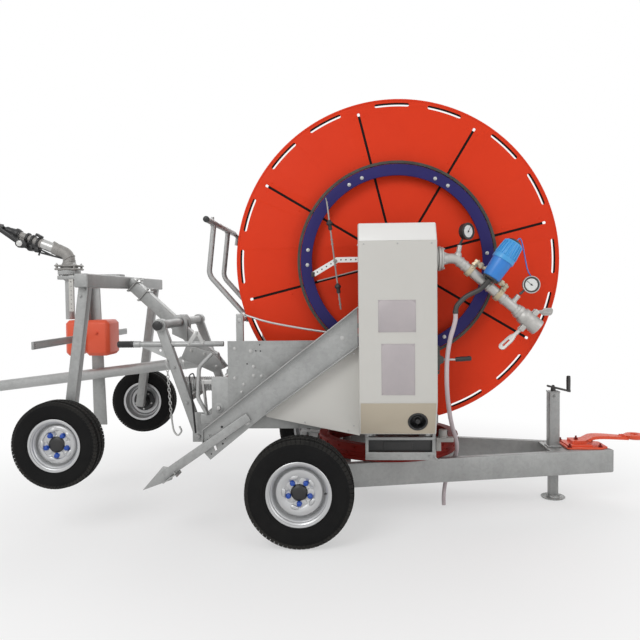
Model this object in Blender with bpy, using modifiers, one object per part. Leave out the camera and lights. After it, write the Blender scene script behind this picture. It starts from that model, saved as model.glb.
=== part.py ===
"""Hose reel irrigator: a two-wheeled trailer that carries a slewing hose drum and lifts a sprinkler cart.

X runs towards the tow hitch, Y away from the drive side, Z up. Metres. The origin lies on the ground,
under the main axle, and the drive side ("near") faces -Y.
"""
import math

import bmesh
import bpy
from mathutils import Matrix, Vector

# Clearances
GAP = 0.0003
RUNNING = 0.0005

# Road wheels of the trailer and of the sprinkler cart
TYRE_RADIUS = 0.300
TYRE_WIDTH = 0.170
TRACK = 1.740
CART_TYRE_RADIUS = 0.250
CART_TYRE_WIDTH = 0.135
CART_TRACK = 1.560
CART_WHEEL_X = -1.385
CART_WHEEL_Z = 0.540
RIM_SHARE = 0.56
RIM_LIP = 0.010
SPINDLE_RADIUS = 0.0204
HUB_BACK = -0.0697
WHEEL_STEPS = 16
CART_WHEEL_STEPS = 14

# Trailer frame
BEAM_BOTTOM = 0.200
BEAM_TOP = 0.350
BEAM_THICK = 0.050
BEAM_REAR = Vector((-0.100, 0.530, 0.0))
BEAM_FRONT = Vector((1.980, 0.080, 0.0))
AXLE_SIDE = 0.070
AXLE_HALF = 0.800
# Cross members of the frame: X, width and how far they lie inside the beams' height
CROSS_MEMBERS = [(-0.070, 0.040, 0.010), (0.250, 0.060, 0.004), (0.700, 0.060, 0.006), (1.930, 0.060, 0.012)]

# Tow hitch and jack
HITCH_START = 1.690
HITCH_END = 1.960
HITCH_EYE_X = 2.160
JACK_X = 1.630
JACK_SIDE = 0.070
JACK_WALL = 0.005
JACK_TOP = 0.720
FOOT_RADIUS = 0.078

# Turntable
SLEW_X = 0.530
RING_OUTER = 0.450
RING_INNER = 0.400
RING_HEIGHT = 0.055
DECK_TOP = 0.550
RAIL_Y = 0.600
RAIL_SIDE = 0.050
RAIL_BOTTOM = 0.620
RAIL_TOP = 0.680
RAIL_REAR = -0.600
RAIL_FRONT = 0.785
DECK_BEAMS = (0.400, 0.740)
CHEEK_STUBS = (-0.360, 0.240)
CHEEK_Y = 0.720
CHEEK_THICK = 0.006
ARM_Y = 0.800
POST_Y = 0.665
POST_THICK = 0.050
POST_SPREAD = 0.120
BEARING_RADIUS = 0.100
ARM_LINE = [
    (0.326, 1.306), (-0.546, 0.626), (-0.546, 0.500), (-0.505, 0.455), (-0.190, 0.711), (0.326, 1.085),
]

# Drum
DRUM_X = 0.555
DRUM_Z = 1.565
FLANGE_RADIUS = 0.940
FLANGE_INSIDE = 0.550
FLANGE_THICK = 0.005
CORE_RADIUS = 0.450
SHAFT_RADIUS = 0.060
SLIT_COUNT = 8
SLIT_PHASE = 14.0
SLIT_WIDTH = 0.012
SLIT_START = 0.200
SLIT_MARGIN = 0.048
SLOT_MARGIN = 0.023
SLOT_WIDTH = 0.020
HUB_RADIUS = 0.090
HOSE_RADIUS = 0.0375
HOSE_TURNS = 13
WOUND_RADIUS = 0.715
TURN_POINTS = 16
DRUM_STEPS = 24

# Drum drive
DRIVE_RING_OUTER = 0.555
DRIVE_RING_INNER = 0.490
DRIVE_RING_Y = -0.606
DRIVE_RING_THICK = 0.012
RING_SIDES = 36
CHAIN_TEETH = 64
CHAIN_PITCH_RADIUS = 0.566
PINION_TEETH = 8
GEARBOX_BACK = -0.725

# Casing
CASING_LEFT = 0.330
CASING_RIGHT = 0.754
CASING_FRONT = -0.870
CASING_BACK = -0.705
CASING_BOTTOM = 0.628
CASING_TOP = 1.760
CASING_WALL = 0.005

# Lift frame and sprinkler cart
LIFT_PIVOT_X = -0.635
LIFT_PIVOT_Z = 0.530
LIFT_BAR_X = -0.865
LIFT_BAR_Z = 1.200
LIFT_ARM_Y = 0.500
LIFT_PIN = 0.0140
CART_BEAM_X = -1.250
CART_BEAM_Z = 1.470
CART_LEG_Y = 0.665
CART_HUB_FACE = CART_TRACK / 2 - 0.070
LIFT_BAR_RADIUS = 0.028
WEIGHT_Z = 1.100
POST_OFFSET = 0.115
WEIGHT_HALF = 0.110
RISER_RADIUS = 0.030
SLEEVE_RADIUS = 0.045
SLEEVE_LENGTH = 0.270
DRAW_PIPE_RADIUS = 0.0365

FINISHES = {
    "galvanised": ((0.47, 0.48, 0.49), 0.45, 0.75),
    "drum_red": ((0.62, 0.035, 0.012), 0.42, 0.0),
    "hitch_orange": ((0.78, 0.10, 0.03), 0.42, 0.0),
    "casing_white": ((0.72, 0.71, 0.66), 0.40, 0.0),
    "ring_blue": ((0.012, 0.018, 0.16), 0.40, 0.0),
    "valve_blue": ((0.03, 0.22, 0.72), 0.35, 0.0),
    "chain_olive": ((0.16, 0.15, 0.09), 0.50, 0.6),
    "rubber": ((0.018, 0.018, 0.018), 0.80, 0.0),
    "black_plastic": ((0.015, 0.015, 0.016), 0.45, 0.0),
    "rim_silver": ((0.60, 0.61, 0.61), 0.38, 0.6),
    "aluminium": ((0.66, 0.66, 0.65), 0.35, 0.9),
    "brass": ((0.55, 0.46, 0.28), 0.35, 0.9),
    "drain_grey": ((0.60, 0.56, 0.54), 0.50, 0.0),
    "gauge_face": ((0.80, 0.80, 0.78), 0.30, 0.0),
}

PARTS = bpy.data.collections.new("hose_reel_irrigator")
PIVOTS = {}


def clear_scene():
    for thing in list(bpy.data.objects):
        bpy.data.objects.remove(thing, do_unlink=True)
    bpy.context.scene.collection.children.link(PARTS)


def finish(thing, look):
    """Give a piece the material of its finish."""
    material = bpy.data.materials.get(look)
    if material is None:
        colour, roughness, metallic = FINISHES[look]
        material = bpy.data.materials.new(look)
        material.use_nodes = True
        shader = material.node_tree.nodes["Principled BSDF"]
        shader.inputs["Base Color"].default_value = (*colour, 1.0)
        shader.inputs["Roughness"].default_value = roughness
        shader.inputs["Metallic"].default_value = metallic
        material.diffuse_color = (*colour, 1.0)
    thing.data.materials.clear()
    thing.data.materials.append(material)


def add(mesh, matrix=None):
    """Link a mesh as an object of the part."""
    thing = bpy.data.objects.new(mesh.name, mesh)
    PARTS.objects.link(thing)
    if matrix is not None:
        thing.matrix_world = matrix
    return thing


def from_bmesh(shape, matrix=None):
    mesh = bpy.data.meshes.new("piece")
    shape.to_mesh(mesh)
    shape.free()
    return add(mesh, matrix)


def discard(thing):
    mesh = thing.data
    bpy.data.objects.remove(thing, do_unlink=True)
    mesh_store = bpy.data.curves if isinstance(mesh, bpy.types.Curve) else bpy.data.meshes
    mesh_store.remove(mesh)


def bake(thing):
    """Turn a curve, or a mesh with modifiers, into a plain welded mesh."""
    bpy.context.view_layer.update()
    graph = bpy.context.evaluated_depsgraph_get()
    mesh = bpy.data.meshes.new_from_object(thing.evaluated_get(graph))
    shape = bmesh.new()
    shape.from_mesh(mesh)
    bmesh.ops.remove_doubles(shape, verts=shape.verts, dist=1e-5)
    bmesh.ops.recalc_face_normals(shape, faces=shape.faces)
    shape.to_mesh(mesh)
    shape.free()
    solid = add(mesh, thing.matrix_world.copy())
    discard(thing)
    return solid


def boolean(thing, others, operation):
    """Join pieces to a thing, or cut them from it, and remove them."""
    for other in others:
        step = thing.modifiers.new(operation.lower(), "BOOLEAN")
        step.operation = operation
        step.object = other
    solid = bake(thing)
    for other in others:
        discard(other)
    return solid


def weld(pieces):
    return boolean(pieces[0], pieces[1:], "UNION")


def cut(thing, cutters):
    return boolean(thing, cutters, "DIFFERENCE")


def name_part(thing, name, look, pivot=None):
    """Name a finished node, smooth its round faces and hang it on its joint's empty."""
    thing.name = name
    thing.data.name = name
    finish(thing, look)
    thing.data.shade_smooth()
    thing.data.set_sharp_from_angle(angle=math.radians(35))
    if pivot is not None:
        thing.parent = PIVOTS[pivot]
        thing.matrix_parent_inverse = PIVOTS[pivot].matrix_world.inverted()
    return thing


def add_pivot(name, place, parent=None):
    """An empty that marks a joint's axis and carries what turns or slides there."""
    empty = bpy.data.objects.new(f"axis_{name}", None)
    PARTS.objects.link(empty)
    empty.empty_display_size = 0.08
    empty.location = place
    bpy.context.view_layer.update()
    if parent is not None:
        empty.parent = PIVOTS[parent]
        empty.matrix_parent_inverse = PIVOTS[parent].matrix_world.inverted()
        bpy.context.view_layer.update()
    PIVOTS[name] = empty


def line_matrix(start, end, side):
    """A frame at the middle of a line: its X runs along the line, its Y follows the given side."""
    along = (Vector(end) - Vector(start)).normalized()
    up = along.cross(Vector(side)).normalized()
    across = up.cross(along)
    turn = Matrix((along, across, up)).transposed().to_4x4()
    return Matrix.Translation((Vector(start) + Vector(end)) / 2) @ turn


def box(low, high, bevel=0.0):
    """A block between two corners, with its edges chamfered if asked."""
    low, high = Vector(low), Vector(high)
    shape = bmesh.new()
    bmesh.ops.create_cube(shape, size=1.0)
    bmesh.ops.scale(shape, vec=high - low, verts=shape.verts)
    if bevel:
        bmesh.ops.bevel(shape, geom=shape.edges[:], offset=bevel, segments=1, affect="EDGES")
    return from_bmesh(shape, Matrix.Translation((low + high) / 2))


def bar(start, end, width, depth, side=(0, 1, 0)):
    """A square bar along a line: its width lies along the side, its depth across it."""
    shape = bmesh.new()
    bmesh.ops.create_cube(shape, size=1.0)
    length = (Vector(end) - Vector(start)).length
    bmesh.ops.scale(shape, vec=(length, width, depth), verts=shape.verts)
    return from_bmesh(shape, line_matrix(start, end, side))


def rod(start, end, radius, sides=10, end_radius=None):
    """A round bar, or a cone, along a line."""
    shape = bmesh.new()
    length = (Vector(end) - Vector(start)).length
    tip = radius if end_radius is None else end_radius
    bmesh.ops.create_cone(shape, cap_ends=True, segments=sides, radius1=radius, radius2=tip, depth=length)
    side = (0, 1, 0) if abs((Vector(end) - Vector(start)).normalized().y) < 0.9 else (1, 0, 0)
    stand = Matrix.Rotation(math.radians(90), 4, "Y")
    return from_bmesh(shape, line_matrix(start, end, side) @ stand)


def rounded_path(corners, radius, steps=4):
    """Points of a path whose inner corners are arcs of a bend radius."""
    corners = [Vector(corner) for corner in corners]
    points = [corners[0]]
    for before, corner, after in zip(corners, corners[1:], corners[2:]):
        back = (before - corner).normalized()
        ahead = (after - corner).normalized()
        half_angle = back.angle(ahead) / 2
        reach = radius / math.tan(half_angle)
        centre = corner + (back + ahead).normalized() * (radius / math.sin(half_angle))
        first = corner + back * reach - centre
        last = corner + ahead * reach - centre
        for step in range(steps + 1):
            points.append(centre + first.slerp(last, step / steps).normalized() * radius)
    points.append(corners[-1])
    return points


def pipe(points, radius, resolution=2):
    """A round tube along points, with its ends capped."""
    curve = bpy.data.curves.new("pipe", "CURVE")
    curve.dimensions = "3D"
    curve.bevel_depth = radius
    curve.bevel_resolution = resolution
    curve.use_fill_caps = True
    spline = curve.splines.new("POLY")
    spline.points.add(len(points) - 1)
    for place, point in zip(spline.points, points):
        place.co = (*point, 1.0)
    return bake(add(curve))


def circle(x, y, radius, sides=16, phase=0.0):
    angles = [2 * math.pi * k / sides + phase for k in range(sides)]
    return [(x + radius * math.cos(angle), y + radius * math.sin(angle)) for angle in angles]


def plate(outlines, thickness, matrix):
    """A flat sheet: the first outline is its edge, the others are its holes."""
    curve = bpy.data.curves.new("plate", "CURVE")
    curve.dimensions = "2D"
    curve.fill_mode = "BOTH"
    curve.extrude = thickness / 2
    for outline in outlines:
        spline = curve.splines.new("POLY")
        spline.points.add(len(outline) - 1)
        spline.use_cyclic_u = True
        for place, (x, y) in zip(spline.points, outline):
            place.co = (x, y, 0.0, 1.0)
    return bake(add(curve, matrix))


def upright(y):
    """The frame of a sheet that stands in the XZ plane at a given Y."""
    return Matrix.Translation((0, y, 0)) @ Matrix.Rotation(math.radians(90), 4, "X")


def facing_x(x):
    """The frame of a sheet that stands in the YZ plane at a given X."""
    turn = Matrix(((0, 0, 1), (1, 0, 0), (0, 1, 0))).to_4x4()
    return Matrix.Translation((x, 0, 0)) @ turn


def turned(profile, steps, matrix, closed=True):
    """A turned shape: (radius, height) points down its outer side, spun round Z."""
    mesh = bpy.data.meshes.new("turned")
    count = len(profile)
    edges = [(k, k + 1) for k in range(count - 1)]
    if closed:
        edges.append((count - 1, 0))
    mesh.from_pydata([(radius, 0.0, height) for radius, height in profile], edges, [])
    thing = add(mesh, matrix)
    screw = thing.modifiers.new("turn", "SCREW")
    screw.steps = steps
    screw.render_steps = steps
    screw.use_merge_vertices = True
    screw.merge_threshold = 0.00001
    screw.use_normal_calculate = True
    return bake(thing)


def outward(x, y, z):
    """The frame of a turned piece whose height runs outward, away from the middle plane."""
    turn = 90 if y < 0 else -90
    return Matrix.Translation((x, y, z)) @ Matrix.Rotation(math.radians(turn), 4, "X")


def ring(inner, outer, height):
    """The profile of a plain ring, from its base upward."""
    return [(outer, height), (outer, 0.0), (inner, 0.0), (inner, height)]


def side_name(side):
    return "near" if side < 0 else "far"


def place_pivots():
    """Empties on the joints' axes, each under the one that carries it."""
    add_pivot("turntable", (SLEW_X, 0, BEAM_TOP + RING_HEIGHT))
    for side in (-1, 1):
        add_pivot(f"main_wheel_{side_name(side)}", (0, side * TRACK / 2, TYRE_RADIUS))
    add_pivot("jack_leg", (JACK_X, 0, 0))
    add_pivot("jack_crank", (JACK_X, 0, JACK_TOP))
    add_pivot("drum", (DRUM_X, 0, DRUM_Z), "turntable")
    add_pivot("drive_pinion", (DRUM_X, DRIVE_RING_Y, PINION_Z), "turntable")
    add_pivot("lead_screw", (SCREW_X, 0, SCREW_Z), "turntable")
    add_pivot("hose_guide", (SCREW_X, GUIDE_Y, HOSE_Z), "turntable")
    add_pivot("guard_hoop", (HOOP_PIVOT_X, 0, HOOP_PIVOT_Z), "turntable")
    add_pivot("gear_lever", (LEVER_X, LEVER_Y, LEVER_Z), "turntable")
    add_pivot("lift", (LIFT_PIVOT_X, 0, LIFT_PIVOT_Z), "turntable")
    add_pivot("cart", (LIFT_BAR_X, 0, LIFT_BAR_Z), "lift")
    add_pivot("gun", (GUN_X, 0, GUN_BASE_Z), "cart")
    add_pivot("gun_drive_arm", (GUN_ARM_X, 0, GUN_ARM_Z), "gun")
    for side in (-1, 1):
        add_pivot(f"anchor_{side_name(side)}", (SPADE_TOP.x, side * ARM_Y, SPADE_TOP.z), "turntable")
        add_pivot(f"cart_wheel_{side_name(side)}", (CART_WHEEL_X, side * CART_TRACK / 2, CART_WHEEL_Z), "cart")
    for name, place in CAM_PINS.items():
        add_pivot(name, place, "turntable")


# Places that follow from the driving dimensions
PINION_RADIUS = CHAIN_PITCH_RADIUS * PINION_TEETH / CHAIN_TEETH
PINION_Z = DRUM_Z - CHAIN_PITCH_RADIUS - PINION_RADIUS
COIL_RADIUS = WOUND_RADIUS - HOSE_RADIUS
HOSE_Z = DRUM_Z - WOUND_RADIUS - HOSE_RADIUS - 0.002
SCREW_X = -0.470
SCREW_Z = HOSE_Z - 0.078
SCREW_RADIUS = 0.020
SCREW_END = 0.012
RAIL_ROD_Z = HOSE_Z + 0.070
RAIL_ROD_RADIUS = 0.014
GUIDE_Y = -0.250
HOOP_PIVOT_X = -0.345
HOOP_PIVOT_Z = 1.235
HOOP_PIN = 0.0140
LEVER_X = 0.786
LEVER_PIN = 0.0050
LEVER_Y = -0.780
LEVER_Z = 1.010
INLET_Y = -0.785
INLET_START = Vector((0.797, INLET_Y, DRUM_Z))
INLET_BEND = Vector((0.865, INLET_Y, DRUM_Z))
INLET_END = Vector((1.285, INLET_Y, 1.200))
INLET_RADIUS = 0.028
INLET_RUN = (INLET_END - INLET_BEND).normalized()
INLET_UP = Vector((-INLET_RUN.z, 0, INLET_RUN.x))
COUPLING_RADIUS = 0.046
BYPASS_REACH = 0.036
VALVE_START = INLET_BEND + INLET_RUN * 0.205 + INLET_UP * 0.036 + Vector((0, -0.0600, 0))
VALVE_END = VALVE_START + Vector((0.125, 0, 0.185))
GAUGE_STUB = INLET_BEND + Vector((0.022, 0, 0.072))
CAM_PINS = {
    "cam_lever_upper": INLET_END - INLET_RUN * 0.035 + INLET_UP * (COUPLING_RADIUS + 0.014),
    "cam_lever_lower": INLET_END - INLET_RUN * 0.035 - INLET_UP * (COUPLING_RADIUS + 0.014),
}
DRAIN_RADIUS = 0.0125
# The drain hose's way from its spout down past the ring and the beam to the ground
DRAIN_ROUTE = [
    (0.862, -0.790, 1.262), (0.8615, -0.790, 1.232), (0.852, -0.790, 1.190), (0.832, -0.790, 1.120),
    (0.815, -0.800, 1.020), (0.812, -0.800, 0.900), (0.825, -0.750, 0.780), (0.855, -0.640, 0.660),
    (0.890, -0.500, 0.570), (0.930, -0.360, 0.480), (0.950, -0.275, 0.400), (0.940, -0.245, 0.330),
    (0.910, -0.225, 0.250), (0.885, -0.215, 0.160), (0.875, -0.212, 0.080), (0.875, -0.212, 0.016),
]
SPADE_TOP = Vector((-0.300, 0, 0.690))
SPADE_TIP = Vector((-0.890, 0, 0.285))
CART_PIPE_REAR = Vector((-2.220, 0, 0.758))
CART_PIPE_FRONT = Vector((-0.610, 0, 0.950))
GUN_X = -1.640
GUN_BASE_Z = 1.560
GUN_ARM_X = -1.955
GUN_ARM_Z = 1.745
GUN_RISE = math.radians(22)


def make_wheel(side, body, centre, radius, width, steps):
    """A tyre and its pressed steel rim with a closed hub and a cap."""
    pivot = f"{body}_wheel_{side_name(side)}"
    place = outward(centre.x, centre.y, centre.z)
    half = width / 2
    bead = radius * RIM_SHARE
    lip = bead + RIM_LIP
    bore = SPINDLE_RADIUS + 2 * RUNNING
    tyre_profile = [
        (bead, half * 0.80), (lip + 0.002, half * 0.80), (radius * 0.82, half), (radius * 0.94, half * 0.90),
        (radius, half * 0.62), (radius, -half * 0.62), (radius * 0.94, -half * 0.90), (radius * 0.82, -half),
        (lip + 0.002, -half * 0.80), (bead, -half * 0.80),
    ]
    tyre = turned(tyre_profile, steps, place)
    name_part(tyre, f"{body}_tyre_{side_name(side)}", "rubber", pivot)
    seat = bead - GAP
    rim_profile = [
        (0.0, half * 0.72), (0.038, half * 0.68), (0.040, half * 0.30), (bead * 0.66, half * 0.42),
        (bead * 0.86, half * 0.05), (lip, half * 0.90), (lip, half * 0.80 + GAP),
        (seat, half * 0.80 + GAP), (seat, -half * 0.80 - GAP), (lip, -half * 0.80 - GAP), (lip, -half * 0.90),
        (bead * 0.86, -half * 0.05), (0.045, half * 0.20), (0.038, HUB_BACK),
        (bore, HUB_BACK), (bore, half * 0.25), (0.0, half * 0.25),
    ]
    rim = turned(rim_profile, steps, place, closed=False)
    name_part(rim, f"{body}_rim_{side_name(side)}", "rim_silver", pivot)


def make_wheels():
    for side in (-1, 1):
        near = Vector((0, side * TRACK / 2, TYRE_RADIUS))
        make_wheel(side, "main", near, TYRE_RADIUS, TYRE_WIDTH, WHEEL_STEPS)
        cart = Vector((CART_WHEEL_X, side * CART_TRACK / 2, CART_WHEEL_Z))
        make_wheel(side, "cart", cart, CART_TYRE_RADIUS, CART_TYRE_WIDTH, CART_WHEEL_STEPS)


def beam_y(x):
    """The distance of a trailer beam's middle from the centre line."""
    share = (x - BEAM_REAR.x) / (BEAM_FRONT.x - BEAM_REAR.x)
    return BEAM_REAR.y + share * (BEAM_FRONT.y - BEAM_REAR.y)


def make_chassis():
    middle = (BEAM_BOTTOM + BEAM_TOP) / 2
    depth = BEAM_TOP - BEAM_BOTTOM
    pieces = []
    for side in (-1, 1):
        start = Vector((BEAM_REAR.x, side * BEAM_REAR.y, middle))
        end = Vector((BEAM_FRONT.x, side * BEAM_FRONT.y, middle))
        pieces.append(bar(start, end, BEAM_THICK, depth))
    for x, width, drop in CROSS_MEMBERS:
        reach = beam_y(x)
        low = (x - width / 2, -reach, BEAM_BOTTOM + drop)
        pieces.append(box(low, (x + width / 2, reach, BEAM_TOP - drop)))
    reach = beam_y(JACK_X)
    pieces.append(box((JACK_X - 0.055, -reach, 0.335), (JACK_X + 0.055, reach, 0.347)))
    frame = weld(pieces)
    half = AXLE_SIDE / 2 + GAP
    leg = JACK_SIDE / 2 - JACK_WALL
    frame = cut(frame, [
        box((-half, -0.7, TYRE_RADIUS - half), (half, 0.7, TYRE_RADIUS + half)),
        box((JACK_X - leg, -leg, 0.3), (JACK_X + leg, leg, 0.4)),
    ])
    name_part(frame, "chassis_frame", "galvanised")
    half = AXLE_SIDE / 2
    axle = box((-half, -AXLE_HALF, TYRE_RADIUS - half), (half, AXLE_HALF, TYRE_RADIUS + half))
    spindles = []
    for side in (-1, 1):
        root = (0, side * (AXLE_HALF - 0.02), TYRE_RADIUS)
        spindles.append(rod(root, (0, side * (TRACK / 2 + 0.015), TYRE_RADIUS), SPINDLE_RADIUS, 12))
    name_part(weld([axle] + spindles), "main_axle", "galvanised")


def make_jack():
    half = JACK_SIDE / 2
    base = 0.347 + GAP
    sleeve = box((JACK_X - half, -half, base), (JACK_X + half, half, JACK_TOP))
    inner = half - JACK_WALL
    hollow = box((JACK_X - inner, -inner, base - 0.01), (JACK_X + inner, inner, JACK_TOP - 0.008))
    hole = rod((JACK_X, 0, JACK_TOP - 0.03), (JACK_X, 0, JACK_TOP + 0.03), 0.010)
    name_part(cut(sleeve, [hollow, hole]), "jack_sleeve", "galvanised")
    leg_half = inner - RUNNING
    leg = box((JACK_X - leg_half, -leg_half, 0.008), (JACK_X + leg_half, leg_half, 0.600))
    foot = rod((JACK_X, 0, 0), (JACK_X, 0, 0.012), FOOT_RADIUS, 24)
    name_part(weld([leg, foot]), "jack_leg", "galvanised", "jack_leg")
    top = JACK_TOP + 0.024
    shaft = rod((JACK_X, 0, JACK_TOP - 0.025), (JACK_X, 0, top + 0.004), 0.0095, 8)
    collar = rod((JACK_X, 0, JACK_TOP + GAP), (JACK_X, 0, JACK_TOP + 0.018), 0.016)
    arm = bar((JACK_X - 0.030, 0, top + 0.008), (JACK_X + 0.112, 0, top - 0.028), 0.022, 0.008)
    grip = rod((JACK_X + 0.100, 0, top - 0.030), (JACK_X + 0.100, 0, top + 0.075), 0.011, 12)
    name_part(weld([shaft, collar, arm, grip]), "jack_crank", "galvanised", "jack_crank")


def make_hitch():
    """The bolted bracket with its arched tongue and towing eye."""
    low = BEAM_TOP + GAP
    base = box((HITCH_START, -0.105, low), (HITCH_END, 0.105, low + 0.022))
    ears = []
    for y in (-0.052, 0.052):
        ears.append(box((HITCH_START + 0.02, y - 0.006, low + 0.01),
                        (HITCH_START + 0.10, y + 0.006, low + 0.052)))
    bolts = []
    for x in (HITCH_START + 0.06, HITCH_END - 0.05):
        bolts.append(rod((x, 0, low + 0.01), (x, 0, low + 0.044), 0.016, 6))
    path = rounded_path([(HITCH_START + 0.10, 0, low + 0.030), (1.860, 0, low + 0.034),
                         (1.930, 0, low + 0.062), (2.110, 0, low + 0.066)], 0.05, 3)
    tongue = pipe(path, 0.022, 1)
    eye = turned(ring(0.026, 0.068, 0.030), 16, Matrix.Translation((HITCH_EYE_X, 0, low + 0.050)))
    name_part(weld([base] + ears + bolts + [tongue, eye]), "tow_tongue", "hitch_orange")


def make_slew_rings():
    low = BEAM_TOP + GAP
    lower = turned(ring(RING_INNER, RING_OUTER, RING_HEIGHT), 24, Matrix.Translation((SLEW_X, 0, low)))
    name_part(lower, "slew_ring_lower", "drum_red")
    upper_low = low + RING_HEIGHT + GAP
    upper = turned(ring(RING_INNER, RING_OUTER + 0.012, RING_HEIGHT - 0.006), 24,
                   Matrix.Translation((SLEW_X, 0, upper_low)))
    name_part(upper, "slew_ring_upper", "drum_red", "turntable")


def make_turntable_frame():
    """The welded deck, drum posts, rails and cheek stubs that ride on the slewing ring."""
    low = BEAM_TOP + 2 * RING_HEIGHT - 0.006 + 3 * GAP
    y_end = CHEEK_Y - CHEEK_THICK / 2 - GAP
    pieces = []
    for x in DECK_BEAMS:
        pieces.append(box((x - 0.030, -0.625, low), (x + 0.030, 0.625, DECK_TOP)))
        for side in (-1, 1):
            pieces.append(box((x - 0.025, side * RAIL_Y - 0.024, DECK_TOP - 0.02),
                              (x + 0.025, side * RAIL_Y + 0.024, RAIL_TOP - 0.01)))
    for side in (-1, 1):
        pieces.append(box((RAIL_REAR, side * RAIL_Y - RAIL_SIDE / 2, RAIL_BOTTOM),
                          (RAIL_FRONT, side * RAIL_Y + RAIL_SIDE / 2, RAIL_TOP)))
        stub = sorted((side * (RAIL_Y + 0.01), side * y_end))
        for x in CHEEK_STUBS:
            low_corner = (x - 0.020, stub[0], RAIL_BOTTOM + 0.005)
            pieces.append(box(low_corner, (x + 0.020, stub[1], RAIL_TOP - 0.005)))
        post_y = side * POST_Y
        bearing = Vector((DRUM_X, post_y, DRUM_Z))
        for lean, width in ((-POST_SPREAD, POST_THICK), (POST_SPREAD, POST_THICK - 0.002)):
            pieces.append(bar((DRUM_X + lean, post_y, RAIL_BOTTOM), bearing, width, 0.070))
        across = Vector((0, POST_THICK / 2 + 0.004, 0))
        pieces.append(rod(bearing - across, bearing + across, BEARING_RADIUS, 12))
        foot = sorted((side * (RAIL_Y - 0.01), side * (POST_Y + POST_THICK / 2 - 0.001)))
        low_corner = (DRUM_X - POST_SPREAD - 0.07, foot[0], RAIL_BOTTOM + 0.003)
        pieces.append(box(low_corner, (DRUM_X + POST_SPREAD + 0.07, foot[1], RAIL_TOP - 0.003)))
        lug_y = side * (LIFT_ARM_Y + 0.034)
        pieces.append(box((LIFT_PIVOT_X - 0.035, lug_y - 0.006, LIFT_PIVOT_Z - 0.035),
                          (RAIL_REAR + 0.070, lug_y + 0.006, RAIL_TOP - 0.004)))
    pieces.append(box((RAIL_REAR + 0.010, -0.610, RAIL_BOTTOM + 0.006),
                      (RAIL_REAR + 0.060, 0.610, RAIL_TOP - 0.006)))
    pieces.append(rod((SCREW_X, -y_end, RAIL_ROD_Z), (SCREW_X, y_end, RAIL_ROD_Z), RAIL_ROD_RADIUS, 10))
    for side in (-1, 1):
        y = side * (y_end - 0.020)
        post_foot = (RAIL_REAR + 0.035, side * RAIL_Y, RAIL_TOP - 0.02)
        pieces.append(bar(post_foot, (RAIL_REAR + 0.035, y, RAIL_ROD_Z + 0.014), 0.030, 0.012))
        pieces.append(bar((RAIL_REAR + 0.030, y, RAIL_ROD_Z), (SCREW_X, y, RAIL_ROD_Z), 0.012, 0.024))
    frame = weld(pieces)
    shaft_bore = rod((DRUM_X, -1, DRUM_Z), (DRUM_X, 1, DRUM_Z), SHAFT_RADIUS + GAP, 24)
    pivot_bore = rod((LIFT_PIVOT_X, -1, LIFT_PIVOT_Z), (LIFT_PIVOT_X, 1, LIFT_PIVOT_Z), LIFT_PIN + 2 * GAP, 16)
    name_part(cut(frame, [shaft_bore, pivot_bore]), "turntable_frame", "galvanised", "turntable")


def make_cheeks_and_arms():
    """Side cheeks that close the hose feed, and the anchor arms bolted outside them."""
    for side in (-1, 1):
        outline = [(-0.415, 0.640), (-0.380, 0.615), (0.300, 0.615), (0.300, 1.116), (-0.415, 1.116)]
        cheek = plate([outline], CHEEK_THICK, upright(side * CHEEK_Y))
        bearer = box((SCREW_X - 0.040, side * CHEEK_Y - CHEEK_THICK / 2 + 0.001, SCREW_Z - 0.060),
                     (-0.400, side * CHEEK_Y + CHEEK_THICK / 2 - 0.001, SCREW_Z + 0.180))
        post_y = sorted((side * (CHEEK_Y - 0.040), side * CHEEK_Y))
        post = box((HOOP_PIVOT_X - 0.020, post_y[0], 1.050),
                   (HOOP_PIVOT_X + 0.020, post_y[1], HOOP_PIVOT_Z + 0.035))
        screw_bore = rod((SCREW_X, side * 0.5, SCREW_Z), (SCREW_X, side * 0.9, SCREW_Z),
                         SCREW_END + 2 * RUNNING, 12)
        hoop_bore = rod((HOOP_PIVOT_X, side * 0.5, HOOP_PIVOT_Z), (HOOP_PIVOT_X, side * 0.9, HOOP_PIVOT_Z),
                        HOOP_PIN + 0.0007, 12)
        cheek = cut(weld([cheek, bearer, post]), [screw_bore, hoop_bore])
        name_part(cheek, f"side_cheek_{side_name(side)}", "galvanised", "turntable")
        make_arm(side)


def make_arm(side):
    arm_y = side * ARM_Y
    web = plate([ARM_LINE], 0.006, upright(arm_y))
    top = bar((0.326, arm_y + side * 0.016, 1.303), (-0.546, arm_y + side * 0.016, 0.623), 0.038, 0.006)
    low = bar((0.326, arm_y + side * 0.016, 1.088), (-0.190, arm_y + side * 0.016, 0.714), 0.038, 0.006)
    inner = side * (CHEEK_Y + CHEEK_THICK / 2 + GAP)
    spacers = []
    for x, z in ((-0.300, 0.745), (0.060, 0.980), (0.260, 1.100)):
        spacers.append(rod((x, inner, z), (x, arm_y + side * 0.012, z), 0.014, 6))
    name_part(weld([web, top, low] + spacers), f"side_arm_{side_name(side)}", "galvanised", "turntable")


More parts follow.
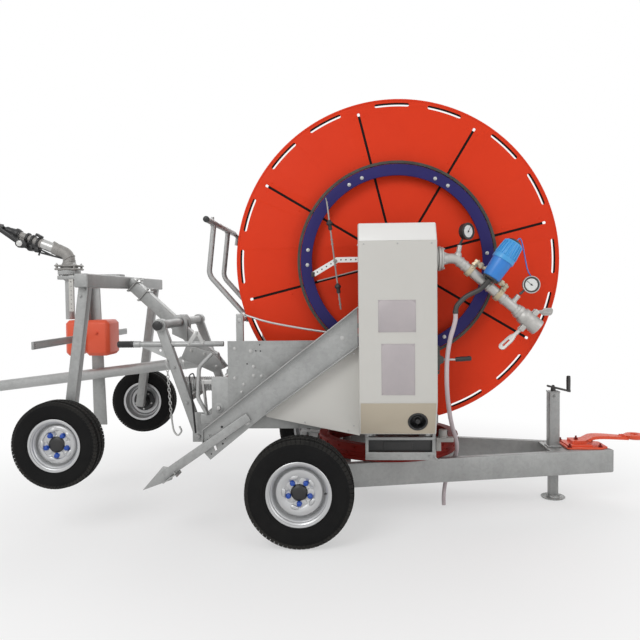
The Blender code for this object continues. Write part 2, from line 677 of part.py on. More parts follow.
def make_anchors():
    """Telescopic legs with spade tips that slide along the anchor arms."""
    run = (SPADE_TIP - SPADE_TOP).normalized()
    for side in (-1, 1):
        y = side * (ARM_Y + 0.003 + GAP + 0.013)
        start = SPADE_TOP + Vector((0, y, 0)) - run * 0.02
        blade_start = SPADE_TIP + Vector((0, y, 0)) - run * 0.170
        leg = bar(start, blade_start + run * 0.01, 0.026, 0.050)
        up = Vector((run.z, 0, -run.x))
        foot = bar(blade_start - run * 0.05 - up * 0.03, blade_start + run * 0.05 - up * 0.03, 0.100, 0.006)
        tip = [(blade_start.x - up.x * 0.045, blade_start.z - up.z * 0.045),
               (SPADE_TIP.x, SPADE_TIP.z),
               (blade_start.x + up.x * 0.045, blade_start.z + up.z * 0.045)]
        spade = plate([tip], 0.010, upright(y))
        where = side_name(side)
        name_part(weld([leg, spade, foot]), f"anchor_spade_{where}", "galvanised", f"anchor_{where}")


def make_drum_axle():
    axle = rod((DRUM_X, -0.735, DRUM_Z), (DRUM_X, 0.735, DRUM_Z), SHAFT_RADIUS, 24)
    bore = rod((DRUM_X, -0.80, DRUM_Z), (DRUM_X, 0.30, DRUM_Z), SHAFT_RADIUS - 0.008, 16)
    name_part(cut(axle, [bore]), "drum_axle", "galvanised", "turntable")


def flange_outline():
    """The sheet of a drum flange: radial slits with a round end, and two arc slots in each sector."""
    holes = [circle(0, 0, HUB_RADIUS + GAP, DRUM_STEPS)]
    half = SLIT_WIDTH / 2
    slit_end = FLANGE_RADIUS - SLIT_MARGIN
    slit = [(SLIT_START, half), (SLIT_START, -half), (slit_end - 0.014, -half), (slit_end, -2 * half),
            (slit_end, 2 * half), (slit_end - 0.014, half)]
    slot_outer = FLANGE_RADIUS - SLOT_MARGIN
    for index in range(SLIT_COUNT):
        turn = Matrix.Rotation(math.radians(SLIT_PHASE + 360 / SLIT_COUNT * index), 2)
        holes.append([tuple(turn @ Vector(point)) for point in slit])
        for offset in (-9.75, 9.75):
            middle = SLIT_PHASE + 360 / SLIT_COUNT * (index + 0.5) + offset
            sweep = [math.radians(middle - 6.3), math.radians(middle + 6.3)]
            slot = [(slot_outer, angle) for angle in sweep]
            slot += [(slot_outer - SLOT_WIDTH, angle) for angle in reversed(sweep)]
            holes.append([(radius * math.cos(angle), radius * math.sin(angle)) for radius, angle in slot])
    return [circle(0, 0, FLANGE_RADIUS, RING_SIDES)] + holes


def make_drum():
    for side in (-1, 1):
        place = Matrix.Translation((DRUM_X, side * (FLANGE_INSIDE + FLANGE_THICK / 2), DRUM_Z))
        sheet = plate(flange_outline(), FLANGE_THICK, place @ Matrix.Rotation(math.radians(90), 4, "X"))
        name_part(sheet, f"drum_flange_{side_name(side)}", "drum_red", "drum")
    bore = SHAFT_RADIUS / math.cos(math.pi / DRUM_STEPS) + GAP
    half = FLANGE_INSIDE - GAP
    hub_end = 0.600
    inside = CORE_RADIUS - 0.008
    core_profile = [(HUB_RADIUS, hub_end), (HUB_RADIUS, 0.010), (inside, 0.010), (inside, half),
                    (CORE_RADIUS, half), (CORE_RADIUS, -half), (inside, -half), (inside, -0.010),
                    (HUB_RADIUS, -0.010), (HUB_RADIUS, -hub_end), (bore, -hub_end), (bore, hub_end)]
    core = turned(core_profile, DRUM_STEPS, outward(DRUM_X, -1e-9, DRUM_Z))
    name_part(core, "drum_core", "drum_red", "drum")
    pack_radius = COIL_RADIUS * math.cos(math.pi / TURN_POINTS) - HOSE_RADIUS + 0.0016
    pack_profile = [(pack_radius, half - 0.002), (pack_radius, -half + 0.002),
                    (CORE_RADIUS + GAP, -half + 0.002), (CORE_RADIUS + GAP, half - 0.002)]
    pack = turned(pack_profile, DRUM_STEPS, outward(DRUM_X, -1e-9, DRUM_Z))
    name_part(pack, "hose_pack", "rubber", "drum")


def make_winding():
    """The outer layer of hose: one helix whose turns lie side by side between the flanges."""
    room = 2 * (FLANGE_INSIDE - HOSE_RADIUS - 0.004)
    points = []
    total = HOSE_TURNS * TURN_POINTS
    for step in range(total + 1):
        turn = 2 * math.pi * step / TURN_POINTS
        y = -room / 2 + room * step / total
        points.append(Vector((COIL_RADIUS * math.cos(turn), y, COIL_RADIUS * math.sin(turn))))
    pitch = room / HOSE_TURNS
    print(f"least gap between turns of the hose: {1000 * (pitch - 2 * HOSE_RADIUS):.2f} mm")
    winding = pipe([point + Vector((DRUM_X, 0, DRUM_Z)) for point in points], HOSE_RADIUS, 1)
    name_part(winding, "hose_winding", "rubber", "drum")


def toothed_edge(count, root, tip, root_share, tip_share, phase):
    """A closed outline of flat-topped teeth round a circle."""
    points = []
    pitch = 2 * math.pi / count
    for index in range(count):
        middle = phase + pitch * index
        for share, radius in ((-root_share, root), (-tip_share, tip), (tip_share, tip), (root_share, root)):
            angle = middle + pitch * share
            points.append((radius * math.cos(angle), radius * math.sin(angle)))
    return points


def make_drive_ring():
    """The blue ring on the near flange, the chain laid round it and the pinion that drives it."""
    place = Matrix.Translation((DRUM_X, DRIVE_RING_Y, DRUM_Z)) @ Matrix.Rotation(math.radians(90), 4, "X")
    edges = [circle(0, 0, radius, RING_SIDES) for radius in (DRIVE_RING_OUTER, DRIVE_RING_INNER)]
    sheet = plate(edges, DRIVE_RING_THICK, place)
    flange_face = -FLANGE_INSIDE - FLANGE_THICK - GAP
    bolts = []
    radius = (DRIVE_RING_INNER + DRIVE_RING_OUTER) / 2
    for index in range(6):
        turn = math.radians(60 * index - 1)
        x = DRUM_X + radius * math.cos(turn)
        z = DRUM_Z + radius * math.sin(turn)
        bolts.append(rod((x, flange_face, z), (x, DRIVE_RING_Y, z), 0.018, 6))
    name_part(weld([sheet] + bolts), "drive_ring", "ring_blue", "drum")
    edge = toothed_edge(CHAIN_TEETH, CHAIN_PITCH_RADIUS - 0.007, CHAIN_PITCH_RADIUS + 0.008, 0.30, 0.18,
                        math.radians(180 / CHAIN_TEETH - 90))
    chain = plate([edge, circle(0, 0, DRIVE_RING_OUTER + GAP, RING_SIDES)], 0.020, place)
    name_part(chain, "drive_chain", "chain_olive", "drum")
    teeth = toothed_edge(PINION_TEETH, PINION_RADIUS - 0.010, PINION_RADIUS + 0.005, 0.22, 0.11,
                         math.radians(90))
    wheel = plate([teeth], 0.024, Matrix.Translation((DRUM_X, 0, PINION_Z)) @ upright(DRIVE_RING_Y))
    shaft = rod((DRUM_X, GEARBOX_BACK + 0.012, PINION_Z), (DRUM_X, DRIVE_RING_Y + 0.025, PINION_Z), 0.020, 16)
    name_part(weld([wheel, shaft]), "drive_pinion", "chain_olive", "drive_pinion")


def make_gearbox():
    body = box((DRUM_X - 0.11, -0.840, PINION_Z - 0.10), (DRUM_X + 0.11, GEARBOX_BACK, PINION_Z + 0.10), 0.008)
    seat = Vector((DRUM_X - 0.10, GEARBOX_BACK + 0.012, PINION_Z))
    carrier = bar(seat - Vector((0, 0, 0.05)), seat + Vector((0, 0, 0.05)), 0.034, 0.02)
    name_part(weld([body, carrier]), "drive_gearbox", "aluminium", "turntable")


def make_casing():
    """The moulded cover over gearbox and turbine, open at its back, with its skirt below the arm."""
    def side_profile(inset):
        return [
            (CASING_BACK, CASING_BOTTOM + inset), (-0.800, CASING_BOTTOM + inset),
            (CASING_FRONT + inset, CASING_BOTTOM + 0.185), (CASING_FRONT + inset, CASING_TOP - 0.105),
            (-0.815, CASING_TOP - inset), (CASING_BACK, CASING_TOP - inset),
        ]
    width = CASING_RIGHT - CASING_LEFT
    middle = (CASING_LEFT + CASING_RIGHT) / 2
    shell = plate([side_profile(0.0)], width, facing_x(middle))
    inner = side_profile(CASING_WALL)
    inner[0] = (CASING_BACK + 0.02, inner[0][1])
    inner[-1] = (CASING_BACK + 0.02, inner[-1][1])
    hollow = plate([inner], width - 2 * CASING_WALL, facing_x(middle))
    window = rod((CASING_RIGHT - 0.05, INLET_Y, DRUM_Z), (CASING_RIGHT + 0.05, INLET_Y, DRUM_Z),
                 INLET_RADIUS + 0.006, 16)
    port = rod((0.650, -0.90, 0.700), (0.650, -0.78, 0.700), 0.055, 16)
    skirt_right = CASING_LEFT + 0.003
    skirt_outline = [(skirt_right, CASING_BOTTOM), (skirt_right, 1.060), (-0.150, 0.738), (-0.190, 0.700)]
    skirt = plate([skirt_outline], 0.006, upright(-0.765))
    shell = cut(shell, [hollow])
    bracket = box((CASING_RIGHT - 0.001, LEVER_Y - 0.020, LEVER_Z - 0.080),
                  (LEVER_X + 0.012, LEVER_Y - 0.014, LEVER_Z + 0.080))
    pin = rod((LEVER_X, LEVER_Y - 0.016, LEVER_Z), (LEVER_X, LEVER_Y + 0.010, LEVER_Z), LEVER_PIN, 10)
    drain_top = Vector(DRAIN_ROUTE[0]) + Vector((0.0002, 0, 2 * GAP))
    elbow = Vector((drain_top.x, drain_top.y, drain_top.z + 0.030))
    spout_path = rounded_path([(CASING_RIGHT - 0.003, elbow.y, elbow.z), elbow, drain_top], 0.018, 2)
    spout = pipe(spout_path, DRAIN_RADIUS, 1)
    shell = cut(weld([shell, skirt, bracket, pin, spout]), [window, port])
    name_part(shell, "casing", "casing_white", "turntable")


def make_turbine():
    """The water turbine behind the casing: a drum-shaped housing with a flanged outlet to the right."""
    centre = Vector((0.560, -0.790, 1.540))
    housing = rod(centre + Vector((0, -0.040, 0)), centre + Vector((0, 0.050, 0)), 0.115, 12)
    stub = rod((0.60, INLET_Y, DRUM_Z), (0.775, INLET_Y, DRUM_Z), 0.028, 8)
    collar = rod((0.768, INLET_Y, DRUM_Z), (0.782, INLET_Y, DRUM_Z), 0.068, 12)
    collar_back = rod((0.757, INLET_Y, DRUM_Z), (0.764, INLET_Y, DRUM_Z), 0.066, 12)
    name_part(weld([housing, stub, collar, collar_back]), "water_turbine", "aluminium", "turntable")


def make_inlet():
    points = rounded_path([INLET_START - Vector((0.008, 0, 0)), INLET_BEND, INLET_END], 0.040, 3)
    run = pipe(points, INLET_RADIUS, 1)
    flange = rod((0.782 + GAP, INLET_Y, DRUM_Z), (0.797, INLET_Y, DRUM_Z), 0.064, 12)
    cup = rod(INLET_END - INLET_RUN * 0.085, INLET_END + INLET_RUN * 0.030, COUPLING_RADIUS, 16)
    collar = rod(INLET_END - INLET_RUN * 0.115, INLET_END - INLET_RUN * 0.095, 0.038, 12)
    ears = []
    for sign in (-1, 1):
        middle = INLET_END - INLET_RUN * 0.035 + INLET_UP * sign * (COUPLING_RADIUS + 0.006)
        for y in (-0.017, 0.017):
            shift = Vector((0, y, 0))
            rise = INLET_UP * sign
            ears.append(bar(middle - rise * 0.018 + shift, middle + rise * 0.020 + shift, 0.008, 0.030))
    gauge_stub = rod(INLET_BEND + Vector((0.010, 0, 0.010)), GAUGE_STUB, 0.014, 8)
    second = INLET_END - INLET_RUN * 0.165
    second_stub = rod(second, second + INLET_UP * 0.075, 0.014, 8)
    body = weld([run, flange, cup, collar] + ears + [gauge_stub, second_stub])
    bore = rod(INLET_END - INLET_RUN * 0.070, INLET_END + INLET_RUN * 0.05, COUPLING_RADIUS - 0.008, 16)
    across = Vector((0, 0.03, 0))
    pins = [rod(place - across, place + across, 0.0045, 8) for place in CAM_PINS.values()]
    body = cut(body, [bore] + pins)
    name_part(body, "inlet_pipe", "aluminium", "turntable")


def make_cam_levers():
    """Two paddles that lock the supply hose, each on a pin between its ears."""
    swings = {"cam_lever_upper": 1, "cam_lever_lower": -1}
    for name, sign in swings.items():
        pin = CAM_PINS[name]
        away = INLET_UP * sign
        if sign > 0:
            tip = pin + (INLET_RUN * 0.75 + away * 0.66) * 0.085
        else:
            tip = pin + (INLET_RUN * -0.10 + away) * 0.150
        axle = rod(pin - Vector((0, 0.0215, 0)), pin + Vector((0, 0.0215, 0)), 0.0040, 8)
        cam = rod(pin - Vector((0, 0.011, 0)), pin + Vector((0, 0.011, 0)), 0.0125, 10)
        paddle = bar(pin, tip, 0.022, 0.008)
        pad = bar(pin + (tip - pin) * 0.45, tip + (tip - pin) * 0.08, 0.021, 0.034)
        name_part(weld([cam, axle, paddle, pad]), name, "aluminium", name)


def make_bypass():
    """Brass saddles on the inlet pipe, and the blue regulating valve that they carry."""
    for name, along in (("upper", 0.085), ("lower", 0.290)):
        middle = INLET_BEND + INLET_RUN * along
        stand = INLET_RUN.to_track_quat("Z", "Y").to_matrix().to_4x4()
        saddle = turned(ring(INLET_RADIUS + GAP + 0.0005, 0.037, 0.030), 12, Matrix.Translation(middle) @ stand)
        seat = middle + INLET_RUN * 0.015
        boss = rod(seat + INLET_UP * 0.032, seat + INLET_UP * 0.070, 0.016, 6)
        elbow_start = seat + INLET_UP * 0.058
        along_pipe = INLET_RUN * (1 if name == "upper" else -1)
        elbow = rod(elbow_start, elbow_start + along_pipe * BYPASS_REACH, 0.013, 6)
        nut = rod(elbow_start + along_pipe * 0.020, elbow_start + along_pipe * 0.040, 0.019, 6)
        name_part(weld([saddle, boss, elbow, nut]), f"bypass_fitting_{name}", "brass", "turntable")
    start = VALVE_START
    end = VALVE_END
    run = (end - start).normalized()
    body = rod(start, start + run * 0.110, 0.050, 12, 0.056)
    collar = rod(start + run * 0.105, start + run * 0.135, 0.062, 12)
    cap = rod(start + run * 0.130, end, 0.058, 12, 0.050)
    foot = rod(start - run * 0.014, start + run * 0.002, 0.044, 12)
    top = rod(end - run * 0.002, end + run * 0.012, 0.040, 12)
    name_part(weld([body, collar, cap, foot, top]), "control_valve", "valve_blue", "turntable")


def make_gauges():
    lower_stub = INLET_END - INLET_RUN * 0.165 + INLET_UP * 0.078
    places = {
        "pressure_gauge_upper": (GAUGE_STUB + Vector((0.0005, 0, 0.0038)), Vector((0.034, -0.004, 0.070)), 38),
        "pressure_gauge_lower": (lower_stub, Vector((0.058, 0, 0.050)), 0),
    }
    for name, (base, reach, turn) in places.items():
        centre = base + reach
        facing = Vector((math.sin(math.radians(turn)), -math.cos(math.radians(turn)), 0))
        body = rod(centre - facing * 0.018, centre + facing * 0.018, 0.047, 14)
        stem = rod(base - reach * 0.02, centre, 0.008, 6)
        gauge = weld([body, stem])
        dial = rod(centre + facing * 0.014, centre + facing * 0.030, 0.042, 14)
        name_part(cut(gauge, [dial]), name, "black_plastic", "turntable")


def make_drain_hose():
    """The drain hose hangs from a spout beside the casing and ends cut, just above the ground."""
    anchors = [Vector(point) for point in DRAIN_ROUTE]
    points = smooth_route(anchors, 2)
    name_part(pipe(points, DRAIN_RADIUS, 2), "drain_hose", "drain_grey", "turntable")


def smooth_route(anchors, steps):
    """Points of a smooth curve that passes through every anchor."""
    padded = [anchors[0] * 2 - anchors[1]] + anchors + [anchors[-1] * 2 - anchors[-2]]
    points = []
    for before, start, end, after in zip(padded, padded[1:], padded[2:], padded[3:]):
        for step in range(steps):
            t = step / steps
            bend = 2 * before - 5 * start + 4 * end - after
            twist = 3 * start - before - 3 * end + after
            points.append(0.5 * (2 * start + (end - before) * t + bend * t ** 2 + twist * t ** 3))
    points.append(anchors[-1])
    return points


def make_levers():
    """The gear lever beside the casing and the shut-off linkage on its other side."""
    shank = rod((LEVER_X, LEVER_Y, LEVER_Z), (0.870, LEVER_Y, LEVER_Z), 0.0065, 8)
    eye = rod((LEVER_X, LEVER_Y - 0.0137, LEVER_Z), (LEVER_X, LEVER_Y + 0.008, LEVER_Z), 0.013, 12)
    grip = rod((0.862, LEVER_Y, LEVER_Z), (0.950, LEVER_Y, LEVER_Z + 0.006), 0.014, 12)
    hole = rod((LEVER_X, LEVER_Y - 0.05, LEVER_Z), (LEVER_X, LEVER_Y + 0.05, LEVER_Z),
               LEVER_PIN + RUNNING, 10)
    name_part(cut(weld([shank, eye, grip]), [hole]), "gear_lever", "black_plastic", "gear_lever")
    arm_y = -POST_Y - POST_THICK / 2 - 0.004 - GAP - 0.0025
    strip_end = DRUM_X - SHAFT_RADIUS - 0.010
    strip = rounded_path([(0.075, arm_y, 1.488), (0.215, arm_y, 1.570), (strip_end, arm_y, 1.572)], 0.03, 1)
    strap = weld([bar(a, b, 0.005, 0.030) for a, b in zip(strip, strip[1:])])
    post = rod((0.155, arm_y, 1.250), (0.100, arm_y, 1.900), 0.0075, 6)
    knobs = [rod((0.148, arm_y, 1.335), (0.143, arm_y, 1.395), 0.016, 8),
             rod((0.117, arm_y, 1.700), (0.112, arm_y, 1.755), 0.016, 8)]
    name_part(weld([strap, post] + knobs), "shutoff_arm", "galvanised", "turntable")


def make_lead_screw():
    half = CHEEK_Y - CHEEK_THICK / 2 - 0.0003
    shaft = rod((SCREW_X, -half, SCREW_Z), (SCREW_X, half, SCREW_Z), SCREW_RADIUS, 12)
    ends = rod((SCREW_X, -CHEEK_Y - 0.010, SCREW_Z), (SCREW_X, CHEEK_Y + 0.010, SCREW_Z), SCREW_END, 12)
    name_part(weld([shaft, ends]), "lead_screw", "galvanised", "lead_screw")


def make_hose_guide():
    """The carriage that lays the hose, and the stretch of hose it holds up to the drum."""
    low, high = SCREW_Z - 0.036, RAIL_ROD_Z + 0.030
    block = box((SCREW_X - 0.034, GUIDE_Y - 0.060, low), (SCREW_X + 0.034, GUIDE_Y + 0.060, high))
    sleeve = rod((-0.800, GUIDE_Y, HOSE_Z), (SCREW_X + 0.070, GUIDE_Y, HOSE_Z), HOSE_RADIUS + 0.006, 16)
    bores = [rod((-0.9, GUIDE_Y, HOSE_Z), (SCREW_X + 0.1, GUIDE_Y, HOSE_Z), HOSE_RADIUS + 0.001, 16)]
    shafts = ((SCREW_Z, SCREW_RADIUS + 3 * RUNNING, 12), (RAIL_ROD_Z, RAIL_ROD_RADIUS + RUNNING, 10))
    for z, radius, sides in shafts:
        bores.append(rod((SCREW_X, GUIDE_Y - 0.1, z), (SCREW_X, GUIDE_Y + 0.1, z), radius, sides))
    name_part(cut(weld([block, sleeve]), bores), "hose_guide", "galvanised", "hose_guide")
    lay = WOUND_RADIUS + HOSE_RADIUS + 0.002
    points = [Vector((x, GUIDE_Y, HOSE_Z)) for x in (-0.780, -0.300, 0.200)]
    for step in range(6):
        turn = math.radians(-90 + 9 * step)
        points.append(Vector((DRUM_X + lay * math.cos(turn), GUIDE_Y, DRUM_Z + lay * math.sin(turn))))
    name_part(pipe(points, HOSE_RADIUS, 2), "hose_run", "rubber", "hose_guide")


def make_guard_hoop():
    """The bent hoop that the returning cart pushes to stop the drive, on its post."""
    pieces = []
    for y in (-0.400, 0.060):
        foot = (HOOP_PIVOT_X - 0.002, y, HOOP_PIVOT_Z + 0.001)
        pieces.append(pipe(rounded_path([(-0.550, y, 1.812), (-0.585, y, 1.505), foot], 0.08, 3), 0.0165, 1))
    pieces.append(rod((-0.550, -0.610, 1.822), (-0.550, 0.300, 1.822), 0.0185, 10))
    pieces.append(rod((HOOP_PIVOT_X, -CHEEK_Y, HOOP_PIVOT_Z), (HOOP_PIVOT_X, CHEEK_Y, HOOP_PIVOT_Z), HOOP_PIN, 8))
    hook = rounded_path([(-0.550, 0.290, 1.822), (-0.530, 0.330, 1.800), (-0.540, 0.330, 1.740)], 0.015, 2)
    pieces.append(pipe(hook, 0.0145, 1))
    name_part(weld(pieces), "guard_hoop", "galvanised", "guard_hoop")


def make_lift_frame():
    """Two levers with their cross bar, hand bar and pivots: it raises the sprinkler cart."""
    pieces = []
    top = Vector((LIFT_BAR_X, 0, LIFT_BAR_Z))
    pivot = Vector((LIFT_PIVOT_X, 0, LIFT_PIVOT_Z))
    run = (top - pivot).normalized()
    for side in (-1, 1):
        shift = Vector((0, side * LIFT_ARM_Y, 0))
        pieces.append(bar(pivot + shift - run * 0.030, top + shift, 0.050, 0.058))
        pin = sorted((side * (LIFT_ARM_Y + 0.01), side * (LIFT_ARM_Y + 0.052)))
        pieces.append(rod((pivot.x, pin[0], pivot.z), (pivot.x, pin[1], pivot.z), LIFT_PIN, 16))
    pieces.append(rod((top.x, -0.575, top.z), (top.x, 0.575, top.z), LIFT_BAR_RADIUS, 16))
    grip_y = -LIFT_ARM_Y
    pieces.append(rod((-1.130, grip_y, 1.085), (-0.480, grip_y, 1.085), 0.021, 8))
    gusset = [(-1.000, 1.075), (-0.835, 1.075), (-0.800, 0.985)]
    pieces.append(plate([gusset], 0.006, upright(grip_y)))
    name_part(weld(pieces), "lift_frame", "galvanised", "lift")


def make_cart():
    """The sprinkler cart: cross beam, legs, diagonal boom with its ears, and wheel spindles."""
    beam_half = Vector((0.040, 0.740, 0.040))
    beam_middle = Vector((CART_BEAM_X, 0, CART_BEAM_Z))
    pieces = [box(beam_middle - beam_half, beam_middle + beam_half)]
    for side in (-1, 1):
        y = side * CART_LEG_Y
        pieces.append(bar((CART_BEAM_X, y, CART_BEAM_Z), (CART_WHEEL_X, y, CART_WHEEL_Z - 0.030), 0.060, 0.060))
        root = side * (CART_LEG_Y + 0.01)
        for tip, radius in ((CART_HUB_FACE, 0.034), (CART_TRACK / 2 + 0.012, SPINDLE_RADIUS)):
            start, end = [Vector((CART_WHEEL_X, y, CART_WHEEL_Z)) for y in sorted((root, side * tip))]
            pieces.append(rod(start, end, radius, 12))
    boom_start = Vector((CART_BEAM_X + 0.030, 0, CART_BEAM_Z + 0.010))
    boom_end = Vector((-0.600, 0, 0.905))
    pieces.append(bar(boom_start, boom_end, 0.080, 0.080))
    foot = [(-0.820, 1.050), (-0.640, 0.995), (-0.560, 0.890), (-0.640, 0.860), (-0.860, 0.960)]
    for y in (-0.048, 0.048):
        pieces.append(plate([foot], 0.022, upright(y)))
    for y in (-0.046, 0.046):
        ear = [(LIFT_BAR_X - 0.055, LIFT_BAR_Z - 0.080), (LIFT_BAR_X + 0.050, LIFT_BAR_Z - 0.130),
               (LIFT_BAR_X + 0.050, LIFT_BAR_Z + 0.020), (LIFT_BAR_X + 0.025, LIFT_BAR_Z + 0.050),
               (LIFT_BAR_X - 0.025, LIFT_BAR_Z + 0.050), (LIFT_BAR_X - 0.055, LIFT_BAR_Z + 0.020)]
        pieces.append(plate([ear], 0.014, upright(y)))
    pieces.append(box((GUN_X - 0.02, -0.050, CART_BEAM_Z + 0.020),
                      (CART_BEAM_X - 0.02, 0.050, CART_BEAM_Z + 0.060)))
    pieces.append(box((GUN_X - 0.060, -0.060, CART_BEAM_Z + 0.026),
                      (GUN_X + 0.060, 0.060, CART_BEAM_Z + 0.054)))
    post_x = GUN_X + POST_OFFSET
    pieces.append(box((post_x - 0.025, -0.025, WEIGHT_Z - 0.030), (post_x + 0.025, 0.025, CART_BEAM_Z + 0.030)))
    pieces.append(rod((GUN_X, 0, WEIGHT_Z + 0.125), (GUN_X, 0, GUN_BASE_Z - 0.001), RISER_RADIUS, 12))
    pieces.append(rod((GUN_X, 0, GUN_BASE_Z - 0.030), (GUN_X, 0, GUN_BASE_Z - GAP), 0.075, 12))
    frame = weld(pieces)
    bar_hole = rod((LIFT_BAR_X, -0.10, LIFT_BAR_Z), (LIFT_BAR_X, 0.10, LIFT_BAR_Z),
                   LIFT_BAR_RADIUS + 2 * RUNNING, 16)
    weight_hole = box((post_x - 0.008, -0.1, WEIGHT_Z - 0.023), (post_x + 0.0083, 0.1, WEIGHT_Z + 0.0233))
    pipe_run = (CART_PIPE_FRONT - CART_PIPE_REAR).normalized()
    pipe_hole = rod(CART_PIPE_FRONT - pipe_run * 0.40, CART_PIPE_FRONT + pipe_run * 0.10,
                    SLEEVE_RADIUS + GAP, 16)
    name_part(cut(frame, [bar_hole, weight_hole, pipe_hole]), "cart_frame", "galvanised", "cart")
    bar_piece = box((post_x - 0.0077, -0.775, WEIGHT_Z - 0.0227), (post_x + 0.0080, 0.775, WEIGHT_Z + 0.0230))
    name_part(bar_piece, "counterweight_bar", "galvanised", "cart")
    blocks = (("left", post_x - 0.110, post_x - 0.0257), ("right", post_x + 0.0257, post_x + 0.190))
    for name, low, high in blocks:
        block = box((low, -WEIGHT_HALF, WEIGHT_Z - 0.120), (high, WEIGHT_HALF, WEIGHT_Z + 0.120), 0.022)
        channel = box((post_x - 0.009, -0.2, WEIGHT_Z - 0.024), (post_x + 0.009, 0.2, WEIGHT_Z + 0.024))
        name_part(cut(block, [channel]), f"counterweight_{name}", "hitch_orange", "cart")


def make_draw_pipe():
    """The long water pipe under the cart, sleeved at its front and tapered at its tail."""
    run = (CART_PIPE_FRONT - CART_PIPE_REAR).normalized()
    length = (CART_PIPE_FRONT - CART_PIPE_REAR).length
    profile = [(0.0, length), (SLEEVE_RADIUS, length), (SLEEVE_RADIUS, length - SLEEVE_LENGTH),
               (DRAW_PIPE_RADIUS, length - SLEEVE_LENGTH), (DRAW_PIPE_RADIUS, 0.050), (0.020, 0.0), (0.0, 0.0)]
    stand = run.to_track_quat("Z", "Y").to_matrix().to_4x4()
    body = turned(profile, 16, Matrix.Translation(CART_PIPE_REAR) @ stand, closed=False)
    name_part(body, "draw_pipe", "galvanised", "cart")


def make_gun():
    """The riser, the turning gun body with its barrel, and the drive arm on top of it."""
    base = rod((GUN_X, 0, GUN_BASE_Z), (GUN_X, 0, GUN_BASE_Z + 0.035), 0.085, 12)
    aim = Vector((-math.cos(GUN_RISE), 0, math.sin(GUN_RISE)))
    knee = Vector((GUN_X, 0, GUN_BASE_Z + 0.110))
    neck = pipe(rounded_path([(GUN_X, 0, GUN_BASE_Z + 0.020), knee, knee + aim * 0.20], 0.06, 4), 0.036, 2)
    barrel = rod(knee + aim * 0.10, knee + aim * 0.360, 0.029, 12, 0.024)
    lug = bar((GUN_ARM_X, 0, GUN_ARM_Z + 0.045), (GUN_ARM_X, 0, GUN_ARM_Z - 0.020), 0.040, 0.044)
    bore = rod((GUN_ARM_X, -0.05, GUN_ARM_Z), (GUN_ARM_X, 0.05, GUN_ARM_Z), 0.0154, 12)
    name_part(cut(weld([base, neck, barrel, lug]), [bore]), "gun_body", "aluminium", "gun")
    nozzle_start = knee + aim * (0.360 + GAP)
    nozzle = rod(nozzle_start, nozzle_start + aim * 0.110, 0.032, 12, 0.020)
    band = rod(nozzle_start + aim * 0.015, nozzle_start + aim * 0.035, 0.038, 12)
    name_part(weld([nozzle, band]), "gun_nozzle", "black_plastic", "gun")
    pivot = Vector((GUN_ARM_X, 0, GUN_ARM_Z))
    tip = knee + aim * 0.530
    pieces = [rod(pivot - Vector((0, 0.062, 0)), pivot + Vector((0, 0.062, 0)), 0.0145, 12)]
    for y in (-0.054, 0.054):
        shift = Vector((0, y, 0))
        pieces.append(bar(pivot + shift - aim * 0.050, pivot + shift + aim * 0.030, 0.012, 0.044))
        pieces.append(bar(pivot + shift, tip + shift, 0.010, 0.028))
    pieces.append(box((tip.x - 0.010, -0.058, tip.z - 0.030), (tip.x + 0.012, 0.058, tip.z + 0.020)))
    name_part(weld(pieces), "gun_drive_arm", "black_plastic", "gun_drive_arm")


def main():
    clear_scene()
    place_pivots()
    make_chassis()
    make_wheels()
    make_jack()
    make_hitch()
    make_slew_rings()
    make_turntable_frame()
    make_cheeks_and_arms()
    make_anchors()
    make_drum_axle()
    make_drum()
    make_winding()
    make_drive_ring()
    make_gearbox()
    make_casing()
    make_turbine()
    make_inlet()
    make_cam_levers()
    make_bypass()
    make_gauges()
    make_levers()
    make_lead_screw()
    make_hose_guide()
    make_guard_hoop()
    make_lift_frame()
    make_cart()
    make_draw_pipe()
    make_gun()
    make_drain_hose()


main()
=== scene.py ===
"""Hose reel irrigator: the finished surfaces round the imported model, a pale studio and the camera."""
from math import cos, pi, radians, sin, tan

import bmesh
import bpy
from mathutils import Matrix, Vector


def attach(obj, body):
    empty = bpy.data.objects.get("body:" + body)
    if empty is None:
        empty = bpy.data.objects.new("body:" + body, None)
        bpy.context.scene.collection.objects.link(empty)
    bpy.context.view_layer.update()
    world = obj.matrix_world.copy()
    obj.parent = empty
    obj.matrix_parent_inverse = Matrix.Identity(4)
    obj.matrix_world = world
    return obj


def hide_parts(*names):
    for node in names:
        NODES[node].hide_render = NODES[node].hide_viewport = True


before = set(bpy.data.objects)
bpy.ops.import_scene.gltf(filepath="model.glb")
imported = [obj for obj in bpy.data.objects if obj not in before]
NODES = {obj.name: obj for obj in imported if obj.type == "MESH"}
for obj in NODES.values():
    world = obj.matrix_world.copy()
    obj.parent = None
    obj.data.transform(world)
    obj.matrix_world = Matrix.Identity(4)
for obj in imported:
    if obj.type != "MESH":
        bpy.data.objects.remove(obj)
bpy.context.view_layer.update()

CLEAR = 0.0004
SIDES = ((-1, "near"), (1, "far"))


def at(x, y, z):
    return Vector((x, y, z))


def mm(*numbers, size=2):
    """Points given as one row of millimetres, taken two or three at a time."""
    metres = [number / 1000 for number in numbers]
    return list(zip(*[iter(metres)] * size))


def shares(wide, high, *numbers):
    """Points given as one row of shares of a width and a height."""
    return [(wide * across, high * up) for across, up in zip(numbers[::2], numbers[1::2])]


def polar(radius, turn, height=0):
    """A point by its radius and angle round the Z axis."""
    return at(radius * cos(turn), radius * sin(turn), height)


def spoke(radius, turn, y=0):
    """A point by its radius and angle round the Y axis."""
    return at(radius * cos(turn), y, radius * sin(turn))


def moved(x, y, z):
    return Matrix.Translation((x, y, z))


def spun(degrees, axis):
    return Matrix.Rotation(radians(degrees), 4, axis)


def frame_of(place, along, side, out):
    """The frame at a place with these three axes."""
    return Matrix.Translation(place) @ Matrix((along, side, out)).transposed().to_4x4()


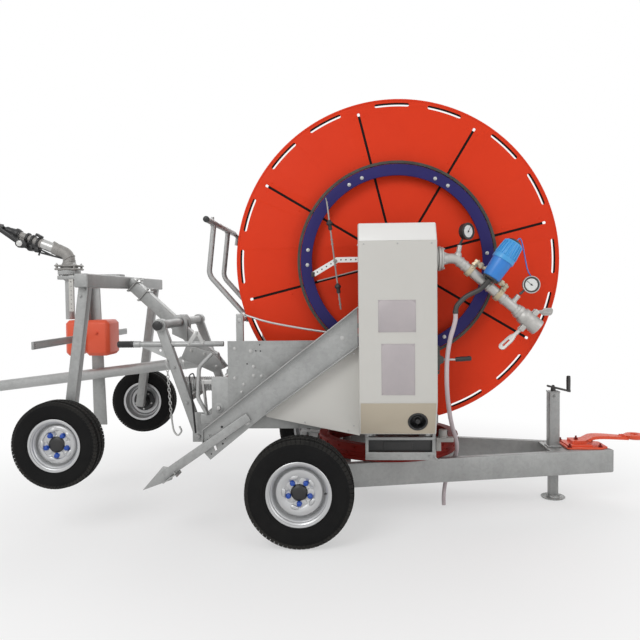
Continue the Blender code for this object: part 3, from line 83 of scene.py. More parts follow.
def rounds(count, phase=0.0):
    """The angles of equal steps round a circle, the first of them given in degrees."""
    return [radians(phase + 360 * step / count) for step in range(count)]


# Studio and camera
EYE = at(0.294, -4.398, 1.368)
YAW, PITCH, ROLL = radians(-2.8), radians(-2.12), radians(-0.59)
LENS = 36.69

# Sizes that the model and this file share
DRUM = at(0.555, 0, 1.565)
SLEW_X = 0.53
POST_Y, CHEEK_Y, ARM_Y = 0.665, 0.72, 0.8
FLANGE_RADIUS = 0.94
FLANGE_INSIDE = 0.55
WOUND_RADIUS = 0.715
PINION_Z = 0.92825
SCREW_X, SCREW_Z = -0.47, 0.7325
GUIDE_ROD_Z = 0.8805
HOOP_X, HOOP_Z = -0.345, 1.235
LIFT_PIVOT = at(-0.635, 0, 0.53)
LIFT_BAR = at(-0.865, 0, 1.2)
RISER_X = -1.64
HOSE_RADIUS = 0.0375
HOSE_TURNS = 13
WHEEL_NUTS = 5
HOSE_LINE_Y, HOSE_LINE_Z = -0.25, 0.8105
RING_Y = -0.606
INLET_Y = -0.785
INLET_BEND = at(0.865, INLET_Y, DRUM.z)
INLET_END = at(1.285, INLET_Y, 1.2)
INLET_RUN = (INLET_END - INLET_BEND).normalized()
INLET_UP = at(-INLET_RUN.z, 0, INLET_RUN.x)
CASING = (0.33, 0.754, -0.87, -0.705, 0.598, 1.76)
UNDERCUT = 0.186
PORT = at(0.65, -0.8295, 0.674)


# Shape making

def fresh():
    return bmesh.new()


def add_object(name, data):
    thing = bpy.data.objects.new(name, data)
    bpy.context.scene.collection.objects.link(thing)
    return thing


def edges_of(verts):
    return list({edge for vert in verts for edge in vert.link_edges})


def soften(shape, verts, bevel, segments=2):
    """Round the edges that belong to these points."""
    if bevel > 0:
        bmesh.ops.bevel(shape, geom=edges_of(verts), offset=bevel, segments=segments, affect="EDGES",
            profile=0.5, material=-1, clamp_overlap=True)


def line_matrix(start, end, side=(0, 1, 0)):
    """A frame at the middle of a line: X along it, Y on the given side."""
    along = (Vector(end) - Vector(start)).normalized()
    up = along.cross(Vector(side)).normalized()
    return frame_of((Vector(start) + Vector(end)) / 2, along, up.cross(along), up)


def block(shape, low, high, bevel=0.003, segments=2):
    low, high = Vector(low), Vector(high)
    made = bmesh.ops.create_cube(shape, size=1)["verts"]
    bmesh.ops.scale(shape, vec=high - low, verts=made)
    bmesh.ops.translate(shape, vec=(low + high) / 2, verts=made)
    soften(shape, made, bevel, segments)


def beam(shape, start, end, width, depth, bevel=0.004, segments=2, side=(0, 1, 0)):
    """A square bar along a line: width on the given side, depth across it."""
    made = bmesh.ops.create_cube(shape, size=1.0)["verts"]
    bmesh.ops.scale(shape, vec=((Vector(end) - Vector(start)).length, width, depth), verts=made)
    bmesh.ops.transform(shape, matrix=line_matrix(start, end, side), verts=made)
    soften(shape, made, bevel, segments)


def round_bar(shape, start, end, radius, sides=28, bevel=0.0, end_radius=None):
    """A round bar or a cone along a line, with its end edges softened if asked."""
    start, end = Vector(start), Vector(end)
    made = bmesh.ops.create_cone(shape, cap_ends=True, segments=sides, radius1=radius,
        radius2=radius if end_radius is None else end_radius, depth=(end - start).length)["verts"]
    along = (end - start).normalized()
    side = (0, 1, 0) if abs(along.y) < 0.9 else (1, 0, 0)
    if bevel:
        rims = [edge for edge in edges_of(made) if abs(edge.verts[0].co.z - edge.verts[1].co.z) < 1e-7]
        out = bmesh.ops.bevel(shape, geom=rims, offset=bevel, segments=2, affect="EDGES", profile=0.5,
            material=-1)
        made = list({vert for vert in made if vert.is_valid} | set(out["verts"]))
    bmesh.ops.transform(shape, matrix=line_matrix(start, end, side) @ spun(90, "Y"), verts=made)


def cross_bar(shape, x, z, y, end_y, *values, **more):
    """A round bar that runs across the machine, from one Y to another."""
    round_bar(shape, (x, y, z), (x, end_y, z), *values, **more)


def hexagon(shape, start, end, radius):
    round_bar(shape, start, end, radius, 6, radius * 0.08)


def bolt(shape, seat, out, size, stub=0.4):
    """A hexagon head on a washer, with the end of its thread."""
    seat, out = Vector(seat), Vector(out).normalized()
    round_bar(shape, seat, seat + out * size * 0.18, size * 1.15, 18)
    hexagon(shape, seat + out * size * 0.18, seat + out * size * 0.95, size * 0.9)
    if stub:
        round_bar(shape, seat + out * size * 0.9, seat + out * size * (0.95 + stub), size * 0.48, 12)


def bolt_circle(shape, centre, out, radius, count, phase, size, stub=0.4):
    """Bolts on a circle round a place, with their heads all one way along X, Y or Z."""
    across = at(0, 1, 0) if out[0] else at(1, 0, 0)
    up = at(0, 1, 0) if out[2] else at(0, 0, 1)
    for turn in rounds(count, phase):
        bolt(shape, Vector(centre) + (across * cos(turn) + up * sin(turn)) * radius, out, size, stub)


def turned(shape, profile, matrix, steps=64):
    """Spin (radius, height) points round the Z axis of a frame."""
    made = [shape.verts.new((radius, 0, height)) for radius, height in profile]
    line = [shape.edges.new(pair) for pair in zip(made, made[1:])]
    before = set(shape.verts) - set(made)
    bmesh.ops.spin(shape, geom=made + line, cent=(0, 0, 0), axis=(0, 0, 1), dvec=(0, 0, 0), angle=2 * pi,
        steps=steps, use_merge=True, use_duplicate=False)
    grown = [vert for vert in shape.verts if vert not in before]
    bmesh.ops.remove_doubles(shape, verts=grown, dist=1e-6)
    grown = [vert for vert in shape.verts if vert not in before]
    bmesh.ops.transform(shape, matrix=matrix, verts=grown)


def prism(shape, outline, thickness, matrix, bevel=0.002, segments=2):
    """A flat outline of points given its thickness, centred on a frame."""
    made = [shape.verts.new((x, y, -thickness / 2)) for x, y in outline]
    face = shape.faces.new(made)
    grown = bmesh.ops.extrude_face_region(shape, geom=[face])["geom"]
    top = [item for item in grown if isinstance(item, bmesh.types.BMVert)]
    bmesh.ops.translate(shape, vec=(0, 0, thickness), verts=top)
    bmesh.ops.transform(shape, matrix=matrix, verts=made + top)
    soften(shape, made + top, bevel, segments)


def take_curve(shape, curve, matrix=None):
    """Add a curve's filled surface to a shape as a welded mesh."""
    thing = add_object("guide", curve)
    bpy.context.view_layer.update()
    graph = bpy.context.evaluated_depsgraph_get()
    mesh = bpy.data.meshes.new_from_object(thing.evaluated_get(graph))
    if matrix is not None:
        mesh.transform(matrix)
    before = set(shape.verts)
    shape.from_mesh(mesh)
    bmesh.ops.remove_doubles(shape, verts=[vert for vert in shape.verts if vert not in before], dist=1e-6)
    bpy.data.objects.remove(thing)
    bpy.data.curves.remove(curve)
    bpy.data.meshes.remove(mesh)


def tube(shape, points, radius, resolution=5):
    """A round tube along points, capped at its ends."""
    curve = bpy.data.curves.new("tube", "CURVE")
    curve.dimensions = "3D"
    curve.bevel_depth = radius
    curve.bevel_resolution = resolution
    curve.use_fill_caps = True
    spline = curve.splines.new("POLY")
    spline.points.add(len(points) - 1)
    for place, point in zip(spline.points, points):
        place.co = (*point, 1)
    take_curve(shape, curve)


def sheet_metal(shape, outlines, thickness, matrix, lip=0):
    """A flat plate cut from outlines: the first is its edge, the others are holes."""
    curve = bpy.data.curves.new("plate", "CURVE")
    curve.dimensions = "2D"
    curve.fill_mode = "BOTH"
    curve.extrude = thickness / 2 - lip
    curve.bevel_depth = lip
    curve.offset = -lip
    for outline in outlines:
        spline = curve.splines.new("POLY")
        spline.points.add(len(outline) - 1)
        spline.use_cyclic_u = True
        for place, (x, y) in zip(spline.points, outline):
            place.co = (x, y, 0, 1)
    take_curve(shape, curve, matrix)


def circle(x, y, radius, sides=32):
    turn = 2 * pi / sides
    return [(x + radius * cos(turn * k), y + radius * sin(turn * k)) for k in range(sides)]


def rounded(corners, radius, steps=8):
    """Points of a path whose inner corners are arcs."""
    corners = [Vector(corner) for corner in corners]
    points = [corners[0]]
    for before, corner, after in zip(corners, corners[1:], corners[2:]):
        back, ahead = (before - corner).normalized(), (after - corner).normalized()
        half = back.angle(ahead) / 2
        centre = corner + (back + ahead).normalized() * (radius / sin(half))
        first = corner + back * radius / tan(half) - centre
        last = corner + ahead * radius / tan(half) - centre
        points += [centre + first.slerp(last, step / steps).normalized() * radius
            for step in range(steps + 1)]
    return points + [corners[-1]]


def smooth_line(anchors, steps=6):
    """Points of a smooth curve through every anchor."""
    anchors = [Vector(point) for point in anchors]
    padded = [anchors[0] * 2 - anchors[1]] + anchors + [anchors[-1] * 2 - anchors[-2]]
    points = []
    for before, start, end, after in zip(padded, padded[1:], padded[2:], padded[3:]):
        for step in range(steps):
            t = step / steps
            points.append(0.5 * (2 * start + (end - before) * t + (2 * before - 5 * start + 4 * end - after) *
                t * t + (3 * start - before - 3 * end + after) * t ** 3))
    return points + [anchors[-1]]


def upright(y):
    """The frame of a plate that stands along the machine at a given Y."""
    return moved(0, y, 0) @ spun(90, "X")


def facing_x(x):
    return moved(x, 0, 0) @ Matrix(((0, 0, 1), (1, 0, 0), (0, 1, 0))).to_4x4()


def outward(x, y, z):
    """A turning frame whose height runs away from the middle plane."""
    turn = 90 if y < 0 else -90
    return moved(x, y, z) @ spun(turn, "X")


def stand_on(place, along):
    """A turning frame at a place whose height runs along a direction."""
    return Matrix.Translation(place) @ Vector(along).to_track_quat("Z", "Y").to_matrix().to_4x4()


def weld_bead(shape, start, end, radius=0.0035, ripple=0.012):
    """A fillet of weld along a joint: a thin bar with shallow ripples."""
    start, end = Vector(start), Vector(end)
    count = max(2, int((end - start).length / ripple))
    points = [start.lerp(end, k / (count * 2)) for k in range(count * 2 + 1)]
    before = set(shape.verts)
    tube(shape, points, radius, 2)
    for vert in set(shape.verts) - before:
        share = (vert.co - start).dot(end - start) / (end - start).length_squared
        centre = start.lerp(end, share)
        vert.co = centre + (vert.co - centre) * (1 + 0.22 * cos(2 * pi * share * count))


def piece(name, shape, body, look, replaces=(), angle=40):
    """Finish a shape as a named piece that rides on a body."""
    bmesh.ops.recalc_face_normals(shape, faces=shape.faces)
    mesh = bpy.data.meshes.new(name)
    shape.to_mesh(mesh)
    shape.free()
    mesh.shade_smooth()
    mesh.set_sharp_from_angle(angle=radians(angle))
    thing = add_object(name, mesh)
    mesh.materials.append(LOOKS[look])
    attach(thing, body)
    if replaces:
        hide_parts(*replaces)
    return thing


# Shared shader groups

def open_group(name, sockets):
    """A node group: its inputs with their defaults, then a colour, a roughness and a height as outputs."""
    group = bpy.data.node_groups.new(name, "ShaderNodeTree")
    for label, value in sockets.items():
        kind = "Vector" if value is None else "Float" if isinstance(value, float) else "Color"
        socket = group.interface.new_socket(label, in_out="INPUT", socket_type=f"NodeSocket{kind}")
        if value is not None:
            socket.default_value = value
    for label, kind in (("Colour", "Color"), ("Roughness", "Float"), ("Height", "Float")):
        group.interface.new_socket(label, in_out="OUTPUT", socket_type=f"NodeSocket{kind}")
    return group, group.nodes.new("NodeGroupInput").outputs, group.nodes.new("NodeGroupOutput").inputs


def node(tree, kind, links=(), **values):
    """Add a node or a shared group, set its properties and sockets by name, and link what feeds it."""
    shared = not isinstance(kind, str)
    made = tree.nodes.new("ShaderNodeGroup" if shared else "ShaderNode" + kind)
    if shared:
        made.node_tree = kind
    for key, value in values.items():
        if key.startswith("p_"):
            setattr(made, key[2:], value)
        else:
            made.inputs[key.replace("_", " ")].default_value = value
    for label, source in dict(links).items():
        tree.links.new(source, made.inputs[label])
    return made


def arithmetic(tree, operation, first, second):
    """A Math node on two sockets or numbers."""
    made = node(tree, "Math", p_operation=operation)
    for index, value in enumerate((first, second)):
        if isinstance(value, float):
            made.inputs[index].default_value = value
        else:
            tree.links.new(value, made.inputs[index])
    return made.outputs[0]


def blend_colour(tree, factor, first, second):
    made = node(tree, "Mix", p_data_type="RGBA")
    for label, value in (("Factor", factor), ("A", first), ("B", second)):
        socket = next((item for item in made.inputs if item.name == label and item.enabled))
        if isinstance(value, bpy.types.NodeSocket):
            tree.links.new(value, socket)
        else:
            socket.default_value = value
    return next((item for item in made.outputs if item.enabled))


def band(tree, source, low, high, out_low=0.0, out_high=1.0):
    """Spread a range of values over another."""
    return node(tree, "MapRange", {"Value": source}, From_Min=low, From_Max=high, To_Min=out_low,
        To_Max=out_high).outputs[0]


def build_weathering():
    """Patches of a second colour, fine grain and dust that gathers low down."""
    group, put, out = open_group("weathering", {"Vector": None, "Colour": (0.5, 0.5, 0.5, 1),
        "Patch Colour": (0.4, 0.4, 0.4, 1), "Dust Colour": (0.42, 0.38, 0.32, 1), "Patch Scale": 4.0,
        "Patch Amount": 0.5, "Grain Scale": 180.0, "Grain Amount": 0.08, "Dust Amount": 0.2,
        "Roughness": 0.5, "Roughness Spread": 0.1})
    where = put["Vector"]
    patches = node(group, "TexNoise", {"Vector": where, "Scale": put["Patch Scale"]}, Detail=5,
        Roughness=0.62)
    grain = node(group, "TexNoise", {"Vector": where, "Scale": put["Grain Scale"]}, Detail=2)
    amount = arithmetic(group, "MULTIPLY", band(group, patches.outputs[0], 0.36, 0.66), put["Patch Amount"])
    tinted = blend_colour(group, amount, put["Colour"], put["Patch Colour"])
    uneven = arithmetic(group, "SUBTRACT", grain.outputs[0], 0.5)
    shade = arithmetic(group, "ADD", arithmetic(group, "MULTIPLY", uneven, put["Grain Amount"]), 1.0)
    grained = node(group, "VectorMath", {0: tinted, "Scale": shade}, p_operation="SCALE")
    low_down = band(group, node(group, "SeparateXYZ", {"Vector": where}).outputs[2], 0.95, 0.05, 0.25)
    speck = node(group, "TexNoise", {"Vector": where}, Scale=9, Detail=8, Roughness=0.7)
    dust = arithmetic(group, "MULTIPLY", band(group, speck.outputs[0], 0.4, 0.75), low_down)
    dust = arithmetic(group, "MULTIPLY", dust, put["Dust Amount"])
    group.links.new(blend_colour(group, dust, grained.outputs[0], put["Dust Colour"]), out["Colour"])
    patchy = arithmetic(group, "SUBTRACT", patches.outputs[0], 0.5)
    rough = arithmetic(group, "ADD", put["Roughness"], arithmetic(group, "MULTIPLY", patchy,
        put["Roughness Spread"]))
    group.links.new(arithmetic(group, "ADD", rough, arithmetic(group, "MULTIPLY", dust, 0.3)),
        out["Roughness"])
    group.links.new(grain.outputs[0], out["Height"])
    return group


def build_spangle():
    """Zinc crystals: small cells whose brightness and gloss differ, with dull drip marks over them."""
    group, put, out = open_group("spangle", {"Vector": None, "Colour": (0.5, 0.5, 0.5, 1), "Scale": 70.0,
        "Amount": 0.1, "Roughness": 0.5})
    where = put["Vector"]
    bend = node(group, "TexNoise", {"Vector": where}, Scale=30, Detail=2)
    warped = blend_colour(group, 0.03, where, bend.outputs["Color"])
    cells = node(group, "TexVoronoi", {"Vector": warped, "Scale": put["Scale"]})
    tone = node(group, "SeparateColor", {"Color": cells.outputs["Color"]})
    offset = arithmetic(group, "SUBTRACT", tone.outputs[0], 0.5)
    streaks = node(group, "Mapping", {"Vector": where}, Scale=(9, 9, 1.6))
    drips = node(group, "TexNoise", {"Vector": streaks.outputs[0]}, Scale=2.2, Detail=6, Roughness=0.6)
    run = arithmetic(group, "SUBTRACT", drips.outputs[0], 0.5)
    shade = arithmetic(group, "ADD", arithmetic(group, "MULTIPLY", run, 0.32), 1.0)
    shade = arithmetic(group, "ADD", arithmetic(group, "MULTIPLY", offset, put["Amount"]), shade)
    toned = node(group, "VectorMath", {0: put["Colour"], "Scale": shade}, p_operation="SCALE")
    group.links.new(toned.outputs[0], out["Colour"])
    rough = arithmetic(group, "MULTIPLY", arithmetic(group, "ADD", offset, run), 0.22)
    group.links.new(arithmetic(group, "ADD", put["Roughness"], rough), out["Roughness"])
    group.links.new(cells.outputs[0], out["Height"])
    return group


def build_scuffs():
    """Thin bright scratches in two directions, as a mask."""
    group, put, out = open_group("scuffs", {"Vector": None, "Scale": 3.0})
    masks = []
    for turn, cut in ((0.5, 0.7), (-0.9, 0.715)):
        turned_to = node(group, "Mapping", {"Vector": put["Vector"]}, Rotation=(turn, turn * 0.6, turn),
            Scale=(1, 22, 1))
        lines = node(group, "TexNoise", {"Vector": turned_to.outputs[0], "Scale": put["Scale"]}, Detail=3)
        masks.append(band(group, lines.outputs[0], cut, cut + 0.03))
    group.links.new(arithmetic(group, "MAXIMUM", *masks), out["Height"])
    return group


WEATHERING = build_weathering()
SPANGLE = build_spangle()
SCUFFS = build_scuffs()


def rgb(colour, scale=1):
    return (*[min(1, part * scale) for part in colour], 1)


def make_look(name, colour, rough, metallic, patch, patch_scale, patch_amount, grain, grain_scale, dust,
        spread=0.12, spangle=0.0, scuffs=0.0, bump=0.04, coat=0.0, specular=0.5):
    """A finish: its plain colour under weathering, with zinc crystals or scratches where it has them."""
    material = bpy.data.materials.new(name)
    material.use_nodes = True
    tree = material.node_tree
    where = node(tree, "TexCoord").outputs["Object"]
    base = node(tree, WEATHERING, {"Vector": where}, Colour=rgb(colour),
        Patch_Colour=rgb(patch or colour, 1.0 if patch else 0.8), Patch_Scale=patch_scale,
        Patch_Amount=patch_amount, Grain_Scale=grain_scale, Grain_Amount=grain, Dust_Amount=dust,
        Roughness=rough, Roughness_Spread=spread).outputs
    colour_out, rough_out = base["Colour"], base["Roughness"]
    if spangle:
        zinc = node(tree, SPANGLE, {"Vector": where, "Colour": colour_out, "Roughness": rough_out},
            Amount=spangle)
        colour_out, rough_out = zinc.outputs["Colour"], zinc.outputs["Roughness"]
    if scuffs:
        marks = node(tree, SCUFFS, {"Vector": where})
        strength = arithmetic(tree, "MULTIPLY", marks.outputs["Height"], scuffs)
        colour_out = blend_colour(tree, strength, colour_out, rgb(colour, 1.9))
    relief = node(tree, "Bump", {"Height": base["Height"]}, Strength=bump, Distance=0.002)
    shader = tree.nodes["Principled BSDF"].inputs
    for label, source in (("Base Color", colour_out), ("Roughness", rough_out),
            ("Normal", relief.outputs[0])):
        tree.links.new(source, shader[label])
    for label, value in (("Metallic", metallic), ("Coat Weight", coat), ("Coat Roughness", 0.18),
            ("Specular IOR Level", specular)):
        shader[label].default_value = value
    return material


def add_look(key, slot, *values, **more):
    LOOKS[key] = make_look(*values, **more)
    SLOTS[key] = slot


LOOKS, SLOTS = {}, {}
add_look("galvanised", "galvanised", "galvanised steel", (0.385, 0.39, 0.385), 0.5, 0.5, (0.3, 0.305, 0.3),
    5, 0.45, 0.1, 260, 0.05, 0.14, spangle=0.16, bump=0.05)
add_look("galvanised_tube", "galvanised", "galvanised tube", (0.44, 0.445, 0.44), 0.46, 0.5,
    (0.35, 0.355, 0.35), 7, 0.4, 0.1, 260, 0.03, 0.16, spangle=0.12, bump=0.04)
add_look("drum_red", "drum_red", "drum paint", (0.76, 0.043, 0.008), 0.54, 0, (0.66, 0.031, 0.006), 2.2,
    0.35, 0.03, 400, 0.015, 0.1, bump=0.02, coat=0.02, specular=0.18)
add_look("ring_red", "drum_red", "slewing ring paint", (0.23, 0.012, 0.008), 0.55, 0, (0.15, 0.012, 0.008),
    4, 0.5, 0.05, 300, 0.05, 0.12, bump=0.03, specular=0.15)
add_look("hitch_orange", "hitch_orange", "hitch paint", (0.84, 0.11, 0.046), 0.42, 0, (0.72, 0.075, 0.028),
    6, 0.4, 0.05, 300, 0.03, 0.12, scuffs=0.12, bump=0.05, coat=0.04, specular=0.35)
add_look("weight_orange", "hitch_orange", "weight paint", (0.83, 0.115, 0.048), 0.42, 0, (0.76, 0.085, 0.03),
    5, 0.5, 0.05, 240, 0.02, 0.12, scuffs=0.1, bump=0.06, coat=0.08)
add_look("casing_white", "casing_white", "casing cover", (0.635, 0.625, 0.59), 0.42, 0, (0.59, 0.58, 0.545),
    1.6, 0.5, 0.02, 500, 0.04, 0.08, bump=0.02, coat=0.06)
# A lighter white than the cover. On the hood over the casing's sloping edge and top it is painted light on
# the faces turned up to the lamps; the shut-off strap uses it too.
add_look("hood_white", "casing_white", "casing hood", (0.86, 0.855, 0.835), 0.4, 0, (0.82, 0.81, 0.79), 1.6,
    0.5, 0.02, 500, 0.02, 0.08, bump=0.02, coat=0.06)
add_look("panel_beige", "casing_white", "casing lower panel", (0.52, 0.46, 0.36), 0.5, 0, (0.45, 0.39, 0.3),
    2, 0.5, 0.03, 400, 0.08, 0.08, bump=0.02)
add_look("plate_grey", "casing_white", "bare plate", (0.47, 0.43, 0.44), 0.4, 0.25, (0.4, 0.37, 0.385), 6,
    0.5, 0.06, 300, 0.02, 0.15, bump=0.03)
add_look("ring_blue", "ring_blue", "drive ring paint", (0.018, 0.012, 0.125), 0.44, 0, (0.012, 0.009, 0.085),
    3.5, 0.5, 0.05, 300, 0.01, 0.14, scuffs=0.05, bump=0.03, coat=0.04, specular=0.25)
add_look("valve_blue", "valve_blue", "valve plastic", (0.035, 0.24, 0.7), 0.34, 0, (0.03, 0.2, 0.6), 6, 0.4,
    0.03, 420, 0.02, 0.1, bump=0.02)
add_look("cap_blue", "valve_blue", "valve cap plastic", (0.07, 0.38, 0.78), 0.36, 0, (0.05, 0.31, 0.68), 6,
    0.4, 0.03, 420, 0.02, 0.1, bump=0.02)
add_look("nut_blue", "valve_blue", "nut cover plastic", (0.012, 0.075, 0.43), 0.34, 0, None, 8, 0.4, 0.03,
    300, 0.02)
add_look("chain_olive", "chain_olive", "oiled chain", (0.07, 0.068, 0.058), 0.5, 0.6, (0.04, 0.038, 0.032),
    14, 0.7, 0.2, 150, 0.1, 0.2, bump=0.08)
add_look("tyre", "tyre", "tyre rubber", (0.0095, 0.0095, 0.0098), 0.78, 0, (0.015, 0.015, 0.015), 5, 0.6,
    0.2, 220, 0.012, 0.12, bump=0.1, specular=0.1)
add_look("tread", "tyre", "tyre tread", (0.017, 0.017, 0.0165), 0.8, 0, (0.026, 0.025, 0.024), 7, 0.6, 0.2,
    220, 0.06, 0.14, bump=0.12, specular=0.14)
add_look("hose_black", "hose_black", "polyethylene hose", (0.017, 0.017, 0.018), 0.42, 0,
    (0.028, 0.027, 0.026), 3, 0.6, 0.1, 160, 0.1, 0.18, scuffs=0.1, bump=0.04)
add_look("black_plastic", "black_plastic", "black plastic", (0.016, 0.016, 0.017), 0.42, 0,
    (0.026, 0.026, 0.026), 8, 0.5, 0.1, 300, 0.03, 0.14, bump=0.05)
add_look("rim_silver", "rim_silver", "rim paint", (0.55, 0.555, 0.56), 0.34, 0.55, (0.46, 0.465, 0.47), 5,
    0.4, 0.05, 300, 0.05, 0.14, bump=0.03, coat=0.1)
add_look("bright_steel", "rim_silver", "plated steel", (0.5, 0.5, 0.49), 0.34, 0.75, (0.44, 0.44, 0.43), 12,
    0.5, 0.08, 300, 0.04, 0.18, bump=0.04)
add_look("dark_steel", "chain_olive", "dark steel", (0.075, 0.074, 0.072), 0.5, 0.6, (0.05, 0.05, 0.05), 10,
    0.5, 0.12, 240, 0.12, 0.16, bump=0.06)
add_look("aluminium", "aluminium", "cast aluminium", (0.5, 0.49, 0.47), 0.46, 0.6, (0.4, 0.39, 0.37), 8, 0.5,
    0.12, 420, 0.03, 0.18, bump=0.1)
add_look("cast_grey", "aluminium", "dull casting", (0.335, 0.325, 0.31), 0.58, 0.35, (0.27, 0.26, 0.245), 9,
    0.5, 0.12, 420, 0.06, 0.14, bump=0.12)
add_look("brass", "brass", "cast brass", (0.56, 0.49, 0.36), 0.42, 0.55, (0.42, 0.35, 0.23), 12, 0.6, 0.12,
    380, 0.05, 0.18, bump=0.1)
add_look("drain_grey", "drain_grey", "drain hose", (0.6, 0.52, 0.54), 0.45, 0, (0.5, 0.43, 0.45), 6, 0.5,
    0.05, 260, 0.08, 0.1, bump=0.03)
add_look("dial_white", "casing_white", "dial face", (0.78, 0.78, 0.76), 0.3, 0, None, 6, 0.15, 0.01, 260,
    0.01, coat=0.5)
NODE_LOOKS = {"tyre": "tyre", "rim": "rim_silver", "slew": "ring_red", "drum_": "drum_red",
    "drum_axle": "galvanised", "hose": "hose_black", "hose_guide": "galvanised", "casing": "casing_white",
    "drive_ring": "ring_blue", "drive_chain": "chain_olive", "drive_pinion": "chain_olive",
    "drive_gearbox": "dark_steel", "water_turbine": "aluminium", "inlet": "aluminium", "bypass": "brass",
    "control_valve": "valve_blue", "pressure": "black_plastic", "gear_lever": "black_plastic",
    "cam_": "aluminium", "tow": "hitch_orange", "counterweight_left": "weight_orange",
    "counterweight_right": "weight_orange", "gun_": "black_plastic", "gun_body": "aluminium",
    "drain": "drain_grey", "draw": "galvanised_tube", "lead_screw": "bright_steel",
    "guard": "galvanised_tube"}


def dress_nodes():
    """Give every node of the model its finish, also those that a finer piece stands for."""
    for name, thing in NODES.items():
        look = "galvanised"
        for key, value in NODE_LOOKS.items():
            if key in name:
                look = value
        thing.data.materials.clear()
        thing.data.materials.append(LOOKS[look])


# The studio

def seen_rays(tree):
    """A mask of the rays that show the white surroundings: straight, mirrored or through glass."""
    rays = node(tree, "LightPath").outputs
    through = arithmetic(tree, "MAXIMUM", rays["Is Transmission Ray"], rays["Is Glossy Ray"])
    return arithmetic(tree, "MAXIMUM", rays["Is Camera Ray"], through)


def build_floor():
    """A sheet of pale paper that fades to plain white away from the machine."""
    shape = fresh()
    made = bmesh.ops.create_grid(shape, x_segments=1, y_segments=1, size=30.0)["verts"]
    bmesh.ops.translate(shape, vec=(0, 0, -0.0005), verts=made)
    mesh = bpy.data.meshes.new("studio_floor")
    shape.to_mesh(mesh)
    shape.free()
    floor = add_object("studio_floor", mesh)
    material = bpy.data.materials.new("studio paper")
    material.use_nodes = True
    tree = material.node_tree
    shader = tree.nodes["Principled BSDF"]
    for label, value in (("Base Color", (0.88, 0.88, 0.88, 1)), ("Roughness", 0.9),
            ("Specular IOR Level", 0.1)):
        shader.inputs[label].default_value = value
    reach = node(tree, "VectorMath", {0: node(tree, "TexCoord").outputs["Object"]}, p_operation="LENGTH")
    away = node(tree, "MapRange", {"Value": reach.outputs["Value"]}, p_interpolation_type="SMOOTHSTEP",
        From_Min=1.2, From_Max=3.6, To_Min=0.5)
    paper = node(tree, "Emission", Color=(1, 1, 1, 1), Strength=1)
    share = arithmetic(tree, "MULTIPLY", away.outputs[0], seen_rays(tree))
    fade = node(tree, "MixShader", {0: share, 1: shader.outputs[0], 2: paper.outputs[0]})
    tree.links.new(fade.outputs[0], tree.nodes["Material Output"].inputs[0])
    mesh.materials.append(material)


def build_studio():
    """The floor, the white surroundings that light softly, and three lamps."""
    build_floor()
    world = bpy.data.worlds.new("studio")
    bpy.context.scene.world = world
    world.use_nodes = True
    tree = world.node_tree
    tree.nodes.clear()
    soft, white = (node(tree, "Background", Color=(1, 1, 1, 1), Strength=power).outputs[0]
        for power in (0.47, 1))
    mix = node(tree, "MixShader", {0: seen_rays(tree), 1: soft, 2: white})
    node(tree, "OutputWorld", {0: mix.outputs[0]})
    for name, place, size, power in (("key", (-3.2, -6.5, 6), 4, 225), ("fill", (5.5, -5, 3.2), 4, 75),
            ("back", (0.5, 6, 6), 5, 170)):
        lamp = bpy.data.lights.new(name, "AREA")
        lamp.size, lamp.energy = size, power
        thing = add_object(name, lamp)
        thing.location = place
        thing.rotation_euler = (at(0.2, 0, 1) - Vector(place)).to_track_quat("-Z", "Y").to_euler()
    bpy.context.scene.view_settings.view_transform = "Standard"


def place_camera():
    camera = bpy.data.cameras.new("camera")
    camera.lens = LENS
    camera.sensor_width = 36
    thing = add_object("camera", camera)
    ahead = at(sin(YAW) * cos(PITCH), cos(YAW) * cos(PITCH), sin(PITCH))
    right = at(cos(YAW), -sin(YAW), 0)
    up = right.cross(ahead)
    across = right * cos(ROLL) + up * sin(ROLL)
    upward = up * cos(ROLL) - right * sin(ROLL)
    thing.matrix_world = frame_of(EYE, across, upward, -ahead)
    bpy.context.scene.camera = thing


def carve(shape, cutters):
    """Cut shapes from a shape, and give back the result as a new shape."""
    helpers = []
    for item in (shape, *cutters):
        bmesh.ops.recalc_face_normals(item, faces=item.faces)
        mesh = bpy.data.meshes.new("carve")
        item.to_mesh(mesh)
        item.free()
        helpers.append(add_object("carve", mesh))
    for cutter in helpers[1:]:
        step = helpers[0].modifiers.new("cut", "BOOLEAN")
        step.operation = "DIFFERENCE"
        step.solver = "EXACT"
        step.use_self = cutter is helpers[1]
        step.object = cutter
    bpy.context.view_layer.update()
    graph = bpy.context.evaluated_depsgraph_get()
    made = bpy.data.meshes.new_from_object(helpers[0].evaluated_get(graph))
    result = fresh()
    result.from_mesh(made)
    for thing in helpers:
        mesh = thing.data
        bpy.data.objects.remove(thing)
        bpy.data.meshes.remove(mesh)
    bpy.data.meshes.remove(made)
    return result


# Road wheels

def tread_blocks(shape, place, radius, half, count):
    """Blocks of tread: shoulder lugs on both edges and two ribs of slanted blocks between."""
    rows = ((half * 0.78, half * 0.3, 0, 0.1), (-half * 0.78, half * 0.3, 0.5, -0.1),
        (half * 0.27, half * 0.38, 0.25, 0.3), (-half * 0.27, half * 0.38, 0.75, -0.3))
    length = 2 * pi * radius / count * 0.86
    for height, width, shift, slant in rows:
        sink = 0.01 if abs(height) < half * 0.5 else 0.0155
        for index in range(count):
            turn = 2 * pi * (index + shift) / count
            made = bmesh.ops.create_cube(shape, size=1)["verts"]
            bmesh.ops.scale(shape, vec=(0.02, length, width), verts=made)
            stand = Matrix.Rotation(turn, 4, "Z") @ moved(radius - sink, 0, height)
            bmesh.ops.transform(shape, matrix=place @ stand @ Matrix.Rotation(slant, 4, "X"), verts=made)


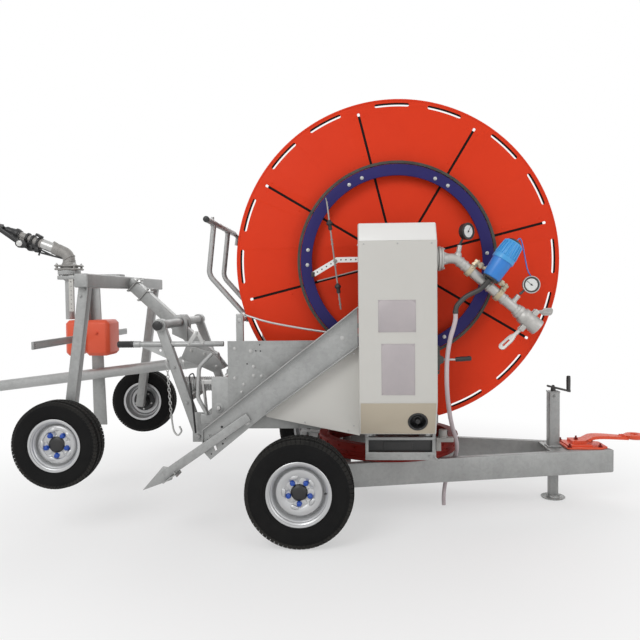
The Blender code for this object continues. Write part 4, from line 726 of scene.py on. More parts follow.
def make_tyre(name, body, place, radius, half, bead, node_name):
    shape = fresh()
    upper = [(bead, half * 0.78), (bead + 0.006, half * 0.83), (bead + 0.013, half * 0.84)]
    upper += shares(radius, half, 0.655, 0.9, 0.66, 0.93, 0.7, 0.955, 0.705, 0.97, 0.76, 0.99, 0.82, 1,
        0.865, 0.985, 0.87, 0.965, 0.915, 0.93, 0.945, 0.86, 0.97, 0.72, 0.98, 0.5, 0.972, 0.48, 0.972, 0.06,
        0.98, 0.045)
    turned(shape, upper + [(r, -h) for r, h in reversed(upper)] + [upper[0]], place, 96)
    piece(name, shape, body, "tyre", [node_name], 28)
    lugs = fresh()
    tread_blocks(lugs, place, radius, half, 72)
    piece(name.replace("_tread", "_lugs"), lugs, body, "tread", (), 28)


def make_rim(name, body, place, half, bead, node_name, nuts):
    """A pressed steel rim: rolled lips, a well, a groove and a dished disc with its wheel bolts."""
    lip = bead + 0.011
    shape = fresh()
    profile = shares(1, half, 0.0465, 0.28, 0.05, 0.245, 0.074, 0.245, 0.08, 0.29)
    profile += shares(bead, half, 0.6, 0.385, 0.68, 0.4, 0.745, 0.37, 0.79, 0.27, 0.8, 0.12, 0.83, 0.06,
        0.855, 0.12, 0.87, 0.46, 0.9, 0.56, 0.925, 0.6, 0.94, 0.74)
    profile += shares(1, half, bead - 0.004, 0.8, bead + 0.004, 0.83, lip - 0.001, 0.86, lip, 0.895,
        lip - 0.003, 0.915, bead - 0.001, 0.89, bead - 0.002, 0.79, bead - 0.0006, 0.76, bead - 0.0006,
        -0.76, lip - 0.001, -0.83, lip, -0.9, bead - 0.004, -0.88)
    profile += shares(bead, half, 0.92, -0.6, 0.885, -0.3, 0.88, -0.02, 0.82, -0.03, 0.76, 0.1)
    profile += shares(1, half, 0.07, 0.16, 0.046, 0.16, 0.0465, 0.28)
    turned(shape, profile, place, 96)
    cup = place @ moved(0, 0, half * 0.235)
    for index in range(nuts):
        between = cup @ spun(360 * (index + 0.5) / nuts, "Z")
        seat = cup @ spun(360 * (index + 1) / nuts, "Z") @ moved(0.062, 0, 0)
        rib = between @ moved(0.086, 0, half * 0.12) @ Matrix.Diagonal((0.9, 1.7, 1, 1))
        turned(shape, mm(0, 1.5, 9.5, 3.5, 13, 5, 14.5, 2, 15, -2), between @ moved(0.062, 0, 0), 20)
        turned(shape, mm(0, 5.5, 16.5, 5.5, 20.5, 4, 22.5, 0.5, 23, -3), seat, 28)
        turned(shape, mm(0, 7.2, 6, 6.7, 10, 5, 13.5, 2, 15, -4), rib, 28)
    piece(name, shape, body, "rim_silver", [node_name], 35)


def make_hub(name, body, place, half, back, nuts, phase):
    """The black hub behind the rim, its cap in front and the blue covers on the wheel nuts."""
    hub, studs, covers, valve = fresh(), fresh(), fresh(), fresh()
    profile = shares(1, half, 0, 0.5, 0.016, 0.495, 0.03, 0.465, 0.04, 0.41, 0.0455, 0.34, 0.046, 0.26,
        0.046, 0.17, 0.066, 0.12, 0.08, 0.03)
    profile += mm(81, -20, 78, -26, 52, -30) + [(0.044, back + 0.006), (0.04, back), (0.0212, back)]
    turned(hub, profile + shares(1, half, 0.0212, 0.25, 0, 0.25), place, 48)
    for index in range(nuts):
        stand = place @ spun(phase + 360 * index / nuts, "Z")
        round_bar(studs, stand @ at(0.0655, 0, -0.033), stand @ at(0.0655, 0, -0.024), 0.0072, 14, 0.001)
        seat = stand @ moved(0.062, 0, half * 0.25 + 0.004)
        turned(covers, mm(0, 21, 7, 20, 11.5, 16.5, 12.5, 10, 13, 1, 13, -4, 0, -4), seat, 24)
        turned(covers, mm(0, 3.5, 14, 3.5, 15.2, 2, 15.2, -2, 0, -2), seat, 24)
    stem = place @ spun(phase + 90, "Z")
    tube(valve, [stem @ at(x, 0, half * z) for x, z in ((0.152, 0.42), (0.146, 0.52), (0.139, 0.64))],
        0.0042, 3)
    piece(name + "_hub", hub, body, "black_plastic", (), 35)
    piece(name + "_studs", studs, body, "bright_steel")
    piece(name + "_nut_covers", covers, body, "nut_blue", (), 25)
    piece(name + "_valve", valve, body, "black_plastic")


def make_wheels():
    for group, x, y, z, radius, half in (("main", 0, 0.87, 0.3, 0.3, 0.085),
            ("cart", -1.385, 0.78, 0.54, 0.25, 0.0675)):
        for side, where in SIDES:
            body = f"{group}_wheel_{where}"
            place = outward(x, side * y, z)
            bead = radius * 0.56
            tyre, rim = f"{group}_tyre_{where}", f"{group}_rim_{where}"
            make_tyre(tyre + "_tread", body, place, radius, half, bead, tyre)
            make_rim(rim + "_disc", body, place, half, bead, rim, WHEEL_NUTS)
            make_hub(body, body, place, half, -0.0697, WHEEL_NUTS, 90 * side)


# Trailer frame, jack and hitch

BEAM_REAR = at(-0.1, 0.53, 0)
BEAM_FRONT = at(1.98, 0.08, 0)
BEAM_BOTTOM, BEAM_TOP = 0.2, 0.35
JACK_X = 1.63
JACK_TOP = 0.72


def beam_y(x):
    share = (x - BEAM_REAR.x) / (BEAM_FRONT.x - BEAM_REAR.x)
    return BEAM_REAR.y + share * (BEAM_FRONT.y - BEAM_REAR.y)


def make_chassis():
    """Two converging box beams, their cross members, the jack's plate and the axle through them."""
    frame_shape = fresh()
    middle = (BEAM_BOTTOM + BEAM_TOP) / 2
    for side in (-1, 1):
        start = at(BEAM_REAR.x, side * BEAM_REAR.y, middle)
        end = at(BEAM_FRONT.x, side * BEAM_FRONT.y, middle)
        beam(frame_shape, start, end, 0.05, 0.15, 0.006, 3)
        across = (end - start).normalized().cross(at(0, 0, 1))
        for tip, run in ((start, start - end), (end, end - start)):
            cap = tip + run.normalized() * 0.002
            beam(frame_shape, cap - across * 0.022, cap + across * 0.022, 0.004, 0.14, 0.0015, side=run)
    for x, width, drop in ((-0.07, 0.04, 0.01), (0.25, 0.06, 0.004), (0.7, 0.06, 0.006),
            (1.93, 0.06, 0.012)):
        reach = beam_y(x)
        block(frame_shape, (x - width / 2, -reach, BEAM_BOTTOM + drop),
            (x + width / 2, reach, BEAM_TOP - drop), 0.005)
        for side in (-1, 1):
            inside = side * (reach - 0.026)
            weld_bead(frame_shape, (x - width / 2 - 0.001, inside, BEAM_BOTTOM + drop),
                (x - width / 2 - 0.001, inside, BEAM_TOP - drop), 0.0035)
    reach = beam_y(JACK_X)
    for side in (-1, 1):
        block(frame_shape, (JACK_X - 0.055, min(side * 0.032, side * reach), 0.335),
            (JACK_X + 0.055, max(side * 0.032, side * reach), 0.347), 0.002)
    for low, high in ((JACK_X - 0.055, JACK_X - 0.032), (JACK_X + 0.032, JACK_X + 0.055)):
        block(frame_shape, (low, -0.033, 0.335), (high, 0.033, 0.347), 0.002)
    piece("frame_beams", frame_shape, "chassis", "galvanised", ["chassis_frame"])
    axle = fresh()
    block(axle, (-0.035, -0.8, 0.265), (0.035, 0.8, 0.335), 0.005, 3)
    for side in (-1, 1):
        cross_bar(axle, 0, 0.3, side * 0.78, side * 0.885, 0.02, 28, 0.003)
        cross_bar(axle, 0, 0.3, side * 0.795, side * 0.806, 0.04, 32, 0.002)
        for x in (-0.05, 0.05):
            tube(axle, [(x, side * 0.545, 0.255), (x, side * 0.545, 0.35)], 0.006, 3)
            bolt(axle, (x, side * 0.545, 0.258), (0, 0, -1), 0.01)
        block(axle, (-0.062, side * 0.545 - 0.02, 0.256), (0.062, side * 0.545 + 0.02, 0.262), 0.0015)
    piece("axle_beam", axle, "chassis", "galvanised", ["main_axle"])


def make_jack():
    half = 0.035
    sleeve = fresh()
    block(sleeve, (JACK_X - half, -half, 0.3475), (JACK_X + half, half, JACK_TOP - 0.004), 0.007, 3)
    inner = fresh()
    block(inner, (JACK_X - 0.03, -0.03, 0.3), (JACK_X + 0.03, 0.03, JACK_TOP - 0.012), 0.004)
    sleeve = carve(sleeve, [inner])
    block(sleeve, (JACK_X - half - 0.002, -half - 0.002, JACK_TOP - 0.01),
        (JACK_X + half + 0.002, half + 0.002, JACK_TOP), 0.003, 3)
    block(sleeve, (JACK_X - half - 0.01, -half - 0.01, 0.3475), (JACK_X + half + 0.01, half + 0.01, 0.357),
        0.002)
    for side in (-1, 1):
        bolt(sleeve, (JACK_X, side * (half + 0.0005), JACK_TOP - 0.03), (0, side, 0), 0.009)
    weld_bead(sleeve, (JACK_X - half, -half - 0.001, 0.359), (JACK_X + half, -half - 0.001, 0.359), 0.0035)
    piece("jack_tube", sleeve, "chassis", "galvanised", ["jack_sleeve"])
    leg = fresh()
    block(leg, (JACK_X - 0.029, -0.029, 0.016), (JACK_X + 0.029, 0.029, 0.6), 0.006, 3)
    for step in range(4):
        cross_bar(leg, JACK_X, 0.1 + 0.055 * step, -0.0294, 0.0294, 0.0065, 18)
    foot = moved(JACK_X, 0, 0)
    turned(leg, mm(0, 0, 60, 0, 72, 2, 78, 8, 78.5, 12, 75, 12.5, 66, 7, 48, 6.5, 42, 12, 40, 20, 0, 20),
        foot, 64)
    weld_bead(leg, (JACK_X - 0.029, -0.03, 0.021), (JACK_X + 0.029, -0.03, 0.021), 0.003)
    piece("jack_leg_and_foot", leg, "jack_leg", "galvanised", ["jack_leg"])
    crank = fresh()
    top = JACK_TOP + 0.024
    round_bar(crank, (JACK_X, 0, JACK_TOP - 0.022), (JACK_X, 0, top + 0.004), 0.0092, 20)
    turned(crank, mm(0, 18, 13, 18, 16, 15, 16, 0.6, 0, 0.6), moved(JACK_X, 0, JACK_TOP), 28)
    beam(crank, (JACK_X - 0.04, 0, top + 0.01), (JACK_X + 0.112, 0, top - 0.028), 0.024, 0.013, 0.003)
    round_bar(crank, (JACK_X + 0.1, 0, top - 0.032), (JACK_X + 0.1, 0, top - 0.008), 0.0085, 18, 0.002)
    bolt(crank, (JACK_X, 0, top + 0.005), (0, 0, 1), 0.01, 0)
    piece("jack_crank_arm", crank, "jack_crank", "dark_steel", ["jack_crank"])
    grip = fresh()
    turned(grip, mm(0, 105, 9, 104, 13, 100, 14, 70, 13, 12, 15, 6, 14, 0, 0, 0),
        moved(JACK_X + 0.1, 0, top - 0.028), 28)
    piece("jack_crank_handle", grip, "jack_crank", "dark_steel")


def make_hitch():
    """The bolted tray, its arched flat tongue and the towing eye."""
    low = BEAM_TOP + CLEAR
    start, end = 1.69, 1.96
    tray = fresh()
    outline = [(start, -0.105), (start + 0.03, -0.112), (end - 0.05, -0.112), (end, -0.075), (end, 0.075),
        (end - 0.05, 0.112), (start + 0.03, 0.112), (start, 0.105)]
    prism(tray, outline, 0.012, moved(0, 0, low + 0.006), 0.003)
    block(tray, (start + 0.012, -0.085, low + 0.011), (start + 0.17, 0.085, low + 0.024), 0.004)
    tongue = smooth_line([(start + 0.05, 0, low + 0.034), (1.82, 0, low + 0.036), (1.85, 0, low + 0.048),
        (1.885, 0, low + 0.062), (1.96, 0, low + 0.064), (2.112, 0, low + 0.055)], 6)
    for before, after in zip(tongue, tongue[1:]):
        run = (after - before).normalized() * 0.001
        width = 0.11 - 0.052 * max(0, (before.x - 1.86) / 0.26)
        beam(tray, before - run, after + run, width, 0.02, 0)
    piece("hitch_tray", tray, "chassis", "hitch_orange", ["tow_tongue"], 30)
    eye = fresh()
    turned(eye, mm(26, 3, 29, 0, 56, 0, 66, 6, 68, 15, 66, 24, 56, 30, 29, 30, 26, 27, 26, 3),
        moved(2.16, 0, low + 0.05), 64)
    for side in (-1, 1):
        weld_bead(eye, (2.07, side * 0.022, low + 0.07), (2.105, side * 0.024, low + 0.07), 0.005)
    piece("hitch_eye_ring", eye, "chassis", "hitch_orange")
    bolts = fresh()
    for x, y, height in ((start + 0.018, -0.096, 0.012), (start + 0.018, 0.096, 0.012),
            (end - 0.052, -0.088, 0.012), (end - 0.052, 0.088, 0.012), (start + 0.09, 0, 0.044)):
        bolt(bolts, (x, y, low + height), (0, 0, 1), 0.013, 0.9)
    piece("hitch_bolts", bolts, "chassis", "ring_red")


# Slewing ring, turntable, cheeks and anchors

def side_block(shape, side, low, high, bevel=0.003, segments=2):
    """A block given for the far side, put on the side asked for."""
    ends = sorted((side * low[1], side * high[1]))
    block(shape, (low[0], ends[0], low[2]), (high[0], ends[1], high[2]), bevel, segments)


def make_slew_rings():
    centre = moved(SLEW_X, 0, 0)
    lower, upper = fresh(), fresh()
    turned(lower, mm(400, 354, 403.5, 350.5, 446.5, 350.5, 450, 354, 450, 371, 444.5, 375, 444.5, 380, 450,
        384, 450, 402, 446.5, 404.8, 403.5, 404.8, 400, 402, 400, 354), centre, 144)
    turned(upper, mm(400, 409, 403, 406, 459, 406, 462, 409, 462, 451.5, 459, 454.4, 403, 454.4, 400, 451.5,
        400, 409), centre, 144)
    for ring, phase, height, radius, size in ((lower, 7.5, 0.393, 0.4498, 0.0055),
            (upper, 0, 0.43, 0.4618, 0.008)):
        for turn in rounds(24, phase):
            run = polar(1, turn)
            bolt(ring, at(SLEW_X, 0, height) + run * radius, run, size, 0)
    piece("slew_ring_lower_race", lower, "chassis", "ring_red", ["slew_ring_lower"], 30)
    piece("slew_ring_upper_race", upper, "turntable", "ring_red", ["slew_ring_upper"], 30)


def make_turntable():
    """The welded deck on the ring, the rails, the drum's posts and the rod over the level-wind screw."""
    deck = fresh()
    for x in (0.4, 0.74):
        block(deck, (x - 0.03, -0.625, 0.4552), (x + 0.03, 0.625, 0.55), 0.006, 3)
        for side in (-1, 1):
            side_block(deck, side, (x - 0.026, 0.6245, 0.46), (x + 0.026, 0.6285, 0.545), 0.0015)
            side_block(deck, side, (x - 0.025, 0.576, 0.53), (x + 0.025, 0.624, 0.67), 0.005)
            weld_bead(deck, (x - 0.026, side * 0.624, 0.551), (x + 0.026, side * 0.624, 0.551), 0.0035)
            for step in (-0.012, 0.012):
                bolt(deck, (x + step, side * 0.59, 0.455), (0, 0, -1), 0.0065, 0)
    block(deck, (0.428, -0.3, 0.47), (0.712, -0.24, 0.535), 0.004)
    block(deck, (0.428, 0.24, 0.47), (0.712, 0.3, 0.535), 0.004)
    piece("turntable_deck", deck, "turntable", "galvanised", ["turntable_frame"])
    rails = fresh()
    for side in (-1, 1):
        side_block(rails, side, (-0.6, 0.575, 0.62), (0.785, 0.625, 0.68), 0.006, 3)
        for x, out in ((-0.6, -1), (0.785, 1)):
            cap = sorted((x, x + out * 0.003))
            side_block(rails, side, (cap[0], 0.579, 0.624), (cap[1], 0.621, 0.676), 0.001)
        for x in (-0.36, 0.24):
            side_block(rails, side, (x - 0.02, 0.615, 0.625), (x + 0.02, 0.7165, 0.675), 0.003)
            weld_bead(rails, (x - 0.021, side * 0.626, 0.628), (x - 0.021, side * 0.626, 0.672), 0.003)
        side_block(rails, side, (-0.67, 0.528, 0.496), (-0.53, 0.54, 0.676), 0.003)
        ends = [LIFT_PIVOT + at(0, side * y, 0) for y in (0.5272, 0.5408)]
        round_bar(rails, *ends, 0.028, 32, 0.0015)
        for x in (-0.585, -0.548):
            bolt(rails, (x, side * 0.5405, 0.64), (0, side, 0), 0.007, 0)
    block(rails, (-0.59, -0.61, 0.626), (-0.54, 0.61, 0.674), 0.005)
    pivot_bore = fresh()
    round_bar(pivot_bore, LIFT_PIVOT - at(0, 1, 0), LIFT_PIVOT + at(0, 1, 0), 0.0146, 32)
    piece("turntable_rails", carve(rails, [pivot_bore]), "turntable", "galvanised")
    posts = fresh()
    for side in (-1, 1):
        y = side * POST_Y
        for lean, width in ((-0.12, 0.05), (0.12, 0.048)):
            beam(posts, (DRUM.x + lean, y, 0.62), (DRUM.x + lean * 0.22, y, DRUM.z - 0.055), width, 0.07,
                0.005)
        side_block(posts, side, (0.365, 0.592, 0.6225), (0.745, 0.6895, 0.6775), 0.005, 3)
        beam(posts, (DRUM.x - 0.085, y, 1.01), (DRUM.x + 0.085, y, 1.01), 0.04, 0.05, 0.004)
        turned(posts, mm(60.8, 28.5, 72, 29, 90, 29, 98, 24, 100, 16, 100, -16, 98, -24, 90, -29, 72, -29,
            60.8, -28.5, 60.8, 28.5), outward(DRUM.x, y, DRUM.z), 64)
        bolt_circle(posts, at(DRUM.x, y + side * 0.0288, DRUM.z), (0, side, 0), 0.084, 6, 30, 0.0062, 0)
    piece("drum_posts", posts, "turntable", "galvanised")
    rod = fresh()
    cross_bar(rod, SCREW_X, GUIDE_ROD_Z, -0.7166, 0.7166, 0.014, 32)
    for side in (-1, 1):
        y = side * 0.6966
        beam(rod, (-0.565, side * 0.6, 0.665), (-0.565, y, 0.892), 0.03, 0.012, 0.002)
        beam(rod, (-0.572, y, GUIDE_ROD_Z), (SCREW_X, y, GUIDE_ROD_Z), 0.012, 0.024, 0.002)
        cross_bar(rod, SCREW_X, GUIDE_ROD_Z, y - 0.01, y + 0.01, 0.02, 28, 0.002)
    piece("guide_rail_rod", rod, "turntable", "bright_steel")
    axle = fresh()
    turned(axle, mm(52.5, 734, 54.5, 735, 58.5, 735, 60, 733.5, 60, -733.5, 58.5, -735, 0, -735, 0, -300, 52,
        -300, 52, 734), outward(DRUM.x, -1e-9, DRUM.z), 64)
    piece("drum_axle_tube", axle, "turntable", "galvanised", ["drum_axle"])


def weld_nuts(name, holes, face, side):
    """The nuts behind the empty holes of a plate."""
    nuts = fresh()
    for x, z, radius in holes:
        cross_bar(nuts, x, z, face - side * 0.0031, face - side * 0.009, radius * 1.9, 6)
    piece(name + "_weld_nuts", nuts, "turntable", "black_plastic")


def make_cheeks():
    """Bolted side plates with their bearers and the posts of the guard hoop."""
    bolts = mm(-373, 1074, 8.5, -282, 1059, 9.5, -267, 971, 8.5, -267, 918, 8.5, -222, 916, 8.5, -325, 869,
        8.5, -336, 825, 8.5, 240, 650, 8, -360, 650, 8, -375, 905, 8.5, size=3)
    holes = mm(-253, 1059, 4.5, -227, 1058, 4.5, -231, 1093, 4, -304, 985, 4.5, -385, 700, 5, 200, 1080, 5,
        size=3)
    for side, where in SIDES:
        face = side * CHEEK_Y
        cheek = fresh()
        outline = mm(-414.5, 642, -380, 615.5, 300, 615.5, 300, 1116, -414.5, 1116)
        outlines = [outline] + [circle(x, z, radius, 16) for x, z, radius in holes]
        sheet_metal(cheek, outlines, 0.006, upright(face), 0.0008)
        side_block(cheek, side, (-0.415, 0.7165, 1.11), (0.3, 0.7235, 1.1162), 0.0012)
        hollow = fresh()
        side_block(cheek, side, (-0.51, 0.7175, 0.6725), (-0.4, 0.7225, 0.9125), 0.0015)
        cross_bar(cheek, SCREW_X, SCREW_Z, side * 0.717, side * 0.7232, 0.03, 36, 0.001)
        cross_bar(hollow, SCREW_X, SCREW_Z, side * 0.5, side * 0.9, 0.0136)
        side_block(cheek, side, (-0.365, 0.6805, 1.052), (-0.325, 0.7185, 1.27), 0.004)
        hoop_bore = fresh()
        cross_bar(hoop_bore, HOOP_X, HOOP_Z, side * 0.5, side * 0.9, 0.0148)
        cheek = carve(cheek, [hollow, hoop_bore])
        piece(f"side_cheek_{where}_plate", cheek, "turntable", "galvanised", [f"side_cheek_{where}"], 30)
        heads = fresh()
        for x, z, size in bolts:
            bolt(heads, (x, face + side * 0.003, z), (0, side, 0), size, 0.25)
        piece(f"side_cheek_{where}_bolts", heads, "turntable", "bright_steel")
        weld_nuts(f"side_cheek_{where}", holes, face, side)


ARM_LINE = mm(326, 1306, -546, 626, -546, 500, -505, 455, -190, 711, 326, 1085)


def make_arms():
    """Folded channel arms with the slot and pin holes that the spade legs are set by."""
    slot_low, slot_high = Vector((-0.472, 0.508)), Vector((-0.506, 0.6))
    across = (slot_high - slot_low).normalized()
    side_step = Vector((-across.y, across.x)) * 0.0065
    slot = [slot_low + side_step, slot_low - side_step, slot_high - side_step, slot_high + side_step]
    pins = ((-0.52, 0.566, 0.0055), (-0.434, 0.546, 0.0055), (-0.438, 0.64, 0.007), (-0.512, 0.52, 0.0045),
        (-0.42, 0.575, 0.0045), (-0.5, 0.487, 0.0045))
    holes = [circle(x, z, radius, 16) for x, z, radius in pins]
    for side, where in SIDES:
        face = side * ARM_Y
        arm = fresh()
        outlines = [ARM_LINE, [tuple(point) for point in slot]] + holes
        sheet_metal(arm, outlines, 0.006, upright(face), 0.0008)
        for start, end in (((0.3255, 1.303), (-0.5455, 0.6235)), ((0.3255, 1.088), (-0.19, 0.714))):
            first = at(start[0], face + side * 0.016, start[1])
            last = at(end[0], face + side * 0.016, end[1])
            beam(arm, first, last, 0.0375, 0.006, 0.002)
        edge = at(-0.5455, face + side * 0.0095, 0)
        beam(arm, edge + at(0, 0, 0.62), edge + at(0, 0, 0.554), 0.018, 0.004, 0.0012)
        piece(f"side_arm_{where}_channel", arm, "turntable", "galvanised", [f"side_arm_{where}"], 30)
        studs = fresh()
        inner = side * 0.7236
        for x, z in ((-0.3, 0.745), (0.06, 0.98), (0.26, 1.1)):
            cross_bar(studs, x, z, inner, face - side * 0.0032, 0.013, 24)
        bolt(studs, (-0.296, face + side * 0.003, 0.668), (0, side, 0), 0.0155, 0.45)
        bolt(studs, (0.24, face + side * 0.003, 1.135), (0, side, 0), 0.011, 0.3)
        piece(f"side_arm_{where}_bolts", studs, "turntable", "bright_steel")
        weld_nuts(f"side_arm_{where}", pins, face, side)


def make_anchors():
    """Spade legs that slide along the arms, with their cross plates and pointed blades."""
    top, tip = at(-0.3, 0, 0.69), at(-0.89, 0, 0.285)
    run = (tip - top).normalized()
    up = at(run.z, 0, -run.x)
    for side, where in SIDES:
        y = side * 0.8163
        start = top + at(0, y, 0) - run * 0.02
        blade = tip + at(0, y, 0) - run * 0.17
        leg = fresh()
        beam(leg, start, blade + run * 0.015, 0.0258, 0.0498, 0.004, 3)
        corners = [blade - up * 0.045 - run * 0.004, tip + at(0, y, 0), blade + up * 0.045 - run * 0.004,
            blade + up * 0.02 - run * 0.03, blade - up * 0.02 - run * 0.03]
        prism(leg, [(corner.x, corner.z) for corner in corners], 0.01, upright(y), 0.0015)
        for lean in (-1, 1):
            foot = blade - run * 0.01 - up * 0.03
            beam(leg, foot - run * 0.045 + at(0, lean * 0.024, 0),
                foot + run * 0.045 + at(0, lean * 0.024, 0), 0.05, 0.006, 0.0015)
        beam(leg, blade - run * 0.052 - up * 0.046, blade - run * 0.052 - up * 0.012, 0.098, 0.006, 0.0015)
        for share in (0.1, 0.2, 0.3, 0.4):
            spot = start.lerp(blade, share)
            round_bar(leg, spot - at(0, 0.0132, 0), spot + at(0, 0.0132, 0), 0.0065, 16)
        weld_bead(leg, blade - up * 0.026 - run * 0.004 + at(0, -0.013, 0),
            blade - up * 0.026 - run * 0.004 + at(0, 0.013, 0), 0.003)
        piece(f"anchor_spade_{where}_leg", leg, f"anchor_{where}", "galvanised", [f"anchor_spade_{where}"])


# Drum, wound hose and drum drive

def slot_outline(radius_low, radius_high, middle, half_angle, steps=16):
    """An arc slot with round ends, angles in degrees."""
    centre = (radius_low + radius_high) / 2
    cap = (radius_high - radius_low) / 2
    sweep = radians(half_angle) - cap / centre
    middle = radians(middle)
    points = []
    for sign, radius in ((1, radius_high), (-1, radius_low)):
        for step in range(steps + 1):
            angle = middle + sign * (2 * sweep * step / steps - sweep)
            points.append((radius * cos(angle), radius * sin(angle)))
        angle = middle + sign * sweep
        for step in range(1, 8):
            turn = angle + pi * step / 8 + (0 if sign > 0 else pi)
            points.append((centre * cos(angle) + cap * cos(turn), centre * sin(angle) + cap * sin(turn)))
    return points


def slit_outline(turn):
    """A radial slit whose outer end opens into a small drop-shaped hole."""
    half, start, end = 0.007, 0.2, FLANGE_RADIUS - 0.06
    drop = [(end + 0.0081 * cos(radians(angle)), 0.0081 * sin(radians(angle)))
        for angle in range(-120, 121, 20)]
    points = [(start, -half), (end - 0.007, -half), *drop, (end - 0.007, half), (start, half)]
    return [(x * cos(turn) - y * sin(turn), x * sin(turn) + y * cos(turn)) for x, y in points]


def make_flanges():
    arms = range(14, 374, 45)
    middles = [angle + 22.5 + offset for angle in arms for offset in (-9.75, 9.75)]
    outlines = [circle(0, 0, FLANGE_RADIUS - 0.0015, 256), circle(0, 0, 0.0905, 96)]
    outlines += [slit_outline(radians(angle)) for angle in arms]
    outlines += [slot_outline(0.897, 0.917, middle, 6.3) for middle in middles]
    for side, where in SIDES:
        y = side * 0.5525
        sheet, painted_shade_strips = fresh(), fresh()
        sheet_metal(sheet, outlines, 0.005, moved(DRUM.x, 0, DRUM.z) @ upright(y), 0.001)
        turned(sheet, [(0.933 + 0.0068 * cos(turn), 0.0055 * sin(turn)) for turn in rounds(12) + [2 * pi]],
            outward(DRUM.x, y, DRUM.z), 192)
        turned(sheet, mm(90.5, 0, 90.5, 12, 95, 12.5, 115, 12.5, 120, 9.5, 120, 0, 90.5, 0),
            outward(DRUM.x, side * 0.5545, DRUM.z), 64)
        bolt_circle(sheet, DRUM + at(0, side * 0.567, 0), (0, side, 0), 0.105, 8, 0, 0.006, 0.2)
        for angle in arms:
            run = spoke(1, radians(angle))
            across = run.cross(at(0, 1, 0))
            for shift in (0.03, -0.03):
                for reach in (0.86, 0.64):
                    seat = DRUM + run * reach + across * shift + at(0, side * 0.5547, 0)
                    round_bar(sheet, seat, seat + at(0, side * 0.002, 0), 0.006, 12, end_radius=0.0042)
            # Dark sheets just behind each radial slit: painted shade that makes the slit read dark.
            middle = DRUM + at(0, side * 0.5503, 0)
            beam(painted_shade_strips, middle + run * 0.19, middle + run * 0.87, 0.038, 0.0012, 0.0005, side=across)
        # Dark sheets behind the outer half of each rim slot: painted shade standing for the shaded rolled
        # edge.
        for middle in middles:
            prism(painted_shade_strips, slot_outline(0.907, 0.92, middle, 6.6), 0.001,
                moved(DRUM.x, 0, DRUM.z) @ upright(side * 0.5508), 0)
        piece(f"drum_flange_{where}_strips", painted_shade_strips, "drum", "tyre")
        piece(f"drum_flange_{where}_disc", sheet, "drum", "drum_red", [f"drum_flange_{where}"], 30)


def make_core():
    core = fresh()
    turned(core, mm(90, 600, 90, 10, 442, 10, 442, 549.6, 450, 549.6, 450, -549.6, 442, -549.6, 442, -10, 90,
        -10, 90, -600, 88, -600, 61.5, -600, 61.5, 600, 88, 600, 90, 600), outward(DRUM.x, -1e-9, DRUM.z),
        144)
    for side in (-1, 1):
        for turn in rounds(8, 36):
            run = spoke(1, turn)
            middle = at(0, side * 0.28, 0)
            beam(core, DRUM + middle + run * 0.088, DRUM + middle + run * 0.444, 0.05, 0.03, 0.004)
    piece("drum_core_shell", core, "drum", "drum_red", ["drum_core"], 30)


def coil(shape, radius, room, turns, points, resolution, phase=0, hand=1):
    """One layer of wound hose: a helix round the drum's shaft."""
    line = []
    total = turns * points
    for step in range(total + 1):
        turn = phase + hand * 2 * pi * step / points
        y = -room / 2 + room * step / total
        line.append(DRUM + spoke(radius, turn, y))
    tube(shape, line, HOSE_RADIUS, resolution)


def make_hose():
    """The wound hose: its outer layer, the layers below and the run from the guide to the drum."""
    room = 2 * (FLANGE_INSIDE - HOSE_RADIUS - 0.004)
    outer = fresh()
    coil(outer, WOUND_RADIUS - HOSE_RADIUS, room, HOSE_TURNS, 72, 5)
    piece("hose_outer_layer", outer, "drum", "hose_black", ["hose_winding"])
    inner = fresh()
    for index, radius in enumerate((0.488, 0.551, 0.614)):
        coil(inner, radius, room - 0.002, HOSE_TURNS, 48, 2, pi * 0.3 * index, -1 if index % 2 == 0 else 1)
    piece("hose_inner_layers", inner, "drum", "hose_black", ["hose_pack"])
    lay = WOUND_RADIUS + HOSE_RADIUS + 0.002
    line = [at(x, HOSE_LINE_Y, HOSE_LINE_Z) for x in (-0.78, -0.6, -0.3, 0, 0.3)]
    line += [at(DRUM.x + lay * cos(radians(a)), HOSE_LINE_Y, DRUM.z + lay * sin(radians(a)))
        for a in range(-90, -44, 3)]
    run = fresh()
    tube(run, line, HOSE_RADIUS, 8)
    piece("hose_run_tube", run, "hose_guide", "hose_black", ["hose_run"])
    lip = fresh()
    stand = moved(-0.7815, HOSE_LINE_Y, HOSE_LINE_Z) @ spun(-90, "Y")
    turned(lip, mm(27, 0, 30, 2, 36.5, 2, 37.2, 0, 37.2, -1, 27, -1, 27, 0), stand, 48)
    piece("hose_run_end", lip, "hose_guide", "hose_black")


RING_BOLTS = (55.4, 64.6, 112.4, 121.5, 172.3, 181.9, 232.4, 241.6, 292.4, 301.6, 355, 4.2)


